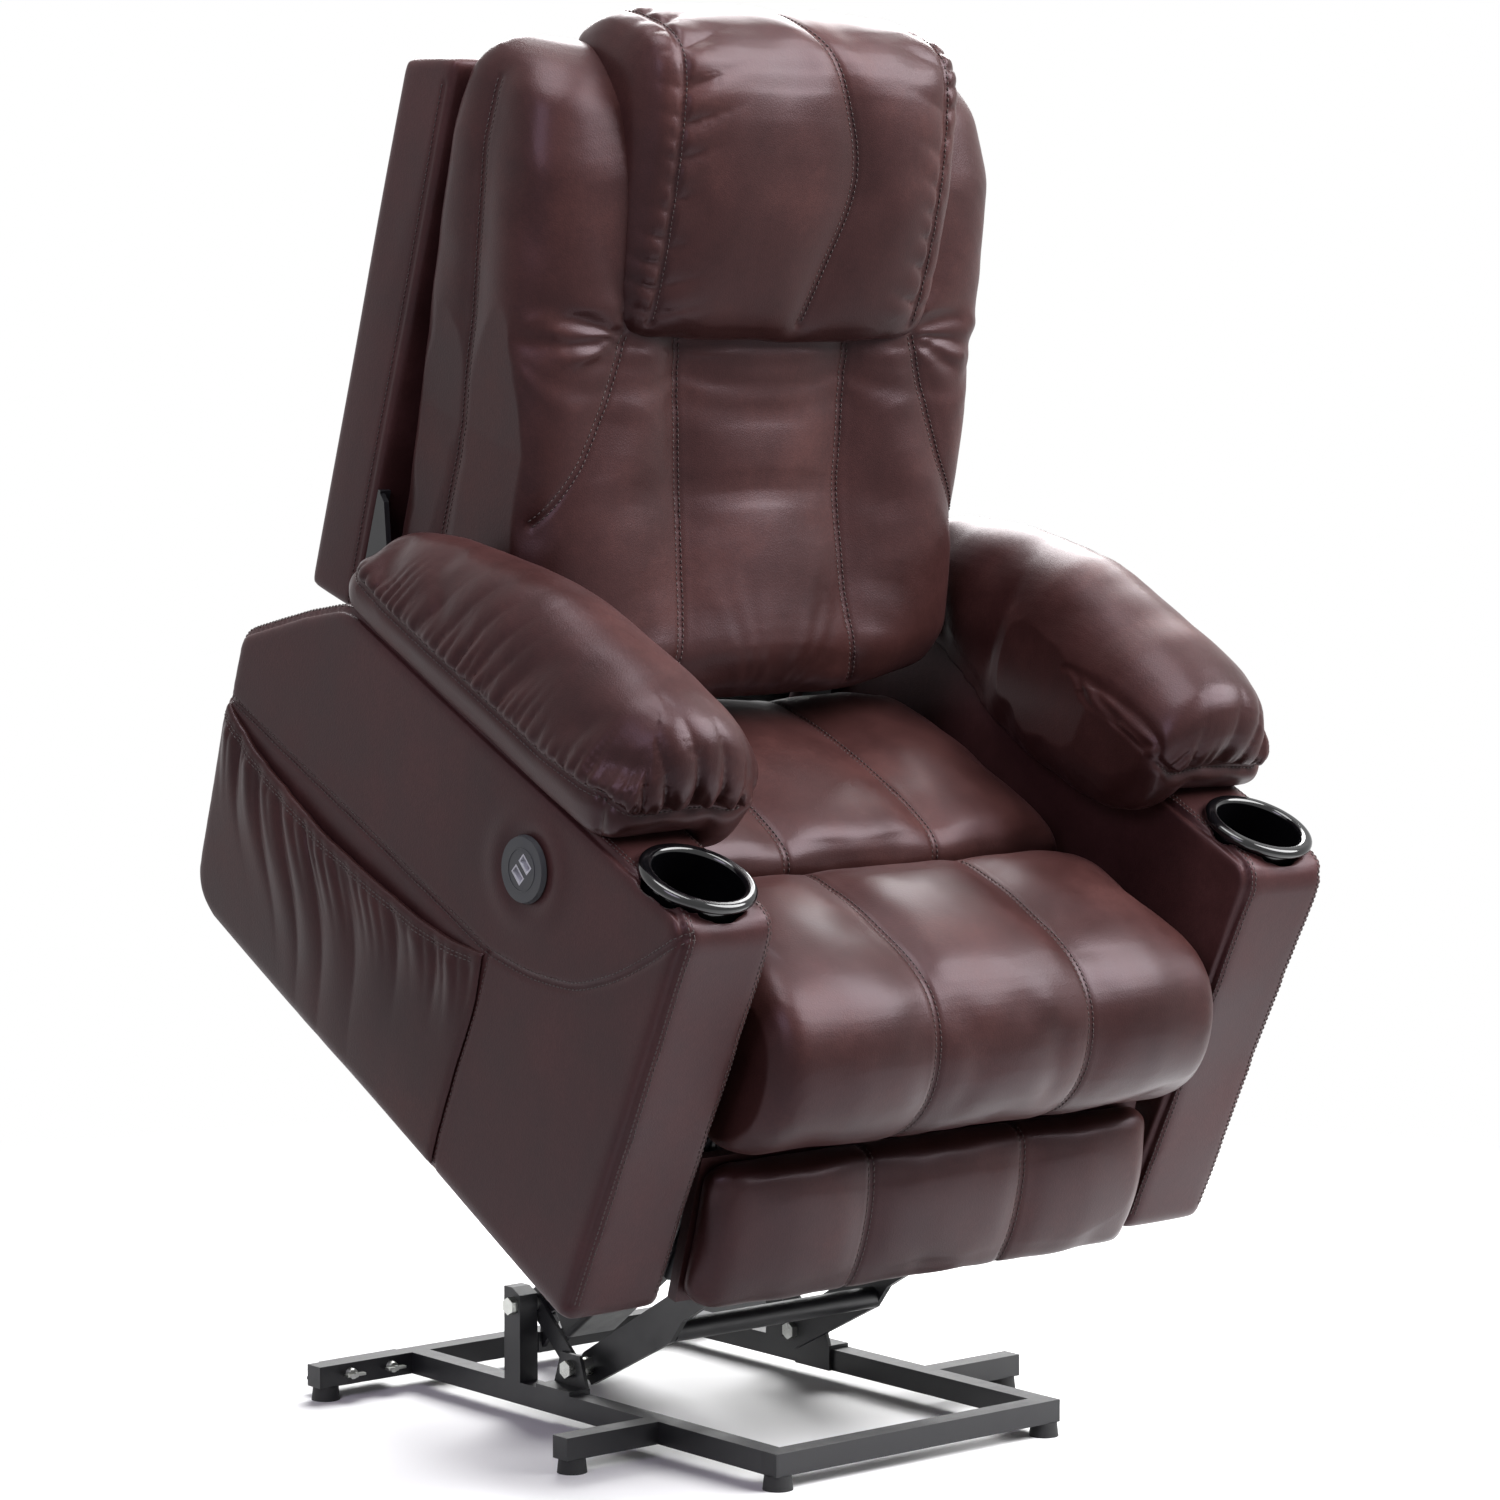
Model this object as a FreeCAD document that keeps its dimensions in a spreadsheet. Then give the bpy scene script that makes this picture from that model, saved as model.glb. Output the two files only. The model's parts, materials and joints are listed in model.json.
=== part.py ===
"""Lift recliner chair: floor base, lift linkage, upholstered chair, reclining back and footrest.

The part frame has +X to the sitter's left, -Y to the front and +Z up. Its origin is on the floor,
below the middle of the chair. The model stands in the lifted pose: the chair is raised and tipped
forward on its linkage, the back is upright and the footrest is folded in.

Everything above the linkage is drawn in the chair frame, where the seat is level: its origin is the
lower front corner of the arms, y runs back and z up. The chair pose tips that frame about X.
"""
import FreeCAD, Part
import Sketcher
import math
import os

VECTOR = FreeCAD.Vector

# Driving dimensions in millimetres and degrees. Names that start with floor_, base_, post_ and lift_
# are in the part frame, the others in the chair frame.
SIZES = {
    # Base frame on the floor
    "foot_height": 14.0,
    "foot_radius": 14.5,
    "base_tube": 22.0,
    "base_wall": 1.8,
    "base_half_width": 181.0,
    "base_front": -246.9,
    "base_rear_bar_front": 333.1,
    "base_rear_half": 295.0,
    "outrigger_front": -70.9,
    "outrigger_half": 291.0,
    "end_cap": 3.0,
    "wing_bolt_outer": 257.0,
    "wing_bolt_inner": 207.0,
    "supply_plate": 3.0,
    # Posts and the two fixed pivots of the lift linkage
    "post_depth": 26.0,
    "post_front": 149.1,
    "post_top": 130.0,
    "arm_pivot_back": 160.1,
    "arm_pivot_up": 112.0,
    "guide_pivot_back": 96.1,
    "guide_pivot_up": 56.0,
    "foot_bracket_length": 54.0,
    "brace_width": 20.0,
    "plate": 4.0,
    "link_plate": 6.0,
    "washer": 2.0,
    "link_half_width": 15.0,
    "cross_tube_radius": 11.0,
    "bolt_radius": 5.0,
    "bolt_clearance": 0.1,
    "nut_radius": 9.0,
    "nut_height": 7.0,
    "guide_play": 2.3,
    # Pose of the chair, lifted and lowered
    "lift_tilt": 28.9,
    "lifted_back": -214.7,
    "lifted_up": 180.6,
    "lowered_back": -275.9,
    "lowered_up": 50.0,
    "arm_link_height": 40.0,
    "guide_link_height": 25.0,
    # Lift motor
    "motor_pivot_back": 314.1,
    "motor_pivot_up": 62.0,
    "motor_pin_radius": 6.0,
    "rod_pin_back": 180.0,
    "rod_pin_up": 138.0,
    "motor_length": 130.0,
    "motor_width": 66.0,
    "motor_depth": 62.0,
    "actuator_radius": 17.0,
    "rod_radius": 10.0,
    "rod_end_gap": 30.0,
    "eye_wall": 3.5,
    "rod_eye_width": 22.0,
    "lift_play": 6.0,
    "recline_play": 8.5,
    "clevis_plate": 5.0,
    # Lift frame under the chair
    "frame_rail_inner": 190.0,
    "frame_rail_width": 25.0,
    "frame_rail_height": 20.0,
    "frame_rail_low": 8.0,
    "frame_rail_front": 60.0,
    "frame_rail_rear": 660.0,
    "frame_cross_front": 70.0,
    "frame_cross_low": 60.0,
    "frame_cross_height": 18.0,
    "frame_notch_floor": 6.0,
    "frame_notch_gap": 3.0,
    "pivot_plate_inner": 160.0,
    # Arms
    "arm_inner": 293.0,
    "arm_outer": 405.0,
    "arm_top_front": 422.0,
    "arm_front_lean": 26.0,
    "arm_top_rear_back": 604.0,
    "arm_top_rear": 399.0,
    "arm_rear_back": 747.0,
    "arm_rear_up": 280.0,
    "arm_bottom_rear": 697.0,
    "arm_corner_radius": 26.0,
    "arm_edge_radius": 14.0,
    "arm_skin": 5.0,
    "arm_board": 15.0,
    # Cup holders
    "cup_centre_x": 352.0,
    "cup_centre_back": 88.0,
    "cup_radius": 42.5,
    "cup_wall": 2.0,
    "cup_depth": 62.0,
    "cup_flange_radius": 55.0,
    "cup_flange": 10.0,
    "cup_flange_round": 4.8,
    # Side pockets
    "pocket_front_low": 219.0,
    "pocket_front_high": 265.0,
    "pocket_mouth": 222.0,
    "pocket_sag": 28.0,
    "pocket_gap": 10.0,
    "pocket_skin": 4.0,
    # Charging plate
    "usb_back": 245.0,
    "usb_up": 334.0,
    "usb_radius": 31.5,
    "usb_thickness": 5.0,
    "usb_socket_long": 14.0,
    "usb_socket_short": 6.8,
    "usb_socket_wall": 1.6,
    "usb_socket_depth": 9.0,
    "usb_pitch": 15.0,
    "usb_tilt": 18.0,
    # Seat
    "seat_rail_width": 28.0,
    "seat_rail_low": 112.0,
    "seat_rail_top": 160.0,
    "seat_rail_front": 62.0,
    "seat_rail_rear": 690.0,
    "cross_rail_front": 134.0,
    "cross_rail_depth": 24.0,
    "cross_rail_height": 25.0,
    "cross_rail_rear": 570.0,
    "spring_radius": 1.8,
    "spring_swing": 13.0,
    "spring_waves": 14.0,
    "seat_half_width": 276.0,
    "seat_front": 224.0,
    "seat_rear": 546.0,
    "seat_top": 324.0,
    "seat_crown": 13.0,
    "seam_offset": 96.0,
    "roll_front": -46.0,
    "roll_low": 160.0,
    "roll_top": 338.0,
    # Back
    "back_foot_back": 722.0,
    "back_foot_up": 308.0,
    "back_lean": 10.7,
    "back_half_width": 290.0,
    "back_height": 539.0,
    "back_depth": 85.0,
    "back_skin": 4.0,
    "back_post": 38.0,
    "back_rail": 40.0,
    "back_cushion_half": 276.0,
    "hinge_back": 640.0,
    "hinge_up": 250.0,
    "hinge_plate": 6.0,
    "hinge_pin_radius": 6.0,
    # Headrest
    "headrest_half": 188.0,
    # Control box
    "box_inner": 90.0,
    "box_length": 120.0,
    "box_depth": 55.0,
    "box_height": 40.0,
    # Footrest
    "footrest_half_link": 70.0,
    "footrest_folded": 82.0,
    "footrest_rise": 5.0,
    "footrest_foot_back": 30.0,
    "footrest_foot_up": 4.0,
    "footrest_link_inner": 240.0,
    "footrest_link_half": 8.5,
    "footrest_plate": 4.0,
    "footrest_pin": 4.0,
    "footrest_board_half": 276.0,
    "footrest_board": 12.0,
    "footrest_board_offset": 15.0,
    "footrest_pad": 46.0,
    "footrest_crank": 100.0,
    "footrest_crank_lead": 60.0,
    "footrest_swing": 67.0,
    "drive_tube_radius": 10.0,
    "recline_motor_x": -95.0,
    "recline_pivot_back": 540.0,
    "recline_pivot_up": 135.0,
    "axial_gap": 0.3,
}


class Size:
    """A number together with the expression that gives it in the document."""

    def __init__(self, value, text):
        self.value = float(value)
        self.text = text

    def _join(self, other, sign, value):
        return Size(value, f"({self.text} {sign} {as_size(other).text})")

    def __add__(self, other):
        return self._join(other, "+", self.value + as_size(other).value)

    def __radd__(self, other):
        return as_size(other) + self

    def __sub__(self, other):
        return self._join(other, "-", self.value - as_size(other).value)

    def __rsub__(self, other):
        return as_size(other) - self

    def __mul__(self, other):
        return self._join(other, "*", self.value * as_size(other).value)

    def __rmul__(self, other):
        return as_size(other) * self

    def __truediv__(self, other):
        return self._join(other, "/", self.value / as_size(other).value)

    def __neg__(self):
        return Size(-self.value, f"(0 - {self.text})")


def as_size(number):
    """Return number itself if it is a Size, else a Size that holds it."""
    if isinstance(number, Size):
        return number
    return Size(number, f"({float(number):.6f})")


class Sheet:
    """The spreadsheet of the document: each named size is read as an attribute."""

    def __init__(self, document):
        self._cells = document.addObject("Spreadsheet::Sheet", "Sizes")
        self._sizes = {}

    def add(self, name, value):
        row = len(self._sizes) + 1
        self._cells.set(f"A{row}", name)
        self._cells.set(f"B{row}", f"{value:.6f}")
        self._cells.setAlias(f"B{row}", name)
        self._sizes[name] = Size(value, f"Sizes.{name}")
        return self._sizes[name]

    def __getattr__(self, name):
        return self._sizes[name]


doc = FreeCAD.newDocument("lift_recliner")
S = Sheet(doc)
for size_name, size_value in SIZES.items():
    S.add(size_name, size_value)


def turned(back, up, degrees):
    """Return the point (back, up) turned about X by degrees, as plain numbers."""
    angle = math.radians(degrees)
    return (
        back * math.cos(angle) - up * math.sin(angle),
        back * math.sin(angle) + up * math.cos(angle),
    )


def lifted(back, up):
    """Take a point of the chair frame to the part frame in the lifted pose."""
    y, z = turned(back, up, S.lift_tilt.value)
    return S.lifted_back.value + y, S.lifted_up.value + z


def equal_reach(ground_back, ground_up, height):
    """Return how far back a pivot at this height is as far from the ground pivot in both poses."""
    low = (S.lowered_back.value - ground_back, S.lowered_up.value - ground_up)
    high = (S.lifted_back.value - ground_back, S.lifted_up.value - ground_up)
    high_local = turned(high[0], high[1], -S.lift_tilt.value)
    difference = (low[0] - high_local[0], low[1] - high_local[1])
    reach = (high[0] ** 2 + high[1] ** 2 - low[0] ** 2 - low[1] ** 2) / 2.0
    return (reach - difference[1] * height) / difference[0]


def span(start, end):
    """Return the length and the angle about X, in degrees, from one point to another."""
    back = end[0] - start[0]
    up = end[1] - start[1]
    return math.hypot(back, up), math.degrees(math.atan2(up, back))


# Pivots of the lift linkage on the chair, from the two poses
ARM_GROUND = (S.arm_pivot_back.value, S.arm_pivot_up.value)
GUIDE_GROUND = (S.guide_pivot_back.value, S.guide_pivot_up.value)
S.add("arm_link_back", equal_reach(*ARM_GROUND, S.arm_link_height.value))
S.add("guide_link_back", equal_reach(*GUIDE_GROUND, S.guide_link_height.value))
ARM_TIP = lifted(S.arm_link_back.value, S.arm_link_height.value)
GUIDE_TIP = lifted(S.guide_link_back.value, S.guide_link_height.value)
arm_length, arm_angle = span(ARM_GROUND, ARM_TIP)
guide_length, guide_angle = span(GUIDE_GROUND, GUIDE_TIP)
S.add("lift_arm_length", arm_length)
S.add("lift_arm_angle", arm_angle)
S.add("guide_length", guide_length)
S.add("guide_angle", guide_angle)

# Lift motor, from its pin on the base to its pin on the chair
MOTOR_GROUND = (S.motor_pivot_back.value, S.motor_pivot_up.value)
ROD_TIP = lifted(S.rod_pin_back.value, S.rod_pin_up.value)
motor_reach, motor_angle = span(MOTOR_GROUND, ROD_TIP)
S.add("motor_reach", motor_reach)
S.add("motor_angle", motor_angle)

# Footrest linkage folded in: equal crossed links, their axis rising a little to the front
FOLD = math.radians(S.footrest_folded.value)
RISE = math.radians(S.footrest_rise.value)
AHEAD = (-math.cos(RISE), math.sin(RISE))
ACROSS = (math.sin(RISE), math.cos(RISE))


def tongs(along, over):
    """Return a point of the crossed links, in half links along their axis and across it."""
    half = S.footrest_half_link.value
    a = along * half * math.cos(FOLD)
    b = over * half * math.sin(FOLD)
    return a * AHEAD[0] + b * ACROSS[0], a * AHEAD[1] + b * ACROSS[1]


foot_step = tongs(4, 0)
S.add("rest_pivot_back", S.footrest_foot_back.value - foot_step[0])
S.add("rest_pivot_up", S.footrest_foot_up.value - foot_step[1])
REST_PIVOT = (S.rest_pivot_back.value, S.rest_pivot_up.value)


def rest_point(along, over):
    """Return a pivot of the folded footrest linkage in the chair frame."""
    step = tongs(along, over)
    return REST_PIVOT[0] + step[0], REST_PIVOT[1] + step[1]


CRANK = math.radians(S.footrest_crank_lead.value)
S.add("crank_back", REST_PIVOT[0] + S.footrest_crank.value * math.cos(CRANK))
S.add("crank_up", REST_PIVOT[1] + S.footrest_crank.value * math.sin(CRANK))
recline_reach, recline_angle = span(
    (S.recline_pivot_back.value, S.recline_pivot_up.value),
    (S.crank_back.value, S.crank_up.value),
)
S.add("recline_reach", recline_reach)
S.add("recline_angle", recline_angle)
doc.recompute()


def bind(thing, prop, size):
    """Tie one property of an object to the expression of a size."""
    thing.setExpression(prop, as_size(size).text)


def move(thing, x, y, z):
    """Tie the place of an object to three sizes."""
    for axis, size in zip("xyz", (x, y, z)):
        bind(thing, f"Placement.Base.{axis}", size)
    return thing


def block(name, low, extent):
    """Return a box from its low corner and its extent along x, y and z."""
    box = doc.addObject("Part::Box", name)
    for prop, size in zip(("Length", "Width", "Height"), extent):
        bind(box, prop, size)
    return move(box, *low)


AXIS_TURNS = {
    "x": FreeCAD.Rotation(VECTOR(0, 1, 0), 90),
    "y": FreeCAD.Rotation(VECTOR(1, 0, 0), -90),
    "z": FreeCAD.Rotation(),
}


def rod(name, axis, start, radius, length):
    """Return a cylinder along an axis from its start point."""
    cylinder = doc.addObject("Part::Cylinder", name)
    cylinder.Placement = FreeCAD.Placement(VECTOR(), AXIS_TURNS[axis])
    bind(cylinder, "Radius", radius)
    bind(cylinder, "Height", length)
    return move(cylinder, *start)


def cone(name, axis, start, radius, end_radius, length):
    """Return a cone frustum along an axis from its start point."""
    frustum = doc.addObject("Part::Cone", name)
    frustum.Placement = FreeCAD.Placement(VECTOR(), AXIS_TURNS[axis])
    bind(frustum, "Radius1", radius)
    bind(frustum, "Radius2", end_radius)
    bind(frustum, "Height", length)
    return move(frustum, *start)


def fused(name, pieces):
    """Return the union of several shapes."""
    union = doc.addObject("Part::MultiFuse", name)
    union.Shapes = list(pieces)
    union.Refine = True
    return union


def cut(name, base, tools):
    """Return base with the tools taken out of it."""
    tool = tools[0]
    if len(tools) > 1:
        tool = fused(name + "_tools", tools)
    difference = doc.addObject("Part::Cut", name)
    difference.Base = base
    difference.Tool = tool
    return difference


def grouped(name, pieces):
    """Return several shapes as one object with a placement of its own."""
    group = doc.addObject("Part::Compound", name)
    group.Links = list(pieces)
    return group


def tube(name, axis, low, extent, wall):
    """Return a rectangular tube along an axis, open at both ends."""
    outside = block(name + "_outside", low, extent)
    inside_low = []
    inside_extent = []
    for letter, corner, size in zip("xyz", low, extent):
        along = letter == axis
        inside_low.append(as_size(corner) - 1 if along else corner + wall)
        inside_extent.append(as_size(size) + 2 if along else size - wall * 2)
    inside = block(name + "_inside", inside_low, inside_extent)
    return cut(name, outside, [inside])


def origin_plane(body, role):
    """Return one of the origin planes of a body."""
    return [plane for plane in body.Origin.OriginFeatures if plane.Role == role][0]


def hold(sketch, index, position, u, v, name):
    """Fix one sketch point at the distances u and v from the sketch origin."""
    for kind, size in (("DistanceX", u), ("DistanceY", v)):
        size = as_size(size)
        number = sketch.addConstraint(
            Sketcher.Constraint(kind, -1, 1, index, position, size.value)
        )
        label = f"{name}_{kind}"
        sketch.renameConstraint(number, label)
        sketch.setExpression(f"Constraints.{label}", size.text)


def profile(name, plane, points, depth, offset=0.0, holes=(), rounds=()):
    """Return a padded body from a sketched outline with round holes and rounded corners.

    points are the corners (u, v) in turn, holes are (u, v, radius) and rounds are
    (corner number, radius). The pad starts at offset from the origin plane.
    """
    body = doc.addObject("PartDesign::Body", name)
    sketch = body.newObject("Sketcher::SketchObject", name + "_sketch")
    sketch.AttachmentSupport = [(origin_plane(body, plane), "")]
    sketch.MapMode = "FlatFace"
    bind(sketch, ".AttachmentOffset.Base.z", offset)
    corners = [VECTOR(as_size(u).value, as_size(v).value, 0) for u, v in points]
    count = len(corners)
    for i in range(count):
        sketch.addGeometry(Part.LineSegment(corners[i], corners[(i + 1) % count]), False)
    for i in range(count):
        sketch.addConstraint(Sketcher.Constraint("Coincident", i, 2, (i + 1) % count, 1))
    for i, (u, v) in enumerate(points):
        hold(sketch, i, 1, u, v, f"corner{i}")
    for j, (u, v, radius) in enumerate(holes):
        centre = VECTOR(as_size(u).value, as_size(v).value, 0)
        circle = sketch.addGeometry(
            Part.Circle(centre, VECTOR(0, 0, 1), as_size(radius).value), False
        )
        hold(sketch, circle, 3, u, v, f"hole{j}")
        number = sketch.addConstraint(
            Sketcher.Constraint("Radius", circle, as_size(radius).value)
        )
        sketch.renameConstraint(number, f"radius{j}")
        sketch.setExpression(f"Constraints.radius{j}", as_size(radius).text)
    pad = body.newObject("PartDesign::Pad", name + "_pad")
    pad.Profile = sketch
    bind(pad, "Length", depth)
    if not rounds:
        return body
    doc.recompute()
    last = pad
    for number, (corner, radius) in enumerate(rounds):
        point = sketch.Placement.multVec(corners[corner])
        fillet = body.newObject("PartDesign::Fillet", f"{name}_round{number}")
        fillet.Base = (last, [edge_at(last, point, sketch)])
        bind(fillet, "Radius", radius)
        body.Tip = fillet
        last = fillet
        doc.recompute()
    return body


def edge_at(feature, point, sketch):
    """Return the name of the straight edge that leaves the sketch plane at a point."""
    normal = sketch.Placement.Rotation.multVec(VECTOR(0, 0, 1))
    for number, edge in enumerate(feature.Shape.Edges, 1):
        ends = [vertex.Point for vertex in edge.Vertexes]
        if len(ends) < 2:
            continue
        away = [end - point for end in ends if (end - point).Length > 0.01]
        if len(away) == 1 and abs(away[0].normalize() * normal) > 0.999:
            return f"Edge{number}"
    raise ValueError("no edge at the corner")


SUBPARTS = []


def node(name, pieces, pose=None, across=0.0):
    """Group the solids of one sub-part under its name and put them at their pose.

    pose is (y, z, degrees about X) as sizes, or None for the part frame; across is x.
    """
    group = doc.addObject("Part::Compound", name)
    group.Label = name
    group.Links = list(pieces)
    if pose is not None:
        back, up, degrees = pose
        turn = FreeCAD.Rotation(VECTOR(1, 0, 0), 1.0)
        group.Placement = FreeCAD.Placement(VECTOR(), turn)
        bind(group, "Placement.Rotation.Angle", degrees)
        bind(group, "Placement.Base.x", across)
        bind(group, "Placement.Base.y", back)
        bind(group, "Placement.Base.z", up)
    SUBPARTS.append(group)
    return group


CHAIR = (S.lifted_back, S.lifted_up, S.lift_tilt)


def solid_feature(name, shape):
    """Return a document object that holds a shape made here from the sheet's sizes."""
    feature = doc.addObject("Part::Feature", name)
    feature.Shape = shape
    return feature


def sides(function):
    """Call a function for the right side (-1) and the left side (1) and gather its pieces."""
    return [piece for side in (-1, 1) for piece in function(side)]


def from_side(side, inner, width):
    """Return the low x of something that spans inner to inner + width on one side."""
    return as_size(inner) if side > 0 else -(as_size(inner) + width)


def hexagon(name, start, radius, length):
    """Return a six-sided prism along x from its start point, radius across its corners."""
    prism = doc.addObject("Part::Prism", name)
    prism.Polygon = 6
    prism.Placement = FreeCAD.Placement(VECTOR(), AXIS_TURNS["x"])
    bind(prism, "Circumradius", radius)
    bind(prism, "Height", length)
    return move(prism, *start)


def turn_at(thing, back, up, degrees):
    """Place an object drawn along +Y so that it starts at (back, up) and is turned about X."""
    thing.Placement = FreeCAD.Placement(VECTOR(), FreeCAD.Rotation(VECTOR(1, 0, 0), 1.0))
    bind(thing, "Placement.Rotation.Angle", degrees)
    bind(thing, "Placement.Base.y", back)
    bind(thing, "Placement.Base.z", up)
    return thing


def link(name, x, thickness, length, half_width, holes):
    """Return a flat link with round ends, drawn along +Y from the x plane.

    holes are (along, across, radius).
    """
    bar = block(name + "_bar", (x, 0.0, -as_size(half_width)), (thickness, length, half_width * 2))
    start = rod(name + "_start", "x", (x, 0.0, 0.0), half_width, thickness)
    end = rod(name + "_end", "x", (x, length, 0.0), half_width, thickness)
    solid = fused(name + "_solid", [bar, start, end])
    tools = []
    for number, (along, across, radius) in enumerate(holes):
        corner = (as_size(x) - 1, along, across)
        tools.append(rod(f"{name}_hole{number}", "x", corner, radius, as_size(thickness) + 2))
    if not tools:
        return solid
    return cut(name, solid, tools)


def bolt(name, side, inner, outer, back, up, collars=()):
    """Return a bolt along x with a hexagon nut inside and a hexagon head outside.

    collars are (inner, outer, radius) of the spacers on it.
    """
    low = from_side(side, inner, outer - inner)
    pieces = [rod(name + "_shank", "x", (low, back, up), S.bolt_radius, outer - inner)]
    nut = from_side(side, inner - S.nut_height, S.nut_height)
    pieces.append(hexagon(name + "_nut", (nut, back, up), S.nut_radius, S.nut_height))
    head = from_side(side, outer, S.nut_height)
    pieces.append(hexagon(name + "_head", (head, back, up), S.nut_radius, S.nut_height))
    for number, (start, end, radius) in enumerate(collars):
        corner = (from_side(side, start, end - start), back, up)
        pieces.append(rod(f"{name}_collar{number}", "x", corner, radius, end - start))
    return fused(name, pieces)


# Planes of the lift linkage, from the posts inwards
POST_INNER = S.base_half_width - S.base_tube
BRACE_INNER = POST_INNER - S.plate * 2
ARM_LINK_INNER = BRACE_INNER - S.washer - S.link_plate
GUIDE_LINK_INNER = ARM_LINK_INNER - S.link_plate - S.nut_height - S.axial_gap * 4
BASE_TOP = S.foot_height + S.base_tube
PIVOT_HOLE = S.bolt_radius + S.bolt_clearance


def lift_state(travel):
    """Return the turn of the lift arm, the guide and the chair at a share of the lowering."""
    low_tip = (S.lowered_back.value + S.arm_link_back.value, S.lowered_up.value + S.arm_link_height.value)
    low_guide = (
        S.lowered_back.value + S.guide_link_back.value,
        S.lowered_up.value + S.guide_link_height.value,
    )
    arm_swing = (span(ARM_GROUND, low_tip)[1] - arm_angle) % 360.0
    guide_swing = (span(GUIDE_GROUND, low_guide)[1] - guide_angle) % 360.0
    return arm_swing * travel, guide_swing * travel, S.lift_tilt.value * (1.0 - travel)


def chair_point(back, up, travel):
    """Return where a point of the chair is in the part frame at a share of the lowering."""
    arm_swing, _, tilt = lift_state(travel)
    tip = turned(arm_length, 0.0, arm_angle + arm_swing)
    step = turned(back - S.arm_link_back.value, up - S.arm_link_height.value, tilt)
    return ARM_GROUND[0] + tip[0] + step[0], ARM_GROUND[1] + tip[1] + step[1]


def middle_error(ground, reach, angle, point):
    """Return half the miss of a link's far end from its pin at mid travel, in the link's frame."""
    end = turned(reach, 0.0, angle)
    miss = (point[0] - ground[0] - end[0], point[1] - ground[1] - end[1])
    along, across = turned(miss[0], miss[1], -angle)
    return along / 2.0, across / 2.0


ARM_SWING, GUIDE_SWING, _ = lift_state(1.0)
guide_miss = middle_error(
    GUIDE_GROUND,
    guide_length,
    guide_angle + GUIDE_SWING / 2.0,
    chair_point(S.guide_link_back.value, S.guide_link_height.value, 0.5),
)
low_reach, low_motor_angle = span(
    MOTOR_GROUND, chair_point(S.rod_pin_back.value, S.rod_pin_up.value, 1.0)
)
MOTOR_SWING = low_motor_angle - motor_angle
ROD_TRAVEL = low_reach - motor_reach
rod_miss = middle_error(
    MOTOR_GROUND,
    motor_reach + ROD_TRAVEL / 2.0,
    motor_angle + MOTOR_SWING / 2.0,
    chair_point(S.rod_pin_back.value, S.rod_pin_up.value, 0.5),
)
S.add("guide_miss_along", guide_miss[0])
S.add("guide_miss_across", guide_miss[1])
S.add("rod_miss_along", rod_miss[0])
S.add("rod_miss_across", rod_miss[1])
doc.recompute()


def make_base():
    """Make the floor frame: tubes, caps, feet, posts, braces and the supply bracket."""
    size = S.base_tube
    low = S.foot_height
    half = S.base_half_width
    front = S.base_front
    rear = S.base_rear_bar_front
    cap = S.end_cap

    def rail(side):
        corner = (from_side(side, half - size, size), front + size, low)
        return [tube(f"rail{side + 1}", "y", corner, (size, rear - front - size, size), S.base_wall)]

    node("base_rails", sides(rail))
    corner = (cap - half, front, low)
    bar = tube("front_bar", "x", corner, ((half - cap) * 2, size, size), S.base_wall)
    node("base_front_bar", [bar])
    corner = (cap - S.base_rear_half, rear, low)
    bar = tube("rear_bar", "x", corner, ((S.base_rear_half - cap) * 2, size, size), S.base_wall)
    holes = [
        rod(f"rear_bar_hole{i}", "y", (-x, rear - 1, low + size / 2), PIVOT_HOLE / 2 + 1, size + 2)
        for i, x in enumerate((S.wing_bolt_outer, S.wing_bolt_inner))
    ]
    node("base_rear_bar", [cut("rear_bar_drilled", bar, holes)])

    def outrigger(side):
        reach = S.outrigger_half - half - cap
        corner = (from_side(side, half, reach), S.outrigger_front, low)
        return [tube(f"outrigger{side + 1}", "x", corner, (reach, size, size), S.base_wall)]

    node("base_outriggers", sides(outrigger))

    ends = (
        (half, front),
        (S.base_rear_half, rear),
        (S.outrigger_half, S.outrigger_front),
    )

    def caps(side):
        return [
            block(f"cap{side + 1}{i}", (from_side(side, x - cap, cap), y, low), (cap, size, size))
            for i, (x, y) in enumerate(ends)
        ]

    node("base_end_caps", sides(caps))
    foot_spots = (
        (half - size / 2, front + size / 2),
        (S.base_rear_half - S.foot_radius, rear + size / 2),
        (S.outrigger_half - S.foot_radius, S.outrigger_front + size / 2),
    )

    def feet(side):
        return [
            cone(
                f"foot{side + 1}{i}",
                "z",
                (x * side, y, 0.0),
                S.foot_radius,
                S.foot_radius - 1.5,
                S.foot_height,
            )
            for i, (x, y) in enumerate(foot_spots)
        ]

    node("base_feet", sides(feet))
    make_posts()


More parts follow.
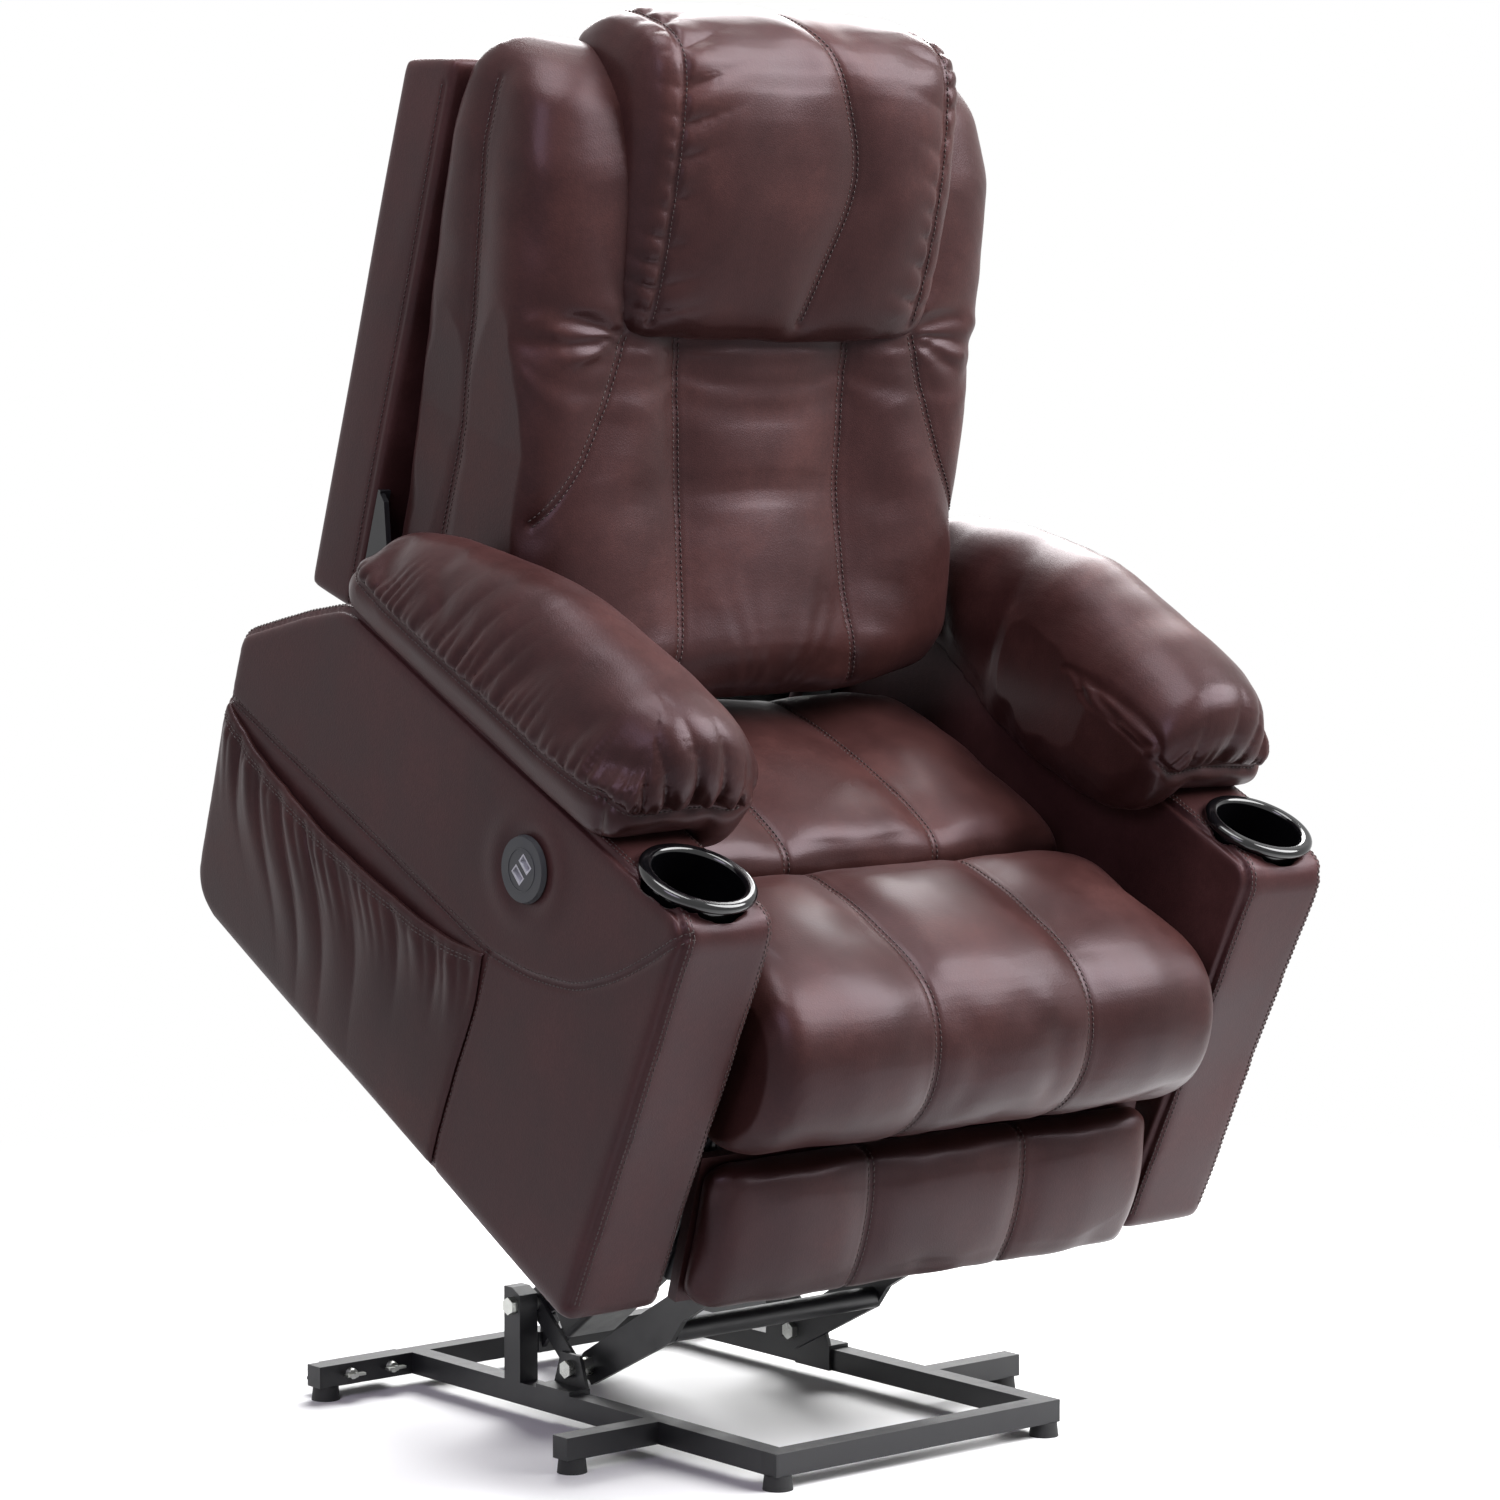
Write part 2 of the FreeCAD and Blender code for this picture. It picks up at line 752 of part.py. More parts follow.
def make_posts():
    """Make what stands on the floor frame and carries the lift linkage."""
    size = S.base_tube
    front = S.post_front
    back = front + S.post_depth
    outline = (
        (front, BASE_TOP),
        (back, BASE_TOP),
        (back, S.post_top),
        (front + S.post_depth / 2, S.post_top),
        (front, S.post_top - S.post_depth / 4),
    )

    def post(side):
        start = from_side(side, POST_INNER, size)
        hole = (S.arm_pivot_back, S.arm_pivot_up, PIVOT_HOLE)
        return [profile(f"post{side + 1}", "YZ_Plane", outline, size, start, [hole])]

    node("base_posts", sides(post))

    half = S.foot_bracket_length / 2
    near = S.guide_pivot_back - half
    top = S.guide_pivot_up + S.link_half_width

    def foot_bracket(side):
        upright = (
            (near, S.foot_height),
            (near + S.foot_bracket_length, S.foot_height),
            (near + S.foot_bracket_length, BASE_TOP),
            (S.guide_pivot_back + S.link_half_width, top),
            (S.guide_pivot_back - S.link_half_width, top),
            (near, BASE_TOP),
        )
        start = from_side(side, POST_INNER - S.plate, S.plate)
        hole = (S.guide_pivot_back, S.guide_pivot_up, PIVOT_HOLE)
        web = profile(f"bracket_web{side + 1}", "YZ_Plane", upright, S.plate, start, [hole])
        corner = (from_side(side, POST_INNER - S.plate, size + S.plate), near, BASE_TOP)
        foot = block(f"bracket_foot{side + 1}", corner, (size + S.plate, S.foot_bracket_length, S.plate))
        return [fused(f"bracket{side + 1}", [web, foot])]

    node("base_foot_brackets", sides(foot_bracket))

    brace_length, brace_angle = span(ARM_GROUND, GUIDE_GROUND)

    def brace(side):
        start = from_side(side, BRACE_INNER, S.plate)
        holes = [(0.0, 0.0, PIVOT_HOLE), (brace_length, 0.0, PIVOT_HOLE)]
        strip = link(f"brace{side + 1}", start, S.plate, brace_length, S.brace_width / 2, holes)
        return [turn_at(strip, S.arm_pivot_back, S.arm_pivot_up, brace_angle)]

    node("base_braces", sides(brace))

    gap = S.axial_gap

    def bolts(side):
        washers = [
            (POST_INNER - S.plate, POST_INNER, S.nut_radius),
            (ARM_LINK_INNER + S.link_plate + gap, BRACE_INNER, S.nut_radius),
        ]
        arm_bolt = bolt(
            f"arm_bolt{side + 1}",
            side,
            ARM_LINK_INNER - gap,
            S.base_half_width,
            S.arm_pivot_back,
            S.arm_pivot_up,
            washers,
        )
        spacer = [(GUIDE_LINK_INNER + S.link_plate + gap, BRACE_INNER, S.nut_radius)]
        guide_bolt = bolt(
            f"guide_bolt{side + 1}",
            side,
            GUIDE_LINK_INNER - gap,
            POST_INNER,
            S.guide_pivot_back,
            S.guide_pivot_up,
            spacer,
        )
        return [arm_bolt, guide_bolt]

    node("base_pivot_bolts", sides(bolts))
    make_supply_bracket()
    make_motor_bracket()


def make_supply_bracket():
    """Make the plate behind the rear bar and the two wing bolts that hold it."""
    rear = S.base_rear_bar_front + S.base_tube
    middle = S.foot_height + S.base_tube / 2
    low_x = -(S.wing_bolt_outer + S.base_tube)
    length = S.wing_bolt_outer - S.wing_bolt_inner + S.base_tube * 2
    plate = block("supply_plate", (low_x, rear, S.foot_height), (length, S.supply_plate, S.base_tube))
    lip_corner = (low_x, rear + S.supply_plate, S.foot_height)
    lip = block("supply_lip", lip_corner, (length, S.base_tube, S.supply_plate))
    holes = [
        rod(f"supply_hole{i}", "y", (-x, rear - 1, middle), PIVOT_HOLE / 2 + 1, S.supply_plate + 2)
        for i, x in enumerate((S.wing_bolt_outer, S.wing_bolt_inner))
    ]
    bracket = cut("supply_bracket_solid", fused("supply_bracket_bent", [plate, lip]), holes)
    node("supply_bracket", [bracket])

    def wing_bolt(index, x):
        shank_radius = PIVOT_HOLE / 2
        hub = S.base_tube / 2
        front = S.base_rear_bar_front
        shank_start = (-x, front - hub, middle)
        reach = hub + S.base_tube + S.supply_plate + S.nut_height
        shank = rod(f"wing_shank{index}", "y", shank_start, shank_radius, reach)
        boss = cone(
            f"wing_boss{index}", "y", (-x, front - hub / 2, middle), shank_radius * 2, hub / 2 + 1, hub / 2
        )
        wings = block(
            f"wings{index}",
            (-x - hub, front - hub, middle - shank_radius / 2),
            (hub * 2, hub / 2 + 1, shank_radius),
        )
        nut = hexagon(f"wing_nut{index}", (0.0, 0.0, 0.0), S.bolt_radius + 1, S.nut_height / 2)
        nut.Placement = FreeCAD.Placement(VECTOR(), AXIS_TURNS["y"])
        move(nut, -x, rear + S.supply_plate, middle)
        return fused(f"wing_bolt{index}", [shank, boss, wings, nut])

    spots = enumerate((S.wing_bolt_outer, S.wing_bolt_inner))
    node("wing_bolts", [wing_bolt(i, x) for i, x in spots])


def make_motor_bracket():
    """Make the clevis on the rear bar with the pin of the lift motor."""
    rear = S.base_rear_bar_front
    inner = S.rod_eye_width / 2 + S.axial_gap * 2
    reach = S.motor_pin_radius * 2.3
    front = S.motor_pivot_back - reach
    top = S.motor_pivot_up + reach
    outline = (
        (front, S.motor_pivot_up),
        (front + reach / 2, S.motor_pivot_up - reach),
        (rear, S.foot_height),
        (rear, BASE_TOP),
        (S.motor_pivot_back + reach, top),
        (front + reach / 2, top),
    )

    def ear(side):
        start = from_side(side, inner, S.clevis_plate)
        return [profile(f"motor_ear{side + 1}", "YZ_Plane", outline, S.clevis_plate, start)]

    width = inner + S.clevis_plate * 2
    pin = rod(
        "motor_pin",
        "x",
        (-width, S.motor_pivot_back, S.motor_pivot_up),
        S.motor_pin_radius,
        width * 2,
    )
    back_plate = block(
        "motor_back_plate", (-width, rear - S.plate, S.foot_height), (width * 2, S.plate, S.base_tube)
    )
    node("motor_bracket", [fused("motor_bracket_solid", sides(ear) + [pin, back_plate])])


def make_linkage():
    """Make the lift arms and the guide links with their cross tubes."""
    arm_pose = (S.arm_pivot_back, S.arm_pivot_up, S.lift_arm_angle)
    tube_radius = S.cross_tube_radius

    def arm(side):
        start = from_side(side, ARM_LINK_INNER, S.link_plate)
        holes = [(0.0, 0.0, PIVOT_HOLE), (S.lift_arm_length, 0.0, PIVOT_HOLE)]
        size = (S.link_plate, S.lift_arm_length, S.link_half_width)
        return [link(f"lift_arm{side + 1}", start, *size, holes)]

    node("lift_arms", sides(arm), arm_pose)
    corner = (-ARM_LINK_INNER, S.lift_arm_length / 2, 0.0)
    node("lift_arm_tube", [rod("arm_tube", "x", corner, tube_radius, ARM_LINK_INNER * 2)], arm_pose)

    guide_pose = (S.guide_pivot_back, S.guide_pivot_up, S.guide_angle)
    width = S.link_half_width
    tube_along = S.guide_length * 0.4
    tube_across = width

    def guide(side):
        start = from_side(side, GUIDE_LINK_INNER, S.link_plate)
        holes = [
            (0.0, 0.0, PIVOT_HOLE),
            (
                S.guide_length + S.guide_miss_along,
                S.guide_miss_across,
                S.bolt_radius + S.guide_play,
            ),
        ]
        bar = link(f"guide_bar{side + 1}", start, S.link_plate, S.guide_length, width, holes)
        web = (
            (-width * 0.8, -width * 0.4),
            (-width / 2, width * 1.2),
            (tube_along, tube_across + tube_radius),
            (tube_along + width * 2, width - 1),
            (tube_along + width, 0.0),
            (width * 0.8, -width * 0.4),
        )
        gusset = profile(
            f"guide_web{side + 1}", "YZ_Plane", web, S.link_plate, start, [(0.0, 0.0, PIVOT_HOLE)]
        )
        return [fused(f"guide{side + 1}", [bar, gusset])]

    node("guide_links", sides(guide), guide_pose)
    corner = (-GUIDE_LINK_INNER, tube_along, tube_across)
    node("guide_tube", [rod("guide_cross", "x", corner, tube_radius, GUIDE_LINK_INNER * 2)], guide_pose)


def actuator(name, reach, retract, miss, hole_radius):
    """Return a linear motor's housing, its outer tube and its rod, drawn along +Y from its pin.

    retract is how far the rod can still slide in, miss is where its eye sits off its end.
    """
    eye_half = S.rod_eye_width / 2
    eye_radius = hole_radius + S.eye_wall
    lug = S.motor_pin_radius * 2.3
    start = lug + 8
    corner = (-S.motor_width / 2, start, -S.actuator_radius)
    gear_case = block(name + "_case", corner, (S.motor_width, S.motor_length, S.motor_depth))
    gear_case = softened(name + "_case_soft", gear_case, 6.0)
    pin_hole = (0.0, 0.0, S.motor_pin_radius + S.bolt_clearance)
    rear_lug = link(name + "_lug", -eye_half, S.rod_eye_width, start + 2, lug, [pin_hole])
    housing = fused(name + "_housing_solid", [gear_case, rear_lug])
    tube_start = start + S.motor_length
    tube_length = reach + miss[0] - retract - eye_radius - S.rod_end_gap - tube_start
    outer = rod(name + "_outer", "y", (0.0, tube_start, 0.0), S.actuator_radius, tube_length)
    bore_start = (0.0, tube_start - 1, 0.0)
    bore = rod(name + "_bore", "y", bore_start, S.rod_radius + S.bolt_clearance, tube_length + 2)
    sleeve = cut(name + "_sleeve", outer, [bore])
    rod_start = tube_start + retract + 6
    shaft = rod(name + "_shaft", "y", (0.0, rod_start, 0.0), S.rod_radius, reach - rod_start)
    eye_place = (-eye_half, reach + miss[0], miss[1])
    eye = rod(name + "_eye", "x", eye_place, eye_radius, S.rod_eye_width)
    hole_place = (-eye_half - 1, reach + miss[0], miss[1])
    hole = rod(name + "_eye_hole", "x", hole_place, hole_radius, S.rod_eye_width + 2)
    shaft = cut(name + "_rod_solid", fused(name + "_rod_blank", [shaft, eye]), [hole])
    return housing, sleeve, shaft


def softened(name, base, radius):
    """Round all edges of a block by one radius."""
    doc.recompute()
    rounded = doc.addObject("Part::Fillet", name)
    rounded.Base = base
    rounded.Edges = [(number + 1, radius, radius) for number in range(len(base.Shape.Edges))]
    return rounded


def make_lift_motor():
    """Make the lift motor between the rear bar and the seat's front cross rail."""
    pose = (S.motor_pivot_back, S.motor_pivot_up, S.motor_angle)
    stroke = S.add("lift_stroke", -ROD_TRAVEL)
    miss = (S.rod_miss_along, S.rod_miss_across)
    hole_radius = S.motor_pin_radius + S.lift_play
    pieces = actuator("lift", S.motor_reach, stroke, miss, hole_radius)
    for name, piece in zip(("lift_motor", "lift_motor_tube", "lift_motor_rod"), pieces):
        node(name, [piece], pose)


make_base()
make_linkage()
make_lift_motor()


def sine(angle):
    """Return the sine of an angle in degrees as a size."""
    angle = as_size(angle)
    return Size(math.sin(math.radians(angle.value)), f"sin({angle.text} * 1 deg)")


def cosine(angle):
    """Return the cosine of an angle in degrees as a size."""
    angle = as_size(angle)
    return Size(math.cos(math.radians(angle.value)), f"cos({angle.text} * 1 deg)")


def chair_pose(back, up, degrees=0.0):
    """Return the pose of a frame that starts at (back, up) in the chair and is turned in it."""
    tilt = S.lift_tilt
    y = S.lifted_back + as_size(back) * cosine(tilt) - as_size(up) * sine(tilt)
    z = S.lifted_up + as_size(back) * sine(tilt) + as_size(up) * cosine(tilt)
    return y, z, tilt + degrees


def make_lift_frame():
    """Make the steel frame under the chair with the pivots of the lift links."""
    inner = S.frame_rail_inner
    width = S.frame_rail_width
    low = S.frame_rail_low
    height = S.frame_rail_height
    front = S.frame_rail_front
    rear = S.frame_rail_rear
    rail_top = low + height
    cross = S.frame_cross_front
    cross_top = S.frame_cross_low + S.frame_cross_height
    size = S.frame_cross_height

    def rail(side):
        x = from_side(side, inner, width)
        bar = block(f"frame_rail{side + 1}", (x, front, low), (width, rear - front, height))
        extent = (width, S.base_tube, cross_top - rail_top)
        upright = block(f"frame_front_upright{side + 1}", (x, cross, rail_top), extent)
        under_rail = S.seat_rail_top - 5 - S.cross_rail_height
        extent = (width, S.cross_rail_depth, under_rail - rail_top)
        corner = (x, S.cross_rail_front, rail_top)
        middle = block(f"frame_upright{side + 1}", corner, extent)
        corner = (x, S.cross_rail_rear, rail_top)
        back = block(f"frame_rear_upright{side + 1}", corner, extent)
        return [bar, upright, middle, back]

    pieces = sides(rail)
    extent = (inner * 2, S.base_tube, size)
    front_cross = block("frame_front_cross", (-inner, cross, S.frame_cross_low), extent)
    notch_half = S.rod_eye_width / 2 + S.frame_notch_gap
    corner = (
        S.recline_motor_x - notch_half,
        cross - 1,
        S.frame_cross_low + S.frame_notch_floor,
    )
    notch = block("frame_notch", corner, (notch_half * 2, S.base_tube + 2, size))
    pieces.append(cut("frame_notched_cross", front_cross, [notch]))
    extent = (inner * 2, S.base_tube, height)
    pieces.append(block("frame_rear_cross", (-inner, rear - S.base_tube, low), extent))
    node("lift_frame", [fused("lift_frame_solid", pieces)], CHAIR)

    outline = (
        (S.guide_link_back - 17, low),
        (S.frame_cross_front + 40, low),
        (S.frame_cross_front + 40, S.frame_cross_low - 2),
        (S.frame_cross_front + 20, S.frame_cross_low),
        (S.frame_cross_front, S.frame_cross_low),
        (S.guide_link_back - 17, rail_top + 12),
    )
    holes = [
        (S.arm_link_back, S.arm_link_height, PIVOT_HOLE),
        (S.guide_link_back, S.guide_link_height, PIVOT_HOLE),
    ]
    plate_inner = S.pivot_plate_inner

    def pivot_plate(side):
        start = from_side(side, plate_inner, S.link_plate)
        plate = profile(f"pivot_plate{side + 1}", "YZ_Plane", outline, S.link_plate, start, holes)
        return [plate]

    node("pivot_plates", sides(pivot_plate), CHAIR)

    def pivot_bolts(side):
        pieces = []
        for name, x, back, up in (
            ("arm", ARM_LINK_INNER, S.arm_link_back, S.arm_link_height),
            ("guide", GUIDE_LINK_INNER, S.guide_link_back, S.guide_link_height),
        ):
            start = x + S.link_plate + S.axial_gap
            spacer = [(start, plate_inner, S.nut_radius)]
            near = x - S.axial_gap
            outer = plate_inner + S.link_plate
            label = f"chair_{name}_bolt{side + 1}"
            pieces.append(bolt(label, side, near, outer, back, up, spacer))
        return pieces

    node("chair_pivot_bolts", sides(pivot_bolts), CHAIR)


def arm_outline(inset):
    """Return the side outline of an arm, drawn in by an inset."""
    return (
        (S.seat_rail_low * 0 + inset, as_size(inset)),
        (S.arm_front_lean + inset, S.arm_top_front - inset),
        (S.arm_top_rear_back - inset * 0.5, S.arm_top_rear - inset),
        (S.arm_top_rear_back + 60 - inset, S.arm_top_rear - 46 - inset),
        (S.arm_rear_back - inset * 1.3, S.arm_rear_up - inset * 0.5),
        (S.arm_bottom_rear - inset, as_size(inset)),
    )


ARM_SLOPE = math.degrees(
    math.atan2(
        S.arm_top_rear.value - S.arm_top_front.value,
        S.arm_top_rear_back.value - S.arm_front_lean.value,
    )
)
S.add("arm_slope", ARM_SLOPE)
S.add(
    "cup_up",
    S.arm_top_front.value
    + (S.cup_centre_back.value - S.arm_front_lean.value) * math.tan(math.radians(ARM_SLOPE)),
)


def usb_tools(name, grow, start, reach):
    """Return the two sockets' outlines, grown, as blocks along x in the plate's tilted frame."""
    pieces = []
    for number, step in enumerate((-1, 1)):
        corner = (
            start,
            -S.usb_socket_long / 2 - grow,
            S.usb_pitch / 2 * step - S.usb_socket_short / 2 - grow,
        )
        extent = (reach, S.usb_socket_long + grow * 2, S.usb_socket_short + grow * 2)
        pieces.append(block(f"{name}{number}", corner, extent))
    return turn_at(fused(name, pieces), S.usb_back, S.usb_up, S.usb_tilt)


def make_arms():
    """Make both arms: cover, boards, cup holder, side pocket and the charging plate."""
    inner = S.arm_inner
    width = S.arm_outer - inner
    skin = S.arm_skin
    cup_outer = S.cup_radius + S.cup_wall
    for side, label in ((-1, "right"), (1, "left")):
        start = from_side(side, inner, width)
        body = profile(
            f"arm_{label}_outside",
            "YZ_Plane",
            arm_outline(0.0),
            width,
            start,
            rounds=[(1, S.arm_corner_radius)],
        )
        body = softened(f"arm_{label}_soft", body, S.arm_edge_radius.value)
        hollow = profile(
            f"arm_{label}_hollow",
            "YZ_Plane",
            arm_outline(skin),
            width - skin * 2,
            start + skin,
            rounds=[(1, S.arm_corner_radius - skin)],
        )
        x = as_size(side) * S.cup_centre_x
        well_start = (x, 0.0, -S.cup_depth)
        well_depth = S.cup_depth + S.cup_flange
        well = rod(f"well_{label}", "z", well_start, cup_outer + S.axial_gap, well_depth)
        well = grouped(f"arm_{label}_well", [well])
        turn_at(well, S.cup_centre_back, S.cup_up, S.arm_slope)
        tools = [hollow, well]
        if side < 0:
            tools.append(usb_tools("usb_hole", S.usb_socket_wall, -S.arm_outer - 1, skin + 2))
        node(f"arm_cover_{label}", [cut(f"arm_{label}_cover", body, tools)], CHAIR)
        make_arm_frame(side, label)
        make_cup_holder(side, label)
        make_pocket(side, label)
    make_usb()


def make_arm_frame(side, label):
    """Make the boards inside one arm."""
    skin = S.arm_skin
    board = S.arm_board
    inside = S.arm_inner + skin
    width = S.arm_outer - S.arm_inner - skin * 2
    x = from_side(side, inside, width)
    floor = skin + board
    front = S.arm_front_lean + skin
    rear = S.arm_top_rear_back - 20
    under_cup = S.cup_up - S.cup_depth - 20
    top = S.arm_top_rear - skin * 2
    name = f"arm_{label}"
    beam_corner = (from_side(side, inside, board), front, S.arm_top_front * 0.5)
    pieces = [
        block(name + "_floor", (x, front, skin), (width, rear - front, board)),
        block(name + "_front_board", (x, front, floor), (width, board, under_cup - floor)),
        block(name + "_rear_board", (x, rear - board, floor), (width, board, top - floor)),
        block(
            name + "_top_board",
            (x, S.cup_centre_back + 60, top - board),
            (width, rear - S.cup_centre_back - 60, board),
        ),
        block(name + "_beam", beam_corner, (board, rear - front, board * 3)),
    ]
    node(f"arm_frame_{label}", [fused(name + "_boards", pieces)], CHAIR)


def make_cup_holder(side, label):
    """Make one cup holder: a flanged cup let into the arm's top."""
    x = as_size(side) * S.cup_centre_x
    name = f"cup_{label}"
    outer = S.cup_radius + S.cup_wall
    depth = S.cup_depth + S.cup_wall
    body = rod(name + "_body", "z", (x, 0.0, -depth), outer, depth + S.cup_flange / 2)
    disc = rod(name + "_disc", "z", (x, 0.0, 0.0), S.cup_flange_radius, S.cup_flange)
    eye = rod(name + "_eye", "z", (x, 0.0, -1.0), S.cup_radius, S.cup_flange + 2)
    flange = cut(name + "_flange", disc, [eye])
    flange = softened(name + "_soft_flange", flange, S.cup_flange_round.value)
    bore = rod(
        name + "_bore", "z", (x, 0.0, -S.cup_depth), S.cup_radius, S.cup_depth + S.cup_flange + 1
    )
    cup = fused(name + "_cup", [cut(name + "_well", body, [bore]), flange])
    turn_at(cup, S.cup_centre_back, S.cup_up, S.arm_slope)
    node(f"cup_holder_{label}", [cup], CHAIR)


def pocket_outline(inset, above):
    """Return the outline of a side pocket with its sagging mouth."""
    low = 8.0 + as_size(inset)
    front = S.pocket_front_low + inset
    rear_low = S.arm_bottom_rear - inset - 4
    rear_high = S.arm_bottom_rear + 34 - inset
    mouth = S.pocket_mouth + above
    points = [
        (front, low),
        (rear_low, low),
        (rear_high, mouth - 12),
    ]
    steps = 8
    for i in range(1, steps):
        share = i / steps
        back = rear_high + (S.pocket_front_high + inset - rear_high) * share
        dip = S.pocket_sag * (4.0 * share * (1.0 - share))
        points.append((back, mouth - 12 + 12 * share - dip))
    points.append((S.pocket_front_high + inset, mouth))
    return points


def make_pocket(side, label):
    """Make the open pocket on the outer side of one arm."""
    thickness = S.pocket_gap + S.pocket_skin
    name = f"pocket_{label}"
    start = from_side(side, S.arm_outer, thickness)
    outside = profile(name + "_outside", "YZ_Plane", pocket_outline(0.0, 0.0), thickness, start)
    start = from_side(side, S.arm_outer - 1, S.pocket_gap + 1)
    inset = S.pocket_skin
    hollow = profile(
        name + "_hollow", "YZ_Plane", pocket_outline(inset, 20.0), S.pocket_gap + 1, start
    )
    node(f"side_pocket_{label}", [cut(name, outside, [hollow])], CHAIR)


def make_usb():
    """Make the charging plate with its two sockets on the right arm."""
    start = -S.arm_outer - S.usb_thickness
    plate = cone(
        "usb_disc",
        "x",
        (start, S.usb_back, S.usb_up),
        S.usb_radius - 1.5,
        S.usb_radius,
        S.usb_thickness,
    )
    wall = S.usb_socket_wall
    holes = usb_tools("usb_plate_hole", wall, start - 1, S.usb_thickness + 2)
    node("usb_plate", [cut("usb_plate_solid", plate, [holes])], CHAIR)
    shells = usb_tools("usb_shell", wall, start, S.usb_socket_depth + wall)
    cavity = usb_tools("usb_cavity", wall * 0, start - 1, S.usb_socket_depth + 1)
    node("usb_sockets", [cut("usb_sockets_solid", shells, [cavity])], CHAIR)


def make_seat_frame():
    """Make the wooden and steel parts that carry the seat, the motors and the supply."""
    width = S.seat_rail_width
    inner = S.arm_inner - width
    low = S.seat_rail_low
    height = S.seat_rail_top - low

    def rail(side):
        x = from_side(side, inner, width)
        extent = (width, S.seat_rail_rear - S.seat_rail_front, height)
        return [block(f"seat_rail{side + 1}", (x, S.seat_rail_front, low), extent)]

    node("seat_side_rails", sides(rail), CHAIR)
    rail_low = S.seat_rail_top - 5 - S.cross_rail_height
    extent = (inner * 2, S.cross_rail_depth, S.cross_rail_height)
    front = block("cross_front", (-inner, S.cross_rail_front, rail_low), extent)
    rear = block("cross_rear", (-inner, S.cross_rail_rear, rail_low), extent)
    pieces = [front, rear]
    ear_inner = S.rod_eye_width / 2 + S.axial_gap * 2
    ear = S.clevis_plate
    reach = S.motor_pin_radius * 2
    front_face = S.cross_rail_front + S.cross_rail_depth
    rod_ear = (
        (front_face, rail_low),
        (S.rod_pin_back + reach, S.rod_pin_up - reach),
        (S.rod_pin_back + reach, S.rod_pin_up + reach),
        (front_face, rail_low + S.cross_rail_height),
    )
    anchor_ear = (
        (S.recline_pivot_back - reach, S.recline_pivot_up - reach),
        (S.cross_rail_rear, rail_low),
        (S.cross_rail_rear, rail_low + S.cross_rail_height),
        (S.recline_pivot_back - reach, S.recline_pivot_up + reach),
    )
    for name, outline, middle in (
        ("rod", rod_ear, as_size(0.0)),
        ("anchor", anchor_ear, S.recline_motor_x),
    ):
        for number, start in enumerate((-ear_inner - ear, ear_inner)):
            label = f"{name}_ear{number}"
            pieces.append(profile(label, "YZ_Plane", outline, ear, middle + start))
    pin_half = ear_inner + ear
    for name, middle, back, up in (
        ("rod", as_size(0.0), S.rod_pin_back, S.rod_pin_up),
        ("anchor", S.recline_motor_x, S.recline_pivot_back, S.recline_pivot_up),
    ):
        start = (middle - pin_half, back, up)
        pieces.append(rod(name + "_pin", "x", start, S.motor_pin_radius, pin_half * 2))
    node("seat_cross_rails", [fused("cross_rails_solid", pieces)], CHAIR)
    springs = [
        solid_feature(f"seat_spring{i}", seat_spring(x)) for i, x in enumerate(SEAT_SPRINGS)
    ]
    node("seat_springs", springs, CHAIR)
    box_low = rail_low
    corner = (S.box_inner, S.cross_rail_rear + S.cross_rail_depth, box_low - 15)
    extent = (S.box_length, S.box_depth, S.box_height)
    box = softened("control_box_soft", block("control_box_block", corner, extent), 4.0)
    node("control_box", [box], CHAIR)
    corner = (
        S.box_inner + S.box_length / 2,
        S.cross_rail_rear + S.cross_rail_depth + S.box_depth,
        box_low,
    )
    node("power_gland", [cone("gland", "y", corner, 8.0, 6.0, 14.0)], CHAIR)


SEAT_SPRINGS = (-200.0, -125.0, -50.0, 50.0, 125.0, 200.0)
BACK_SPRINGS = (-150.0, -50.0, 50.0, 150.0)


def wave(start, step, swing, count, radius):
    """Return a wire spring: arcs that swing to either side, from start by step each."""
    edges = []
    for i in range(count):
        a = start + step * i
        b = start + step * (i + 1)
        middle = (a + b) * 0.5 + VECTOR(swing if i % 2 else -swing, 0, 0)
        edges.append(Part.Arc(a, middle, b).toShape())
    path = Part.Wire(edges)
    tangent = edges[0].tangentAt(edges[0].FirstParameter)
    ring_wire = Part.Wire([Part.makeCircle(radius, start, tangent)])
    return path.makePipeShell([ring_wire], True, True)


def seat_spring(x):
    """Return one seat spring between the front and rear cross rails."""
    radius = S.spring_radius.value
    front = S.cross_rail_front.value + 8
    rear = S.cross_rail_rear.value + S.cross_rail_depth.value - 8
    count = int(S.spring_waves.value)
    start = VECTOR(x, front, S.seat_rail_top.value - 5 + radius + 0.1)
    step = VECTOR(0, (rear - front) / count, 0)
    return wave(start, step, S.spring_swing.value, count, radius)


def ring(corners, bulges, axis, at):
    """Return a closed wire across an axis: corners (u, v), anticlockwise, joined by arcs."""
    place = {
        "x": lambda u, v: VECTOR(at, u, v),
        "y": lambda u, v: VECTOR(u, at, v),
        "z": lambda u, v: VECTOR(u, v, at),
    }[axis]
    edges = []
    for i, (u, v) in enumerate(corners):
        next_u, next_v = corners[(i + 1) % len(corners)]
        start = place(u, v)
        end = place(next_u, next_v)
        length = math.hypot(next_u - u, next_v - v)
        if abs(bulges[i]) < 0.05:
            edges.append(Part.makeLine(start, end))
            continue
        out_u = (next_v - v) / length * bulges[i]
        out_v = (u - next_u) / length * bulges[i]
        middle = place((u + next_u) / 2 + out_u, (v + next_v) / 2 + out_v)
        edges.append(Part.Arc(start, middle, end).toShape())
    return Part.Wire(edges)


def lofted(rings):
    """Return the solid through a row of closed wires."""
    solid = Part.makeLoft(rings, True, False)
    if solid.Volume < 0:
        solid.reverse()
    return solid


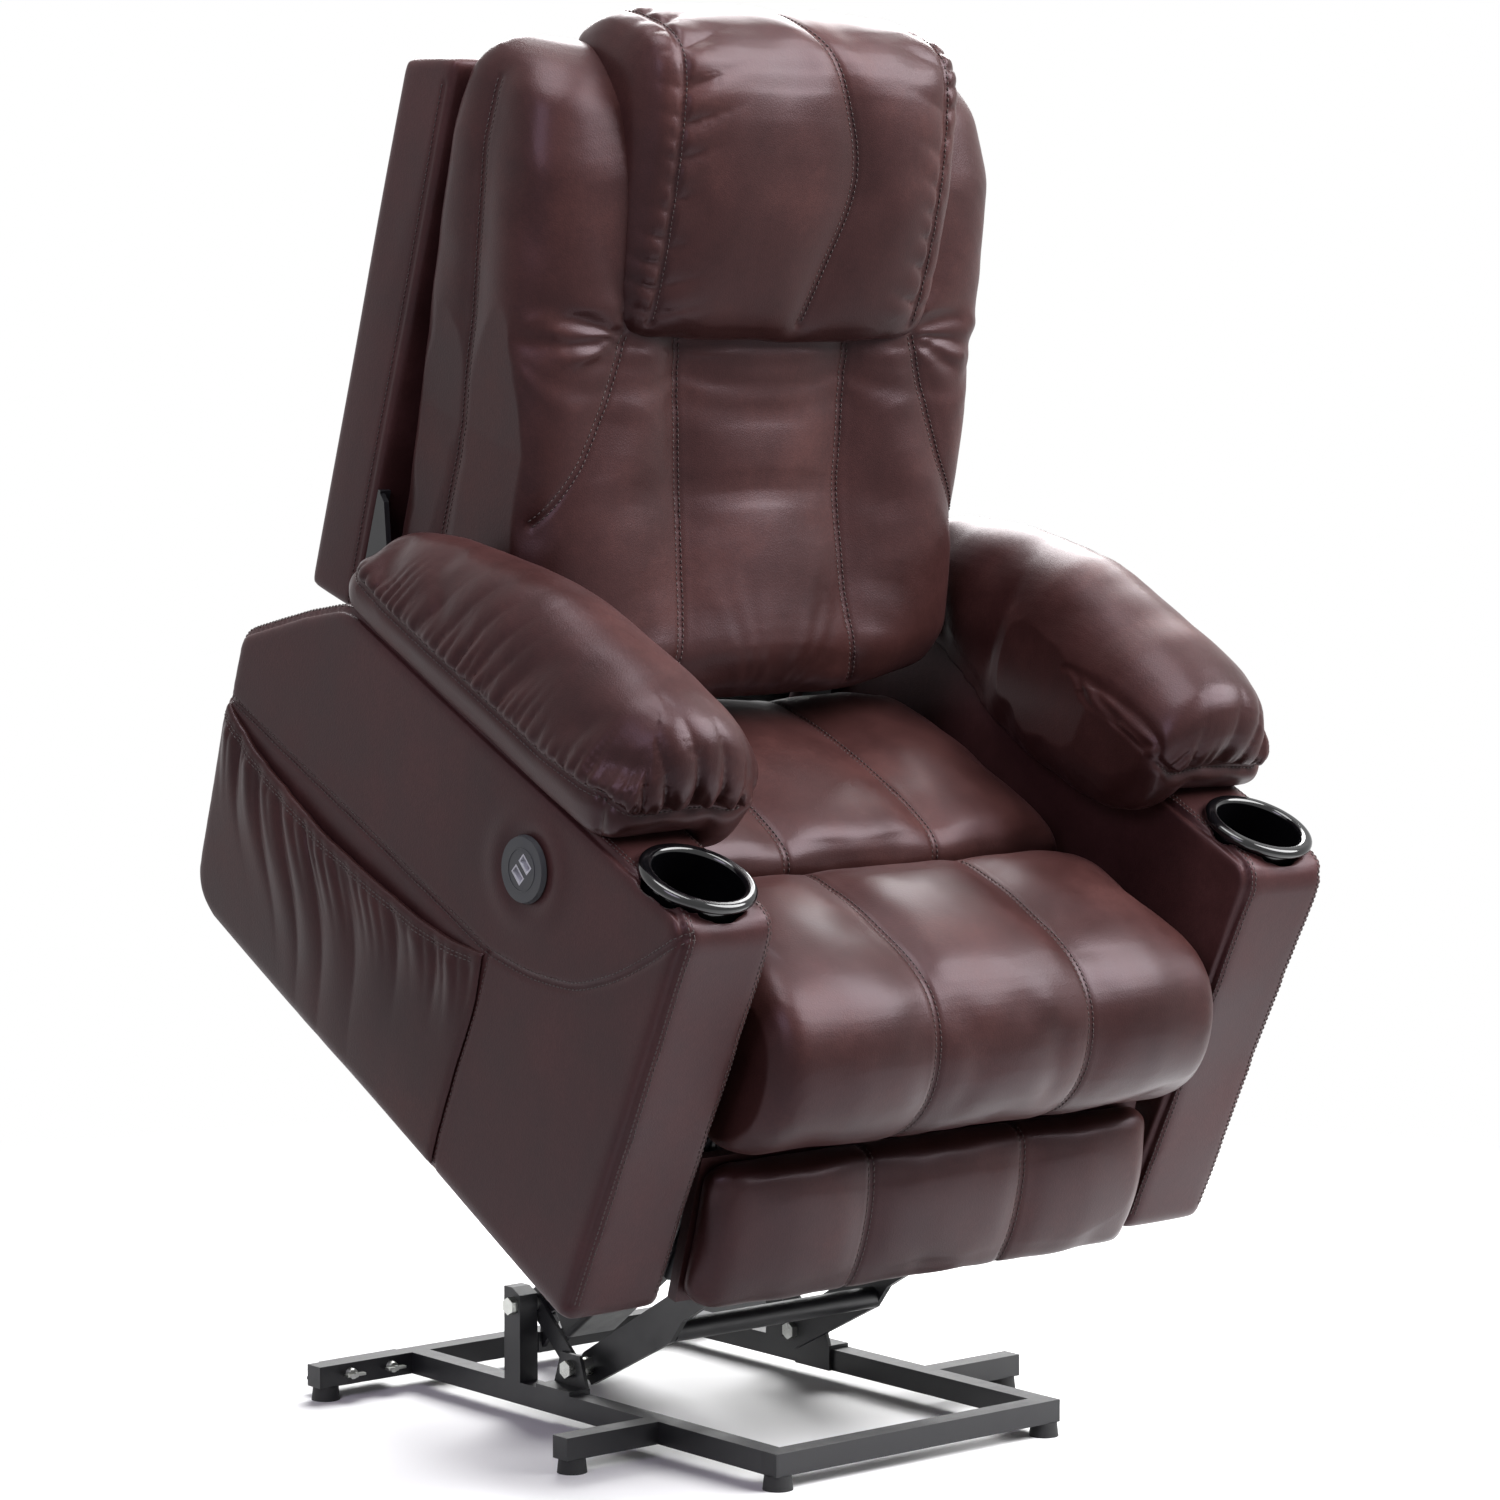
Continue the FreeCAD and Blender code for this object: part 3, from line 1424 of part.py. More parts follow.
def channelled(stations, corners, bulges):
    """Return a cushion lofted along x, the same on both sides.

    stations are (x, rise, inset) from the middle outwards. corners are (y, z, share of the
    inset taken in y, share of the rise taken in z).
    """
    rings = []
    rows = [(-x, rise, inset) for x, rise, inset in reversed(stations[1:])] + list(stations)
    for x, rise, inset in rows:
        points = [(y + inset * ky, z + rise * kz) for y, z, ky, kz in corners]
        rings.append(ring(points, bulges, "x", x))
    return lofted(rings)


def seat_shape():
    """Return the seat cushion: three crowned channels between two seams."""
    half = S.seat_half_width.value
    seam = S.seam_offset.value
    low = S.seat_rail_top.value + S.axial_gap.value
    front = S.seat_front.value
    rear = S.seat_rear.value
    top = S.seat_top.value
    stations = (
        (0.0, 5.0, 0.0),
        (seam, -8.0, 3.0),
        ((half + seam) / 2, 4.0, 0.0),
        (half - 14, -8.0, 3.0),
        (half, -46.0, 12.0),
    )
    corners = (
        (front, low, 0.0, 0.0),
        (rear, low, -1.0, 0.0),
        (rear, top - 34, -1.0, 0.5),
        (rear - 30, top - 6, -1.0, 1.0),
        (front + 6, top + 7, 1.0, 1.0),
    )
    return channelled(stations, corners, (0.0, 0.0, 5.0, S.seat_crown.value, 2.0))


def roll_shape():
    """Return the rolled front of the seat with the same seams."""
    half = S.seat_half_width.value
    seam = S.seam_offset.value
    low = S.roll_low.value + S.axial_gap.value
    top = S.roll_top.value
    front = S.roll_front.value
    stations = (
        (0.0, 3.0, -2.0),
        (seam, -7.0, 5.0),
        ((half + seam) / 2, 3.0, -1.0),
        (half - 16, -7.0, 8.0),
        (half, -42.0, 40.0),
    )
    corners = (
        (4.0, low, 0.6, 0.0),
        (S.seat_front.value - 0.6, low, 0.0, 0.0),
        (S.seat_front.value - 0.6, top - 6, 0.0, 1.0),
        (60.0, top + 5, 0.7, 1.0),
        (front + 4, top - 84, 1.0, 0.4),
    )
    return channelled(stations, corners, (0.0, 0.0, 4.0, 31.0, 14.0))


def make_seat_cushions():
    """Make the seat cushion, the front roll and the cloth behind the seat."""
    node("seat_cushion", [solid_feature("seat_loft", seat_shape())], CHAIR)
    node("front_roll", [solid_feature("roll_loft", roll_shape())], CHAIR)
    half = S.arm_inner - S.axial_gap
    corner = (-half, S.seat_rail_rear, 12.0)
    cloth = block("rear_cloth", corner, (half * 2, 3.0, 213.0))
    node("rear_cover", [cloth], CHAIR)


PAD_STATIONS = (
    # back, foot of the pad, foot of the inner drape, top, inner x, outer x
    (142.0, 470.0, 455.0, 525.0, 275.0, 405.0),
    (150.0, 440.0, 420.0, 542.0, 258.0, 418.0),
    (170.0, 428.0, 390.0, 556.0, 250.0, 425.0),
    (215.0, 404.0, 365.0, 562.0, 248.0, 427.0),
    (310.0, 400.0, 350.0, 560.0, 248.0, 428.0),
    (400.0, 396.0, 348.0, 550.0, 256.0, 428.0),
    (445.0, 394.0, 350.0, 535.0, 279.0, 427.0),
    (550.0, 390.0, 350.0, 505.0, 286.0, 424.0),
    (602.0, 388.0, 366.0, 480.0, 290.0, 414.0),
    (622.0, 420.0, 410.0, 460.0, 304.0, 396.0),
)


def arm_pad_shape():
    """Return the left arm pad, which drapes down the inner side of the arm.

    It reaches a little into the arm, so that the cut along the arm's faces is a clean one.
    """
    rings = []
    face = S.arm_inner.value + S.arm_skin.value
    for back, foot, drape, top, inner, outer in PAD_STATIONS:
        side_height = foot + (top - foot) * 0.36
        shoulder = top - (top - foot) * 0.12
        wide = outer - inner
        wall = max(face, inner + 3.0)
        lip = inner + (wall - inner) * 0.35
        corners = (
            (lip, drape),
            (wall, drape + 1.0),
            (wall, foot),
            (outer - wide * 0.1, foot),
            (outer, side_height),
            (outer - wide * 0.28, shoulder),
            (inner + wide * 0.25, shoulder),
            (inner, side_height),
        )
        bulges = (0.0, 0.0, 0.0, 4.0, 16.0, top - shoulder, 12.0, 2.0)
        share = min(1.0, wide / 120.0)
        rings.append(ring(corners, [b * share for b in bulges], "y", back))
    return lofted(rings)


def make_arm_pads():
    """Make both arm pads, cut to sit on the arms."""
    for side, label in ((-1, "right"), (1, "left")):
        shape = arm_pad_shape()
        if side < 0:
            shape = shape.mirror(VECTOR(), VECTOR(1, 0, 0))
        loft = solid_feature(f"arm_pad_{label}_loft", shape)
        grown = arm_outline(-S.axial_gap)
        width = S.arm_outer - S.arm_inner + 60
        start = from_side(side, S.arm_inner - S.axial_gap, width)
        seat = profile(f"arm_pad_{label}_seat", "YZ_Plane", grown, width, start)
        node(f"arm_pad_{label}", [cut(f"arm_pad_{label}_solid", loft, [seat])], CHAIR)


BACK = chair_pose(S.back_foot_back, S.back_foot_up, -S.back_lean)


def make_back():
    """Make the back: boxed cover, wooden frame, springs, cushion, headrest and hinge plates."""
    half = S.back_half_width
    height = S.back_height
    depth = S.back_depth
    skin = S.back_skin
    outside = block("back_outside", (-half, 0.0, 0.0), (half * 2, depth, height))
    outside = softened("back_soft", outside, 9.0)
    corner = (-half + skin, skin * 1, skin * 1)
    extent = (half * 2 - skin * 2, depth - skin * 2, height - skin * 2)
    inside = block("back_inside", corner, extent)
    node("back_cover", [cut("back_cover_solid", outside, [inside])], BACK)
    post = S.back_post
    rail = S.back_rail
    inner_height = height - skin * 2
    deep = depth - skin * 2

    def back_post(side):
        x = from_side(side, half - skin - post, post)
        return [block(f"back_post{side + 1}", (x, skin * 1, skin * 1), (post, deep, inner_height))]

    pieces = sides(back_post)
    long = (half - skin - post) * 2
    for number, low in enumerate((skin * 1, height / 2 - rail / 2, height - skin - rail)):
        corner = (-long / 2, skin + deep * 0.35, low)
        pieces.append(block(f"back_rail{number}", corner, (long, deep * 0.65, rail)))
    node("back_frame", [fused("back_frame_solid", pieces)], BACK)
    springs = [
        solid_feature(f"back_spring{i}", back_spring(x)) for i, x in enumerate(BACK_SPRINGS)
    ]
    node("back_springs", springs, BACK)
    loft = solid_feature("back_cushion_loft", back_cushion_shape())
    corner = (-half - depth, -S.axial_gap, -depth)
    behind = block("back_cushion_behind", corner, ((half + depth) * 2, depth, height + depth * 3))
    cushion = cut("back_cushion_solid", loft, [behind])
    node("back_cushion", [cushion], BACK)
    pillow = solid_feature("headrest_loft", headrest_shape())
    node("headrest_pillow", [cut("headrest_solid", pillow, [cushion])], BACK)
    make_back_hinge()


def back_spring(x):
    """Return one back spring in front of the rails."""
    radius = S.spring_radius.value
    deep = S.back_depth.value - S.back_skin.value * 2
    y = S.back_skin.value + deep * 0.35 - radius - 0.1
    low = S.back_skin.value + 12
    high = S.back_height.value - S.back_skin.value - 12
    count = int(S.spring_waves.value) + 4
    step = VECTOR(0, 0, (high - low) / count)
    return wave(VECTOR(x, y, low), step, S.spring_swing.value, count, radius)


BACK_STATIONS = (
    # height, middle front, wing front, half width, rear
    (-4.0, -288.0, -232.0, 262.0, -6.0),
    (24.0, -299.0, -262.0, 274.0, 7.5),
    (110.0, -264.0, -270.0, 276.0, 7.5),
    (200.0, -224.0, -258.0, 276.0, 7.5),
    (300.0, -192.0, -244.0, 277.0, 7.5),
    (400.0, -172.0, -220.0, 282.0, 7.5),
    (500.0, -160.0, -186.0, 284.0, 7.5),
    (570.0, -138.0, -134.0, 272.0, -4.0),
    (600.0, -104.0, -86.0, 240.0, -24.0),
)


def back_cushion_shape():
    """Return the back cushion: a middle channel, two side channels and two raised wings."""
    seam = S.seam_offset.value
    rings = []
    for height, middle, wing, half, rear in BACK_STATIONS:
        outer_seam = half * 0.74
        valley = (middle + wing) / 2 + 16
        share = min(1.0, -wing / 200.0)
        corners = (
            (-half, wing + 46 * share),
            (-outer_seam, valley),
            (-seam, middle + 9),
            (seam, middle + 9),
            (outer_seam, valley),
            (half, wing + 46 * share),
            (half, rear),
            (-half, rear),
        )
        bulges = (30.0 * share, 9.0, 9.0, 9.0, 30.0 * share, 0.0, 0.0, 0.0)
        rings.append(ring(corners, bulges, "z", height))
    return lofted(rings)


def headrest_shape():
    """Return the headrest pillow, which hangs over the top of the back cushion."""
    half = S.headrest_half.value
    stations = (
        (0.0, 0.0, 0.0),
        (half * 0.5, -2.0, 1.0),
        (half - 26, -8.0, 5.0),
        (half - 6, -26.0, 20.0),
        (half, -44.0, 38.0),
    )
    corners = (
        (-206.0, 350.0, 0.9, -0.9),
        (-150.0, 340.0, 0.0, -0.9),
        (-40.0, 560.0, -0.3, 0.0),
        (-34.0, 612.0, -0.5, 0.8),
        (-112.0, 656.0, 0.0, 1.0),
        (-178.0, 628.0, 0.8, 0.9),
    )
    return channelled(stations, corners, (4.0, 0.0, 6.0, 12.0, 12.0, 9.0))


def make_back_hinge():
    """Make the hinge of the back: plates on the back, brackets on the seat rails."""
    plate = S.hinge_plate
    inner = S.back_half_width - plate
    back = S.hinge_back
    up = S.hinge_up
    foot_back = S.back_foot_back
    foot_up = S.back_foot_up
    lean_back = sine(S.back_lean)
    lean_up = cosine(S.back_lean)
    low_back = foot_back + lean_back * 18
    low_up = foot_up + lean_up * 18
    high_back = foot_back + lean_back * 130
    high_up = foot_up + lean_up * 130
    outline = (
        (back - 16, up - 10),
        (back + 10, up - 18),
        (low_back, low_up),
        (high_back, high_up),
        (high_back - 14, high_up - 6),
        (back - 12, up + 26),
    )

    def swing_plate(side):
        start = from_side(side, inner, plate)
        web = profile(f"hinge_web{side + 1}", "YZ_Plane", outline, plate, start)
        pin_x = from_side(side, inner - S.axial_gap - plate * 2, plate * 2 + S.axial_gap + 1)
        pin = rod(f"hinge_pin{side + 1}", "x", (pin_x, back, up), S.hinge_pin_radius, plate * 2 + 1.3)
        x = from_side(side, S.back_cushion_half + 1.4, S.back_half_width - S.back_cushion_half - 1.4)
        wide = S.back_half_width - S.back_cushion_half - 1.4
        flange = block(f"hinge_flange{side + 1}", (0.0, -4.0, 18.0), (wide, 4.0, 112.0))
        flange = turn_at(flange, foot_back - 4 * lean_up, foot_up, -S.back_lean)
        bind(flange, "Placement.Base.x", x)
        bind(flange, "Placement.Base.y", foot_back + 18 * lean_back - 4 * lean_up)
        bind(flange, "Placement.Base.z", foot_up + 18 * lean_up + 4 * lean_back)
        return [fused(f"hinge_plate{side + 1}", [web, pin, flange])]

    node("back_hinge_plates", sides(swing_plate), CHAIR)
    bracket = (
        (back - 30, S.seat_rail_top),
        (back + 30, S.seat_rail_top),
        (back + 16, up + 8),
        (back, up + 18),
        (back - 16, up + 8),
    )
    hole = [(back, up, S.hinge_pin_radius + S.bolt_clearance)]

    def fixed_plate(side):
        start = from_side(side, inner - S.axial_gap - plate, plate)
        return [profile(f"hinge_bracket{side + 1}", "YZ_Plane", bracket, plate, start, hole)]

    node("back_hinge_brackets", sides(fixed_plate), CHAIR)


def placed(name, point):
    """Add a point of the chair frame to the sheet and return its two sizes."""
    return S.add(name + "_back", point[0]), S.add(name + "_up", point[1])


JOINT_A = placed("rest_cross_pin", rest_point(1, 1))
JOINT_B = placed("rest_low_pin", rest_point(2, 0))
JOINT_C = placed("rest_outer_pin", rest_point(3, 1))
JOINT_T = placed("rest_top_pin", rest_point(2, 2))
JOINT_S = placed("rest_slide_pin", rest_point(0, 2))
UNFOLDED = S.footrest_folded.value - S.footrest_swing.value


def make_footrest():
    """Make the footrest: crossed links on both sides, board and pad."""
    half = S.footrest_link_half
    plate = S.footrest_plate
    length = S.footrest_half_link * 2
    plane_a = S.footrest_link_inner
    plane_b = plane_a + plate + 2
    plane_c = plane_b + plate + 2
    pin = S.footrest_pin
    hole = pin + S.bolt_clearance
    forward_turn = 180 - S.footrest_rise - S.footrest_folded
    down_turn = 180 - S.footrest_rise + S.footrest_folded
    pivot = (S.rest_pivot_back, S.rest_pivot_up)
    mid = S.footrest_half_link
    crank_turn = S.footrest_crank_lead - forward_turn

    def pin_at(name, side, inner, outer, point):
        x = from_side(side, inner, outer - inner)
        return rod(f"{name}{side + 1}", "x", (x, point[0], point[1]), pin, outer - inner)

    def drive(side):
        x = from_side(side, plane_a, plate)
        bar = link(
            f"drive{side + 1}",
            x,
            plate,
            length,
            half,
            [(0.0, 0.0, hole), (length, 0.0, hole)],
        )
        crank = S.footrest_crank
        tip = (crank * cosine(crank_turn), crank * sine(crank_turn))
        web = (
            (-half * 0.9, -half * 0.5),
            (tip[0] - half * 0.8, tip[1] - half * 0.8),
            (tip[0] + half, tip[1]),
            (mid, half * 0.9),
            (-half * 0.9, half * 0.5),
        )
        ear = profile(f"crank{side + 1}", "YZ_Plane", web, plate, x, [(0.0, 0.0, hole)])
        shape = fused(f"drive_bent{side + 1}", [bar, ear])
        shape = turn_at(shape, *pivot, forward_turn)
        return [fused(f"drive_link{side + 1}", [shape, pin_at("cross_pin", side, plane_a, plane_b + plate, JOINT_A)])]

    tube_start = (-plane_a, S.crank_back, S.crank_up)
    drive_tube = rod("drive_tube", "x", tube_start, S.drive_tube_radius, plane_a * 2)
    node("footrest_drive_links", [fused("drive_solid", sides(drive) + [drive_tube])], CHAIR)

    def cross(side):
        x = from_side(side, plane_b, plate)
        bar = link(f"cross{side + 1}", x, plate, length, half, [(mid, 0.0, hole)])
        bar = turn_at(bar, *JOINT_S, down_turn)
        slide = pin_at("slide_pin", side, plane_b, plane_c + plate, JOINT_S)
        low_pin = pin_at("low_pin", side, plane_a, plane_b, JOINT_B)
        return [fused(f"cross_link{side + 1}", [bar, slide, low_pin])]

    node("footrest_cross_links", sides(cross), CHAIR)

    def outer(side):
        x = from_side(side, plane_a, plate)
        bar = link(f"outer{side + 1}", x, plate, mid, half, [(0.0, 0.0, hole)])
        bar = turn_at(bar, *JOINT_B, forward_turn)
        outer_pin = pin_at("outer_pin", side, plane_a, plane_b + plate, JOINT_C)
        return [fused(f"outer_link{side + 1}", [bar, outer_pin])]

    node("footrest_outer_links", sides(outer), CHAIR)
    offset = S.footrest_board_offset

    def carrier(side):
        x = from_side(side, plane_b, plate)
        bar = link(f"carrier{side + 1}", x, plate, length, half, [(mid, 0.0, hole)])
        foot = block(
            f"carrier_foot{side + 1}", (x, mid + half * 1.6, -offset), (plate, mid - half * 1.6, offset)
        )
        heel = block(f"carrier_heel{side + 1}", (x, 0.0, -offset), (plate, mid - half * 1.6, offset))
        shape = turn_at(fused(f"carrier_bent{side + 1}", [bar, foot, heel]), *JOINT_T, down_turn)
        top_pin = pin_at("top_pin", side, plane_a, plane_b, JOINT_T)
        return [fused(f"carrier_link{side + 1}", [shape, top_pin])]

    node("footrest_carrier_links", sides(carrier), CHAIR)
    board_half = S.footrest_board_half
    thick = S.footrest_board
    panel = block("rest_board", (-board_half, 0.0, -offset - thick), (board_half * 2, length + 4, thick))
    rest_pose = chair_pose(*JOINT_T, down_turn)
    node("footrest_board", [panel], rest_pose)
    node("footrest_pad", [solid_feature("rest_pad_loft", rest_pad_shape())], rest_pose)

    def bracket(side):
        x = from_side(side, plane_c, plate)
        outline = (
            (50.0, -10.0),
            (100.0, -10.0),
            (110.0, 40.0),
            (110.0, S.seat_rail_top - 4),
            (56.0, S.seat_rail_top - 4),
            (50.0, 60.0),
        )
        web = profile(f"rest_bracket{side + 1}", "YZ_Plane", outline, plate, x)
        low = S.footrest_half_link * 2 * sine(S.footrest_folded - S.footrest_swing)
        high = S.footrest_half_link * 2 * sine(S.footrest_folded)
        slot = link(f"slot{side + 1}", x - 1, plate + 2, high - low + 1, pin + S.bolt_clearance, [])
        back = pivot[0] + low * sine(S.footrest_rise)
        up = pivot[1] + low * cosine(S.footrest_rise)
        slot = turn_at(slot, back, up, 90 - S.footrest_rise)
        reach = S.arm_inner - S.seat_rail_width - plane_c - plate
        lug_x = from_side(side, plane_c + plate, reach)
        lug_low = S.seat_rail_low + 8
        lug = block(f"rest_lug{side + 1}", (lug_x, 64.0, lug_low), (reach, 40.0, 32.0))
        pivot_pin = pin_at("rest_pivot_pin", side, plane_a, plane_c, pivot)
        start = from_side(side, plane_a + plate + S.axial_gap, 2 * plate - S.axial_gap)
        collar = rod(f"rest_collar{side + 1}", "x", (start, *pivot), pin * 1.8, plane_c - plane_a - plate - S.axial_gap)
        return [fused(f"rest_mount{side + 1}", [cut(f"rest_web{side + 1}", web, [slot]), lug, pivot_pin, collar])]

    node("footrest_brackets", sides(bracket), CHAIR)


def rest_pad_shape():
    """Return the footrest pad in the frame of its board: y down the board, -z outwards."""
    half = S.footrest_board_half.value
    seam = S.seam_offset.value
    base = -(S.footrest_board_offset.value + S.footrest_board.value + S.axial_gap.value)
    thick = S.footrest_pad.value
    length = S.footrest_half_link.value * 2 + 4
    stations = (
        (0.0, -2.0, 0.0),
        (seam, 7.0, 2.0),
        ((half + seam) / 2, -1.0, 0.0),
        (half - 12, 8.0, 4.0),
        (half, 28.0, 14.0),
    )
    corners = (
        (length - 14, base - thick + 12, -1.0, 0.9),
        (length + 2, base - thick * 0.4, -1.0, 0.2),
        (length - 1, base, -1.0, 0.0),
        (3.0, base, 1.0, 0.0),
        (0.0, base - thick * 0.4, 1.0, 0.2),
        (18.0, base - thick + 10, 1.0, 0.9),
    )
    return channelled(stations, corners, (4.0, 2.0, 0.0, 2.0, 6.0, 9.0))


def make_recline_motor():
    """Make the motor that drives the footrest's cross tube."""
    travel_angle = S.footrest_swing.value
    pivot = (S.recline_pivot_back.value, S.recline_pivot_up.value)

    def tip(share):
        swing = turned(
            S.footrest_crank.value, 0.0, S.footrest_crank_lead.value + travel_angle * share
        )
        return REST_PIVOT[0] + swing[0], REST_PIVOT[1] + swing[1]

    reach_end, angle_end = span(pivot, tip(1.0))
    angle_start = S.recline_angle.value
    swing = (angle_end - angle_start + 180.0) % 360.0 - 180.0
    travel = reach_end - S.recline_reach.value
    middle = middle_error(
        pivot, S.recline_reach.value + travel / 2.0, angle_start + swing / 2.0, tip(0.5)
    )
    miss = (S.add("recline_miss_along", middle[0]), S.add("recline_miss_across", middle[1]))
    doc.recompute()
    hole_radius = S.drive_tube_radius + S.recline_play
    pieces = actuator("recline", S.recline_reach, as_size(0.0), miss, hole_radius)
    pose = chair_pose(S.recline_pivot_back, S.recline_pivot_up, S.recline_angle)
    names = ("recline_motor", "recline_motor_tube", "recline_motor_rod")
    for name, piece in zip(names, pieces):
        node(name, [piece], pose, S.recline_motor_x)
    return swing, travel, middle


make_lift_frame()
make_arms()
make_seat_frame()
make_seat_cushions()
make_arm_pads()
make_back()
make_footrest()
RECLINE_MOTION = make_recline_motor()


def print_motion():
    """Print where the joints are in the part frame, in millimetres, and how far they go."""
    tilt = S.lift_tilt.value
    rest_arm, rest_guide, _ = lift_state(1.0)
    swing, travel, miss = RECLINE_MOTION
    points = {
        "arm_ground": ARM_GROUND,
        "guide_ground": GUIDE_GROUND,
        "arm_tip": ARM_TIP,
        "motor_ground": MOTOR_GROUND,
        "back_hinge": lifted(S.hinge_back.value, S.hinge_up.value),
        "rest_pivot": lifted(*REST_PIVOT),
        "rest_cross": lifted(*rest_point(1, 1)),
        "rest_low": lifted(*rest_point(2, 0)),
        "rest_outer": lifted(*rest_point(3, 1)),
        "recline_anchor": lifted(S.recline_pivot_back.value, S.recline_pivot_up.value),
        "cup": lifted(S.cup_centre_back.value, S.cup_up.value),
    }
    for name, point in points.items():
        print(f"point {name} {point[0]:.6f} {point[1]:.6f}")
    numbers = {
        "arm_swing": rest_arm,
        "guide_swing": rest_guide,
        "chair_swing": -tilt - rest_arm,
        "motor_swing": MOTOR_SWING,
        "motor_angle": motor_angle,
        "rod_travel": ROD_TRAVEL,
        "rod_miss": math.hypot(*rod_miss),
        "guide_miss": math.hypot(*guide_miss),
        "recline_swing": swing,
        "recline_angle": S.recline_angle.value + tilt,
        "recline_travel": travel,
        "recline_miss": math.hypot(*miss),
        "cup_angle": S.arm_slope.value + tilt,
        "rest_swing": S.footrest_swing.value,
    }
    for name, number in numbers.items():
        print(f"number {name} {number:.6f}")


def write_parts():
    """Check every object and write each sub-part to its file."""
    doc.recompute()
    for thing in doc.Objects:
        if "Invalid" in thing.State or "Error" in thing.State:
            raise ValueError(f"{thing.Name} failed: {thing.State}")
    for part in SUBPARTS:
        shape = part.Shape
        if shape.isNull() or not shape.isValid() or not shape.Solids:
            raise ValueError(f"{part.Label} has no valid shape")
    os.makedirs("parts", exist_ok=True)
    for part in SUBPARTS:
        part.Shape.exportStep(os.path.join("parts", part.Label + ".step"))
        print(f"{part.Label}: {len(part.Shape.Solids)} solids, {part.Shape.Volume / 1000.0:.1f} cm3")


write_parts()
print_motion()
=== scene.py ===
"""Dress the lift recliner chair: leather upholstery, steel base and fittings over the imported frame.

Lengths are in millimetres until a piece is placed, when they become metres in the part frame.
"""

import json
import logging
import math
from dataclasses import dataclass, field
from enum import Enum
from typing import Callable, Sequence

import bmesh
import bpy
import numpy as np
from mathutils import Matrix, Vector
from mathutils.bvhtree import BVHTree
from mathutils.kdtree import KDTree

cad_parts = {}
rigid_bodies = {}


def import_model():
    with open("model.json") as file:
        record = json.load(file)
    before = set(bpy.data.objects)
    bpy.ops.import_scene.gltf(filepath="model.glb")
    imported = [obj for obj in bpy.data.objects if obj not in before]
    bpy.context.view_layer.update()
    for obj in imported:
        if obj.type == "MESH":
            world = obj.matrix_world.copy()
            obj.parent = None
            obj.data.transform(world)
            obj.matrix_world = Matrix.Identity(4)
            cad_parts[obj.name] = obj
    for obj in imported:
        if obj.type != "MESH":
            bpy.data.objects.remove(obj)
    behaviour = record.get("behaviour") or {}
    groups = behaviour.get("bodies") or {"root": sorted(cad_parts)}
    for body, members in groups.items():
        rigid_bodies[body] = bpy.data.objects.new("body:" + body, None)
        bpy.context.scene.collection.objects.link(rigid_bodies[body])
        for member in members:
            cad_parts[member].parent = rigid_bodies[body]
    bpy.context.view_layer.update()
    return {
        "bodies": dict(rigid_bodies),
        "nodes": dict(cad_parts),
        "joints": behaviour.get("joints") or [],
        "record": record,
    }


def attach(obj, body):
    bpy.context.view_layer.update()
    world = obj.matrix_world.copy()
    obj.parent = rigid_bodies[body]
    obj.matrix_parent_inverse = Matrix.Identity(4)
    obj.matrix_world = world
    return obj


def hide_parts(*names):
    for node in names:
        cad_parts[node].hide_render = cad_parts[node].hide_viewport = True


LOG = logging.getLogger("lift_recliner")
MM = 0.001

Point2 = tuple[float, float]
Point3 = tuple[float, float, float]


@dataclass(frozen=True)
class Place:
    """A frame of the chair: its origin in the part frame and its turn about X."""

    back: float
    up: float
    degrees: float

    def child(self, back: float, up: float, degrees: float) -> "Place":
        """Return a frame that starts at (back, up) in this one and is turned further."""
        y, z = self._turned(back, up)
        return Place(self.back + y, self.up + z, self.degrees + degrees)

    def _turned(self, back: float, up: float) -> Point2:
        """Return (back, up) turned by this frame's angle."""
        angle = math.radians(self.degrees)
        return (
            back * math.cos(angle) - up * math.sin(angle),
            back * math.sin(angle) + up * math.cos(angle),
        )

    def matrix(self) -> Matrix:
        """Return the matrix from millimetres here to metres in the part frame."""
        shift = Matrix.Translation((0.0, self.back * MM, self.up * MM))
        return shift @ Matrix.Rotation(math.radians(self.degrees), 4, "X") @ Matrix.Scale(MM, 4)


# the chair is raised and tilted forward, as photographed, and carries the back and the footrest
CHAIR = Place(-214.7, 180.6, 28.9)
BACK = CHAIR.child(722.0, 308.0, -10.7)
REST = CHAIR.child(61.49, 140.41, 257.0)


def deselect() -> None:
    """Deselect every object."""
    for item in bpy.context.selected_objects:
        item.select_set(False)


def activate(piece: bpy.types.Object) -> None:
    """Select one object alone and make it active."""
    deselect()
    piece.select_set(True)
    bpy.context.view_layer.objects.active = piece


def mesh_piece(name: str, points: np.ndarray, faces: Sequence[Sequence[int]]) -> bpy.types.Object:
    """Make a mesh object from points and faces.

    Args:
        name: the object's name.
        points: an array of vertices.
        faces: vertex numbers of each face.

    Returns:
        The new object, linked to the scene.
    """
    mesh = bpy.data.meshes.new(name)
    mesh.from_pydata([tuple(p) for p in points], [], [tuple(f) for f in faces])
    mesh.validate()
    piece = bpy.data.objects.new(name, mesh)
    bpy.context.scene.collection.objects.link(piece)
    return piece


def read_points(piece: bpy.types.Object) -> np.ndarray:
    """Return the vertices of a mesh object as an array."""
    data = np.empty(len(piece.data.vertices) * 3, dtype=np.float64)
    piece.data.vertices.foreach_get("co", data)
    return data.reshape(-1, 3)


def write_points(piece: bpy.types.Object, points: np.ndarray) -> None:
    """Write an array back into the vertices of a mesh object."""
    piece.data.vertices.foreach_set("co", points.reshape(-1).astype(np.float32))
    piece.data.update()


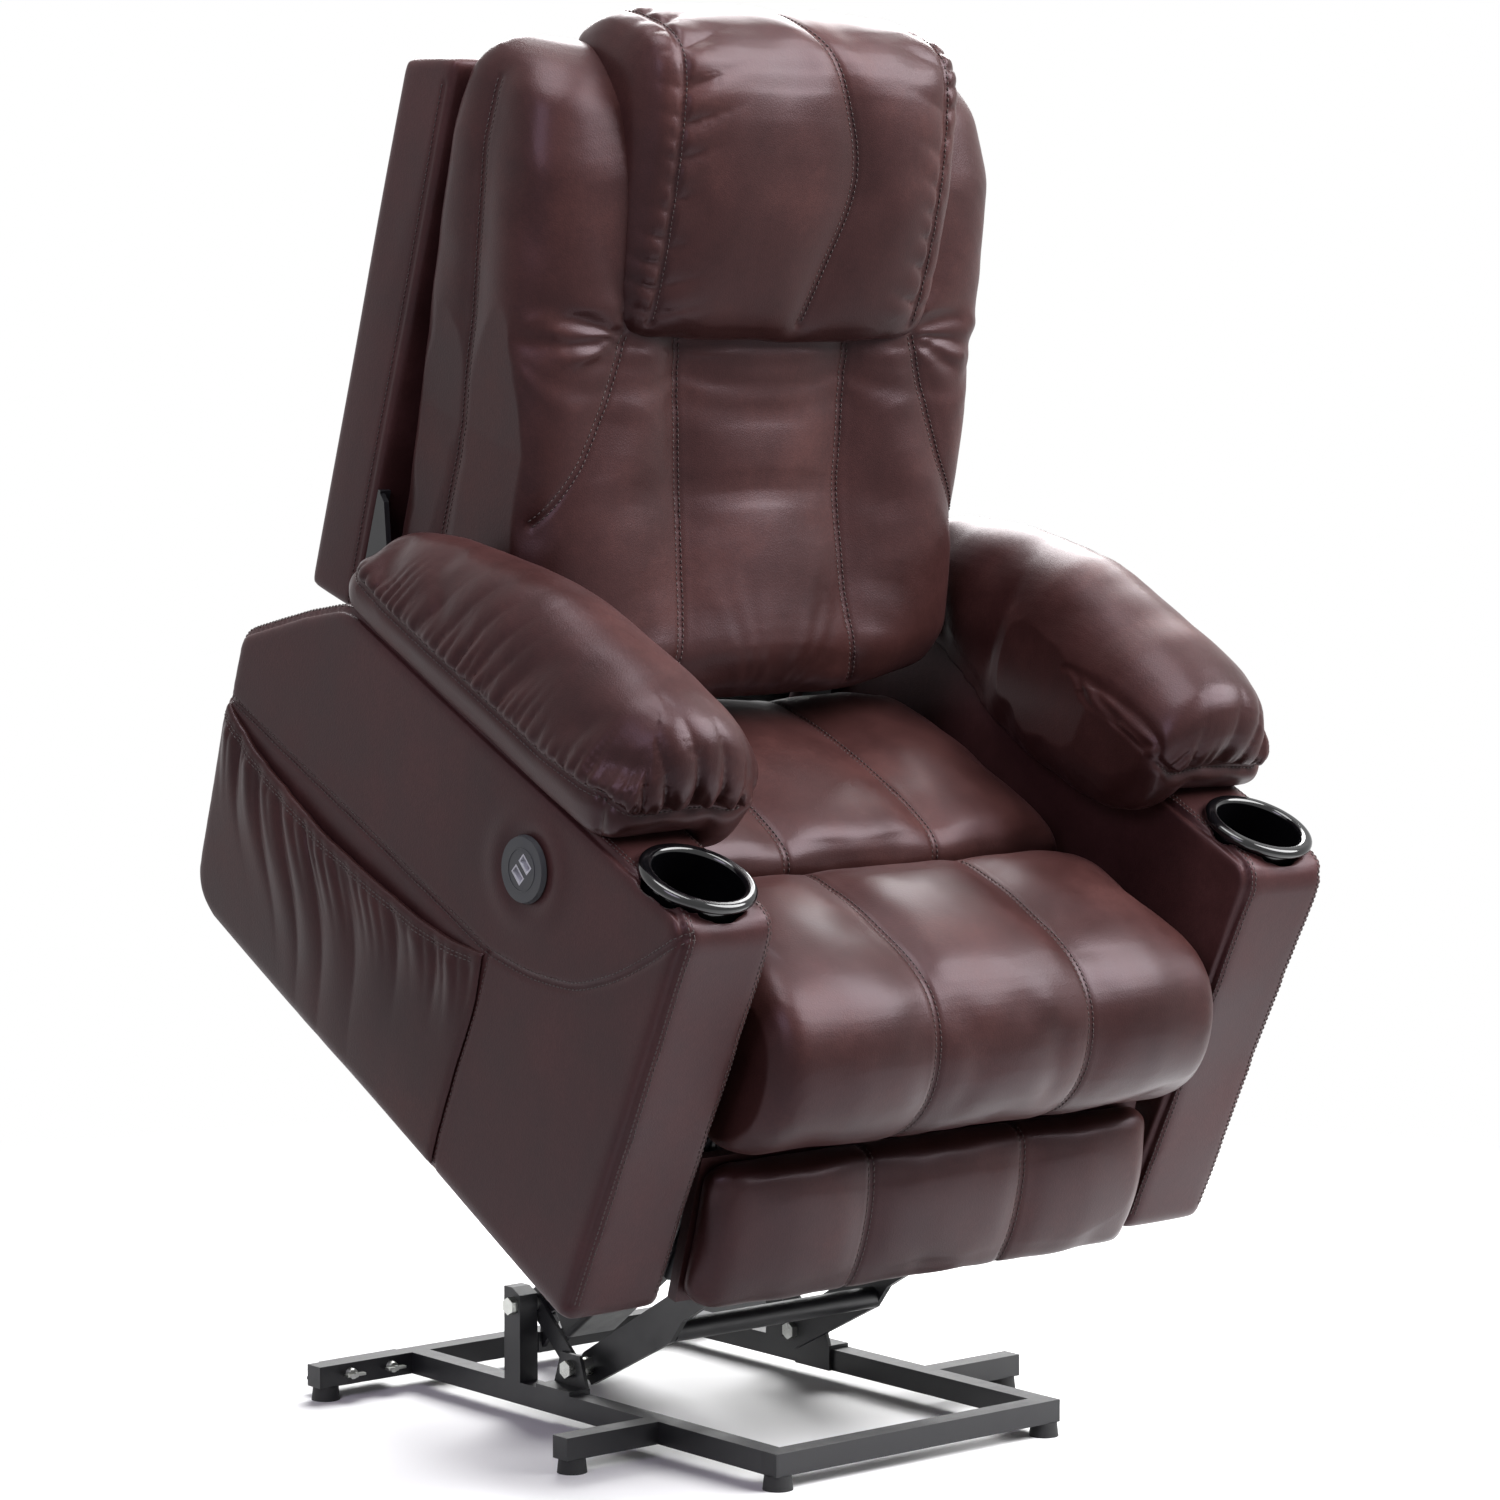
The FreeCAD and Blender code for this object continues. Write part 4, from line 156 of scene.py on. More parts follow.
def read_normals(piece: bpy.types.Object) -> np.ndarray:
    """Return the vertex normals of a mesh object as an array."""
    data = np.empty(len(piece.data.vertices) * 3, dtype=np.float32)
    piece.data.vertices.foreach_get("normal", data)
    return data.reshape(-1, 3).astype(np.float64)


def apply_modifier(piece: bpy.types.Object, kind: str, **settings: object) -> None:
    """Add a modifier with its settings and apply it."""
    activate(piece)
    modifier = piece.modifiers.new(kind.title(), kind)
    for key, value in settings.items():
        setattr(modifier, key, value)
    bpy.ops.object.modifier_apply(modifier=modifier.name)


def smooth_shade(piece: bpy.types.Object, angle: float = 180.0) -> None:
    """Shade a piece smooth, with creases above an angle in degrees."""
    activate(piece)
    if angle >= 180.0:
        bpy.ops.object.shade_smooth()
    else:
        bpy.ops.object.shade_smooth_by_angle(angle=math.radians(angle))


def place(piece: bpy.types.Object, frame: Place) -> None:
    """Take a piece's mesh from a chair frame in millimetres to the part frame in metres."""
    piece.data.transform(frame.matrix())
    piece.data.update()


def lengths_along(points: np.ndarray) -> np.ndarray:
    """Return how far along a row of points each of them lies."""
    steps = np.linalg.norm(np.diff(points, axis=0), axis=1)
    return np.concatenate([[0.0], np.cumsum(steps)])


def unit_tangents(path: np.ndarray) -> np.ndarray:
    """Return the direction of a path at each of its points."""
    tangents = np.gradient(path, axis=0)
    return tangents / np.maximum(np.linalg.norm(tangents, axis=1, keepdims=True), 1e-9)


def outline(corners: Sequence[Point2], bulges: Sequence[float], per_edge: int) -> np.ndarray:
    """Return points along a closed anticlockwise outline whose edges are arcs.

    Args:
        corners: the corners (u, v) in turn.
        bulges: how far the middle of each edge stands out.
        per_edge: the number of points on each edge.

    Returns:
        An array of points (u, v).
    """
    points = []
    share = np.arange(per_edge) / per_edge
    for i, corner in enumerate(corners):
        start = np.array(corner, dtype=float)
        end = np.array(corners[(i + 1) % len(corners)], dtype=float)
        along = end - start
        length = max(float(np.hypot(*along)), 1e-6)
        outward = np.array([along[1], -along[0]]) / length
        swell = 4.0 * share * (1.0 - share) * bulges[i]
        points.append(start + share[:, None] * along + swell[:, None] * outward)
    return np.concatenate(points)


def rounded(
    corners: Sequence[Point2], radii: Sequence[float], step: float = 6.0, per_arc: int = 9
) -> np.ndarray:
    """Return evenly spaced points round a closed anticlockwise outline with arcs at its corners.

    Args:
        corners: the sharp corners (u, v) in turn.
        radii: the radius of the arc at each corner.
        step: the distance between points.
        per_arc: how many points each arc is first drawn with.

    Returns:
        An array of points (u, v).
    """
    points = []
    for i, corner in enumerate(corners):
        here = np.array(corner, dtype=float)
        before = np.array(corners[i - 1], dtype=float) - here
        after = np.array(corners[(i + 1) % len(corners)], dtype=float) - here
        before /= np.linalg.norm(before)
        after /= np.linalg.norm(after)
        half = 0.5 * math.acos(max(-1.0, min(1.0, float(before @ after))))
        middle = (before + after) / np.linalg.norm(before + after)
        centre = here + middle * radii[i] / math.sin(half)
        start = here + before * radii[i] / math.tan(half) - centre
        end = here + after * radii[i] / math.tan(half) - centre
        for share in np.linspace(0.0, 1.0, per_arc):
            arm = start * (1.0 - share) + end * share
            points.append(centre + arm / np.linalg.norm(arm) * radii[i])
    ring = np.array(points + [points[0]])
    lengths = lengths_along(ring)
    targets = np.linspace(0.0, lengths[-1], int(lengths[-1] / step), endpoint=False)
    return np.stack([np.interp(targets, lengths, ring[:, k]) for k in (0, 1)], axis=1)


def drawn_in(ring: np.ndarray, amount: float) -> np.ndarray:
    """Return a closed anticlockwise outline moved inwards."""
    tangent = np.roll(ring, -1, axis=0) - np.roll(ring, 1, axis=0)
    tangent /= np.maximum(np.linalg.norm(tangent, axis=1, keepdims=True), 1e-9)
    return ring - np.stack([tangent[:, 1], -tangent[:, 0]], axis=1) * amount


def relaxed(points: np.ndarray, passes: int, closed: bool = True) -> np.ndarray:
    """Return a row of points with its corners rounded by averaging neighbours.

    Args:
        points: the row.
        passes: how many times each point is averaged with the two beside it.
        closed: whether the last point lies beside the first; if not, both ends stay.

    Returns:
        The rounded row.
    """
    for _ in range(passes):
        before = np.roll(points, 1, axis=0)
        after = np.roll(points, -1, axis=0)
        mixed = 0.25 * before + 0.5 * points + 0.25 * after
        if not closed:
            mixed[0] = points[0]
            mixed[-1] = points[-1]
        points = mixed
    return points


class Along(Enum):
    """The axis that a loft's sections stand across."""

    X = 0
    Y = 1
    Z = 2


@dataclass
class Loft:
    """A closed soft form through sections: each is a place on the axis and a closed outline."""

    along: Along
    sections: list[tuple[float, np.ndarray]]
    step: float = 5.0
    blend: int = 3

    def rows(self) -> np.ndarray:
        """Return the form's points as rows of sections, smoothed from one to the next."""
        places = np.array([section[0] for section in self.sections])
        rings = np.array([section[1] for section in self.sections])
        count = max(int((places[-1] - places[0]) / self.step), 4) + 1
        targets = np.linspace(places[0], places[-1], count)
        flat = rings.reshape(len(places), -1)
        rows = np.array([np.interp(targets, places, column) for column in flat.T]).T
        rows = relaxed(rows, self.blend, closed=False).reshape(count, -1, 2)
        full = np.empty((count, rows.shape[1], 3))
        others = [axis for axis in range(3) if axis != self.along.value]
        full[:, :, self.along.value] = targets[:, None]
        full[:, :, others[0]] = rows[:, :, 0]
        full[:, :, others[1]] = rows[:, :, 1]
        return full

    def build(self, name: str) -> bpy.types.Object:
        """Make the closed mesh in millimetres.

        Args:
            name: the object's name.

        Returns:
            The mesh object, with a fan of triangles over each end.
        """
        rows = self.rows()
        count, around = rows.shape[:2]
        points = list(rows.reshape(-1, 3))
        faces = []
        for i in range(count - 1):
            for j in range(around):
                k = (j + 1) % around
                faces.append((i * around + j, i * around + k, (i + 1) * around + k, (i + 1) * around + j))
        for row in (0, count - 1):
            centre = len(points)
            points.append(rows[row].mean(axis=0))
            for j in range(around):
                faces.append((row * around + j, row * around + (j + 1) % around, centre))
        piece = mesh_piece(name, np.array(points), faces)
        recalculate(piece)
        return piece


def recalculate(piece: bpy.types.Object) -> None:
    """Merge the doubles of a closed piece and turn all its faces outwards.

    Args:
        piece: the closed piece, in millimetres.
    """
    shell = bmesh.new()
    shell.from_mesh(piece.data)
    bmesh.ops.remove_doubles(shell, verts=shell.verts, dist=1e-4)
    bmesh.ops.recalc_face_normals(shell, faces=shell.faces)
    shell.to_mesh(piece.data)
    shell.free()
    piece.data.update()


def remesh(piece: bpy.types.Object, cell: float) -> None:
    """Rebuild a closed piece in even cells, whose size is in the mesh's own unit."""
    apply_modifier(piece, "REMESH", mode="VOXEL", voxel_size=cell, adaptivity=0.0)


# the step along a seam, the rays that find a seam round a cushion, and how far off they start
SEAM_STEP = 2.0
SEAM_RAYS = 90
SEAM_REACH = 400.0


@dataclass
class Seam:
    """A sewn line: rays from outside points to inside points find it on the surface."""

    outside: np.ndarray
    inside: np.ndarray
    offsets: tuple[float, ...] = (-3.6, 3.6)
    depth: float = 1.0
    lean: Point3 | None = None

    def on(self, surface: BVHTree) -> tuple[np.ndarray, np.ndarray]:
        """Return the seam's points and normals on a surface, evenly spaced.

        Args:
            surface: the leather.

        Returns:
            The points and the normals, both empty where the rays miss the leather.
        """
        points, normals = [], []
        for start, target in zip(self.outside, self.inside):
            direction = Vector(target - start)
            hit, normal, _, _ = surface.ray_cast(Vector(start), direction.normalized(), direction.length)
            if hit is not None:
                points.append(np.array(hit))
                normals.append(np.array(normal))
        if len(points) < 2:
            return np.empty((0, 3)), np.empty((0, 3))
        return evenly(np.array(points), np.array(normals), SEAM_STEP)


def evenly(points: np.ndarray, normals: np.ndarray, step: float) -> tuple[np.ndarray, np.ndarray]:
    """Return points and unit normals along a path at an even step.

    Args:
        points: the path.
        normals: the surface's normals along it.
        step: about how far apart the new points lie.

    Returns:
        The new points and their normals.
    """
    lengths = lengths_along(points)
    count = max(int(lengths[-1] / step), 2)
    targets = np.linspace(0.0, lengths[-1], count)
    even = np.array([np.interp(targets, lengths, points[:, i]) for i in range(3)]).T
    facing = np.array([np.interp(targets, lengths, normals[:, i]) for i in range(3)]).T
    facing /= np.maximum(np.linalg.norm(facing, axis=1, keepdims=True), 1e-9)
    return even, facing


def dense(path: Sequence[Sequence[float]], count: int = 80) -> np.ndarray:
    """Return a smooth curve through a few points, as many points."""
    knots = np.array(path, dtype=float)
    lengths = lengths_along(knots)
    targets = np.linspace(0.0, lengths[-1], count)
    curve = np.array([np.interp(targets, lengths, knots[:, i]) for i in range(knots.shape[1])]).T
    return relaxed(curve, count // 3, closed=False)


def seam_along(curve: np.ndarray, towards: Point3, reach: float, **more: object) -> Seam:
    """Return the seam that a close row of points leaves when it is pressed onto a surface.

    Args:
        curve: the row of points.
        towards: the direction that it is pressed in.
        reach: how far before and behind the row the surface may lie.
        **more: the seam's other values.

    Returns:
        The seam.
    """
    step = np.array(towards, dtype=float)
    step /= np.linalg.norm(step)
    return Seam(curve - step * reach, curve + step * reach, **more)


def seam_from(path: Sequence[Point3], towards: Point3, reach: float, **more: object) -> Seam:
    """Return the seam that a smooth curve through a few points leaves, pressed on along a direction."""
    return seam_along(dense(path), towards, reach, **more)


def seam_around(x: float, centre: Point2, start: float, end: float, **more: object) -> Seam:
    """Return the seam round a cushion in the plane at x, between two angles about a centre.

    Args:
        x: where the plane stands.
        centre: the (y, z) that the rays aim at.
        start: the first angle, in degrees.
        end: the last angle, in degrees.
        **more: the seam's other values.

    Returns:
        The seam.
    """
    angles = np.radians(np.linspace(start, end, SEAM_RAYS))
    y = centre[0] + SEAM_REACH * np.cos(angles)
    z = centre[1] + SEAM_REACH * np.sin(angles)
    outside = np.stack([np.full(SEAM_RAYS, x), y, z], axis=1)
    inside = np.tile([x, centre[0], centre[1]], (SEAM_RAYS, 1)).astype(float)
    return Seam(outside, inside, **more)


def surface_of(piece: bpy.types.Object) -> BVHTree:
    """Return the search tree of a piece's faces."""
    mesh = piece.data
    return BVHTree.FromPolygons(
        [tuple(v.co) for v in mesh.vertices], [tuple(p.vertices) for p in mesh.polygons]
    )


def tree_of(path: np.ndarray) -> KDTree:
    """Return the search tree of a path's points."""
    tree = KDTree(len(path))
    for i, item in enumerate(path):
        tree.insert(item, i)
    tree.balance()
    return tree


def near_path(points: np.ndarray, path: np.ndarray, reach: float) -> tuple[np.ndarray, np.ndarray]:
    """Return which points lie within reach of a path, and how far they are from it.

    Args:
        points: the points to choose from.
        path: the path.
        reach: the farthest that a chosen point may lie from it.

    Returns:
        The numbers of the points and their distances.
    """
    tree = tree_of(path)
    low = path.min(axis=0) - reach
    high = path.max(axis=0) + reach
    candidates = np.nonzero(np.all((points > low) & (points < high), axis=1))[0]
    distance = np.array([tree.find(points[i])[2] for i in candidates])
    close = distance < reach if len(distance) else np.zeros(0, dtype=bool)
    return candidates[close], distance[close]


# how many of its widths away a pressed valley has died out
VALLEY_REACH = 2.6


def press(piece: bpy.types.Object, path: np.ndarray, depth: float, width: float) -> None:
    """Press a valley into a piece along a path on its surface.

    Args:
        piece: the piece.
        path: the valley's middle line.
        depth: how deep the valley is there.
        width: how far out its depth has fallen to about a third.
    """
    if len(path) < 2:
        return
    points = read_points(piece)
    normals = read_normals(piece)
    dip = np.zeros(len(points))
    who, distance = near_path(points, path, width * VALLEY_REACH)
    dip[who] = depth * np.exp(-((distance / width) ** 2))
    write_points(piece, points - normals * dip[:, None])


def sink_seams(
    piece: bpy.types.Object, seams: Sequence[Seam], depth: float, width: float
) -> list[np.ndarray]:
    """Press a valley along each seam of a piece.

    Args:
        piece: the piece.
        seams: its seams.
        depth: the depth of a valley, times the seam's own depth.
        width: the width of a valley.

    Returns:
        The seams' lines on the surface, as it was before the valleys.
    """
    surface = surface_of(piece)
    paths = [seam.on(surface)[0] for seam in seams]
    for path, seam in zip(paths, seams):
        press(piece, path, depth * seam.depth, width)
    return paths


# how much of each axis goes into each of the waves that make up the noise
NOISE_WAVES = ((1.0, 0.31, 0.17), (0.43, 1.13, 0.29), (0.27, 0.51, 1.09), (0.83, 0.77, 0.61))


def noise(points: np.ndarray, size: Point3, seed: float) -> np.ndarray:
    """Return a smooth, fixed pattern between about -1 and 1.

    Args:
        points: where the pattern is read.
        size: the size of its waves along each axis.
        seed: which pattern.

    Returns:
        The pattern's value at each point.
    """
    q = points / np.array(size) + seed
    total = np.zeros(len(points))
    for i, (a, b, c) in enumerate(NOISE_WAVES):
        phase = q[:, 0] * a * (1.0 + 0.17 * i) + q[:, 1] * b + q[:, 2] * c * (1.0 + 0.11 * i)
        phase = phase + seed * (i + 1.7)
        total += np.sin(phase * 2.0 + 1.3 * np.sin(q[:, (i + 1) % 3] * 1.7 + seed * i))
    return total / 2.6


def crests(along: np.ndarray, pitch: float, seed: float) -> np.ndarray:
    """Return uneven folds, round on top and sharp in the valleys.

    Args:
        along: how far along the cloth each point lies.
        pitch: about how far apart the folds are.
        seed: which pattern.

    Returns:
        The folds' height at each point, between -1 and 1.
    """
    phase = math.pi * along / pitch
    phase += 0.9 * np.sin(along / (pitch * 1.9) + seed) + 0.5 * np.sin(along / (pitch * 0.83) + 2.0 * seed)
    size = 0.7 + 0.3 * np.sin(along / (pitch * 2.1) + 1.7 * seed)
    return size * (2.0 * np.abs(np.sin(phase)) ** 0.75 - 1.0)


# gathers set in over this far across the seam, and over this far from each of its ends
GATHER_SIDE = 4.0
GATHER_ENDS = 24.0


@dataclass
class Gathers:
    """The folds that a gathered seam throws into the leather on one side of it."""

    seam: Seam
    pitch: float
    reach: float
    height: float
    towards: Point3
    seed: float = 0.0
    lean: float = 0.0
    start: float = 6.0

    def heights(self, points: np.ndarray, surface: BVHTree) -> np.ndarray:
        """Return how far each point of the leather moves along its normal.

        Args:
            points: the leather's points.
            surface: the leather, on which the seam is found.

        Returns:
            The height of the folds at each point.
        """
        total = np.zeros(len(points))
        path, _ = self.seam.on(surface)
        if len(path) < 2:
            return total
        tree = tree_of(path)
        span = self.reach * 2.0
        inside = np.all((points > path.min(axis=0) - span) & (points < path.max(axis=0) + span), axis=1)
        who = np.nonzero(inside)[0]
        if not len(who):
            return total
        found = [tree.find(points[i]) for i in who]
        nearest = np.array([item[1] for item in found])
        distance = np.array([item[2] for item in found])
        step = float(np.linalg.norm(path[1] - path[0]))
        along = nearest * step
        across = (points[who] - path[nearest]) @ np.array(self.towards)
        side = np.clip(across / GATHER_SIDE, 0.0, 1.0)
        slanted = along + self.lean * distance
        length = self.reach * (0.75 + 0.35 * np.sin(slanted / (self.pitch * 1.3) + 3.1 * self.seed))
        ends = np.clip(along / GATHER_ENDS, 0.0, 1.0)
        ends = ends * np.clip((len(path) * step - along) / GATHER_ENDS, 0.0, 1.0)
        grow = np.clip(distance / self.start, 0.0, 1.0)
        fade = np.exp(-((distance / length) ** 2)) * side * ends * grow
        total[who] = self.height * crests(slanted, self.pitch, self.seed) * fade
        return total


def fan(
    points: np.ndarray,
    normals: np.ndarray,
    apex: Point3,
    plane: tuple[int, int],
    span: tuple[float, float],
    count: float,
    reach: tuple[float, float],
    height: float,
    seed: float,
    facing: Point3 | None = None,
) -> np.ndarray:
    """Return the heights of creases that radiate from a point.

    Args:
        points: the points to move.
        normals: their normals.
        apex: where the creases start.
        plane: the two axes in which they fan out.
        span: the middle direction and the half width of the fan, in degrees.
        count: creases per radian.
        reach: where the creases begin and how long they are.
        height: how high they stand.
        seed: which pattern.
        facing: the direction that the creased surface faces.

    Returns:
        The height at each point.
    """
    offset = points - np.array(apex)
    u = offset[:, plane[0]]
    v = offset[:, plane[1]]
    radius = np.hypot(u, v)
    angle = np.arctan2(v, u)
    middle = math.radians(span[0])
    turn = (angle - middle + math.pi) % (2.0 * math.pi) - math.pi
    inside = np.clip(1.0 - (np.abs(turn) / math.radians(span[1])) ** 4, 0.0, 1.0)
    wave = np.sin(turn * count * 2.0 + 2.2 * np.sin(turn * count * 0.7 + seed) + 0.012 * radius)
    sharp = np.sign(wave) * np.abs(wave) ** 0.9
    fade = np.clip((radius - reach[0] * 0.3) / reach[0], 0.0, 1.0) * np.exp(-((radius / reach[1]) ** 2))
    height_at = height * inside * sharp * fade
    if facing is not None:
        height_at = height_at * np.clip(normals @ np.array(facing, dtype=float) * 1.5, 0.0, 1.0)
    return height_at


def raise_by(piece: bpy.types.Object, height_of: Callable[[np.ndarray, np.ndarray], np.ndarray]) -> None:
    """Move a piece's points along their normals by a function of points and normals."""
    points = read_points(piece)
    normals = read_normals(piece)
    write_points(piece, points + normals * height_of(points, normals)[:, None])


def eased(piece: bpy.types.Object, moves: np.ndarray, passes: int) -> np.ndarray:
    """Return the moves of a piece's points, evened out over the mesh.

    Args:
        piece: the piece.
        moves: how far each of its points moves.
        passes: how many times each move is averaged with those of the points next to it.

    Returns:
        The evened moves.
    """
    pairs = np.empty(len(piece.data.edges) * 2, dtype=np.int64)
    piece.data.edges.foreach_get("vertices", pairs)
    first, second = pairs.reshape(-1, 2).T
    count = 1.0 + np.bincount(first, minlength=len(moves)) + np.bincount(second, minlength=len(moves))
    for _ in range(passes):
        total = moves.copy()
        for axis in range(3):
            total[:, axis] += np.bincount(first, moves[second, axis], len(moves))
            total[:, axis] += np.bincount(second, moves[first, axis], len(moves))
        moves = total / count[:, None]
    return moves


@dataclass
class Puff:
    """How a skin is blown up: air pressure, spare leather, and the farthest a point may move."""

    pressure: float = 4.0
    slack: float = 0.03
    cap: float = 24.0
    frames: int = 20
    stiffness: float = 15.0
    bending: float = 2.0
    ease: int = 12

    def run(self, piece: bpy.types.Object, held: np.ndarray) -> None:
        """Simulate the piece as cloth in metres and keep the result.

        Args:
            piece: a closed, evenly meshed skin in millimetres.
            held: for each vertex, how firmly it stays (0 to 1).
        """
        start = read_points(piece)
        piece.data.transform(Matrix.Scale(MM, 4))
        group = piece.vertex_groups.new(name="held")
        for weight in np.unique(np.round(held, 1)):
            if weight > 0.0:
                who = np.nonzero(np.round(held, 1) == weight)[0]
                group.add([int(i) for i in who], float(weight), "REPLACE")
        cloth = piece.modifiers.new("Cloth", "CLOTH")
        settings = cloth.settings
        settings.quality = 6
        settings.mass = 0.3
        settings.tension_stiffness = self.stiffness
        settings.compression_stiffness = self.stiffness
        settings.shear_stiffness = self.stiffness * 0.4
        settings.bending_stiffness = self.bending
        settings.tension_damping = 8.0
        settings.compression_damping = 8.0
        settings.air_damping = 4.0
        settings.use_pressure = True
        settings.uniform_pressure_force = self.pressure
        settings.shrink_min = -self.slack
        settings.vertex_group_mass = "held"
        settings.effector_weights.gravity = 0.0
        cloth.collision_settings.use_collision = False
        cloth.collision_settings.use_self_collision = False
        cloth.point_cache.frame_start = 1
        cloth.point_cache.frame_end = self.frames
        scene = bpy.context.scene
        for frame in range(1, self.frames + 1):
            scene.frame_set(frame)
        grown = piece.evaluated_get(bpy.context.evaluated_depsgraph_get())
        mesh = grown.to_mesh()
        data = np.empty(len(mesh.vertices) * 3, dtype=np.float32)
        mesh.vertices.foreach_get("co", data)
        grown.to_mesh_clear()
        result = data.reshape(-1, 3).astype(np.float64) / MM
        piece.modifiers.remove(cloth)
        piece.vertex_groups.remove(group)
        scene.frame_set(1)
        move = eased(piece, result - start, self.ease)
        length = np.linalg.norm(move, axis=1, keepdims=True)
        limit = self.cap * np.tanh(length / self.cap)
        write_points(piece, start + move * np.where(length > 1e-6, limit / np.maximum(length, 1e-6), 0.0))


# a stitch every 5.4 mm, of thread 1.24 mm thick drawn a little coarser than the real one so that it shows
STITCH_PITCH = 5.4
STITCH_PROUD = 0.25
STITCH_SIDES = 5
# share of the pitch, radius, how far the thread dips into the leather
STITCH_ROWS = ((0.0, 0.25, 0.55), (0.18, 0.62, 0.0), (0.6, 0.62, 0.0), (0.78, 0.25, 0.55))
# a line is moved sideways in steps, and found again on the leather within a distance
WALK_STEPS = 3
WALK_SEARCH = 12.0


def walked(
    path: np.ndarray, normals: np.ndarray, offset: float, turned: float, surface: BVHTree
) -> tuple[np.ndarray, np.ndarray]:
    """Return a seam's line moved sideways over the surface and lifted a little off it.

    Args:
        path: the seam's points.
        normals: the surface's normals there.
        offset: how far to go.
        turned: 1 or -1, the side that a positive offset goes to.
        surface: the leather.

    Returns:
        The moved points and their normals.
    """
    tangents = unit_tangents(path)
    points = path.copy()
    facing = normals.copy()
    for _ in range(WALK_STEPS):
        points = points + np.cross(facing, tangents) * (turned * offset / WALK_STEPS)
        for i, point in enumerate(points):
            hit, found, _, _ = surface.find_nearest(Vector(point), WALK_SEARCH)
            if hit is not None:
                points[i] = hit
                facing[i] = found if found.dot(Vector(facing[i])) > 0.0 else -found
    return points + facing * STITCH_PROUD, facing


def stitch(
    start: np.ndarray, step: np.ndarray, facing: np.ndarray, first: int
) -> tuple[list[np.ndarray], list[tuple[int, ...]]]:
    """Return one stitch: a short thread that dips into the leather at both ends.

    Args:
        start: where the stitch begins.
        step: the way from there to the next stitch.
        facing: the leather's normal.
        first: the number that its first vertex has in the mesh.

    Returns:
        Its vertices and its faces.
    """
    along = step / max(float(np.linalg.norm(step)), 1e-9)
    side = np.cross(facing, along)
    sides = STITCH_SIDES
    ring = [(math.cos(a), math.sin(a)) for a in np.linspace(0.0, 2.0 * math.pi, sides + 1)[:-1]]
    points = []
    for share, radius, dip in STITCH_ROWS:
        centre = start + step * share - facing * dip
        points.extend(centre + (side * c + facing * s) * radius for c, s in ring)
    faces: list[tuple[int, ...]] = []
    for row in range(len(STITCH_ROWS) - 1):
        for j in range(sides):
            a = first + row * sides + j
            b = first + row * sides + (j + 1) % sides
            faces.append((a, b, b + sides, a + sides))
    last = first + (len(STITCH_ROWS) - 1) * sides
    faces.append(tuple(first + j for j in reversed(range(sides))))
    faces.append(tuple(last + j for j in range(sides)))
    return points, faces


def sew(name: str, seams: Sequence[Seam], surface: BVHTree) -> bpy.types.Object:
    """Make the visible stitches along seams as short rounded threads.

    Args:
        name: the object's name.
        seams: the sewn lines.
        surface: the leather that they are sewn through.

    Returns:
        One mesh of all the stitches, in the unit of the seams.
    """
    points: list[np.ndarray] = []
    faces: list[tuple[int, ...]] = []
    for seam in seams:
        path, normals = seam.on(surface)
        if len(path) < 4:
            continue
        across = np.cross(normals, unit_tangents(path))
        turned = 1.0
        if seam.lean is not None and float((across @ np.array(seam.lean)).sum()) < 0.0:
            turned = -1.0
        for offset in seam.offsets:
            row, facing = walked(path, normals, offset, turned, surface)
            even, facing = evenly(row, facing, STITCH_PITCH)
            for start, step, normal in zip(even, np.diff(even, axis=0), facing):
                new_points, new_faces = stitch(start, step, normal, len(points))
                points.extend(new_points)
                faces.extend(new_faces)
    return mesh_piece(name, np.array(points), faces)


def hex_linear(code: str) -> tuple[float, float, float, float]:
    """Return the linear colour of an sRGB hex value."""
    values = [int(code[i : i + 2], 16) / 255.0 for i in (1, 3, 5)]
    linear = [v / 12.92 if v <= 0.04045 else ((v + 0.055) / 1.055) ** 2.4 for v in values]
    return (linear[0], linear[1], linear[2], 1.0)


def add_node(
    tree: bpy.types.NodeTree, kind: str, settings: dict[str, object] | None = None, **inputs: object
) -> bpy.types.Node:
    """Add a shader node with its settings, and fill or link its inputs by name.

    Args:
        tree: the node tree.
        kind: the node's type.
        settings: properties of the node.
        **inputs: values or output sockets for the inputs, with _ for a space, or n and its number.

    Returns:
        The node.
    """
    node = tree.nodes.new(kind)
    for key, value in (settings or {}).items():
        setattr(node, key, value)
    for key, value in inputs.items():
        numbered = key[0] == "n" and key[1:].isdigit()
        socket = node.inputs[int(key[1:]) if numbered else key.replace("_", " ")]
        if isinstance(value, bpy.types.NodeSocket):
            tree.links.new(value, socket)
        else:
            socket.default_value = value
    return node


def blank_material(name: str) -> tuple[bpy.types.Material, bpy.types.NodeTree, bpy.types.Node]:
    """Return a new material with its tree and its surface shader."""
    material = bpy.data.materials.new(name)
    material.use_nodes = True
    tree = material.node_tree
    return material, tree, tree.nodes["Principled BSDF"]


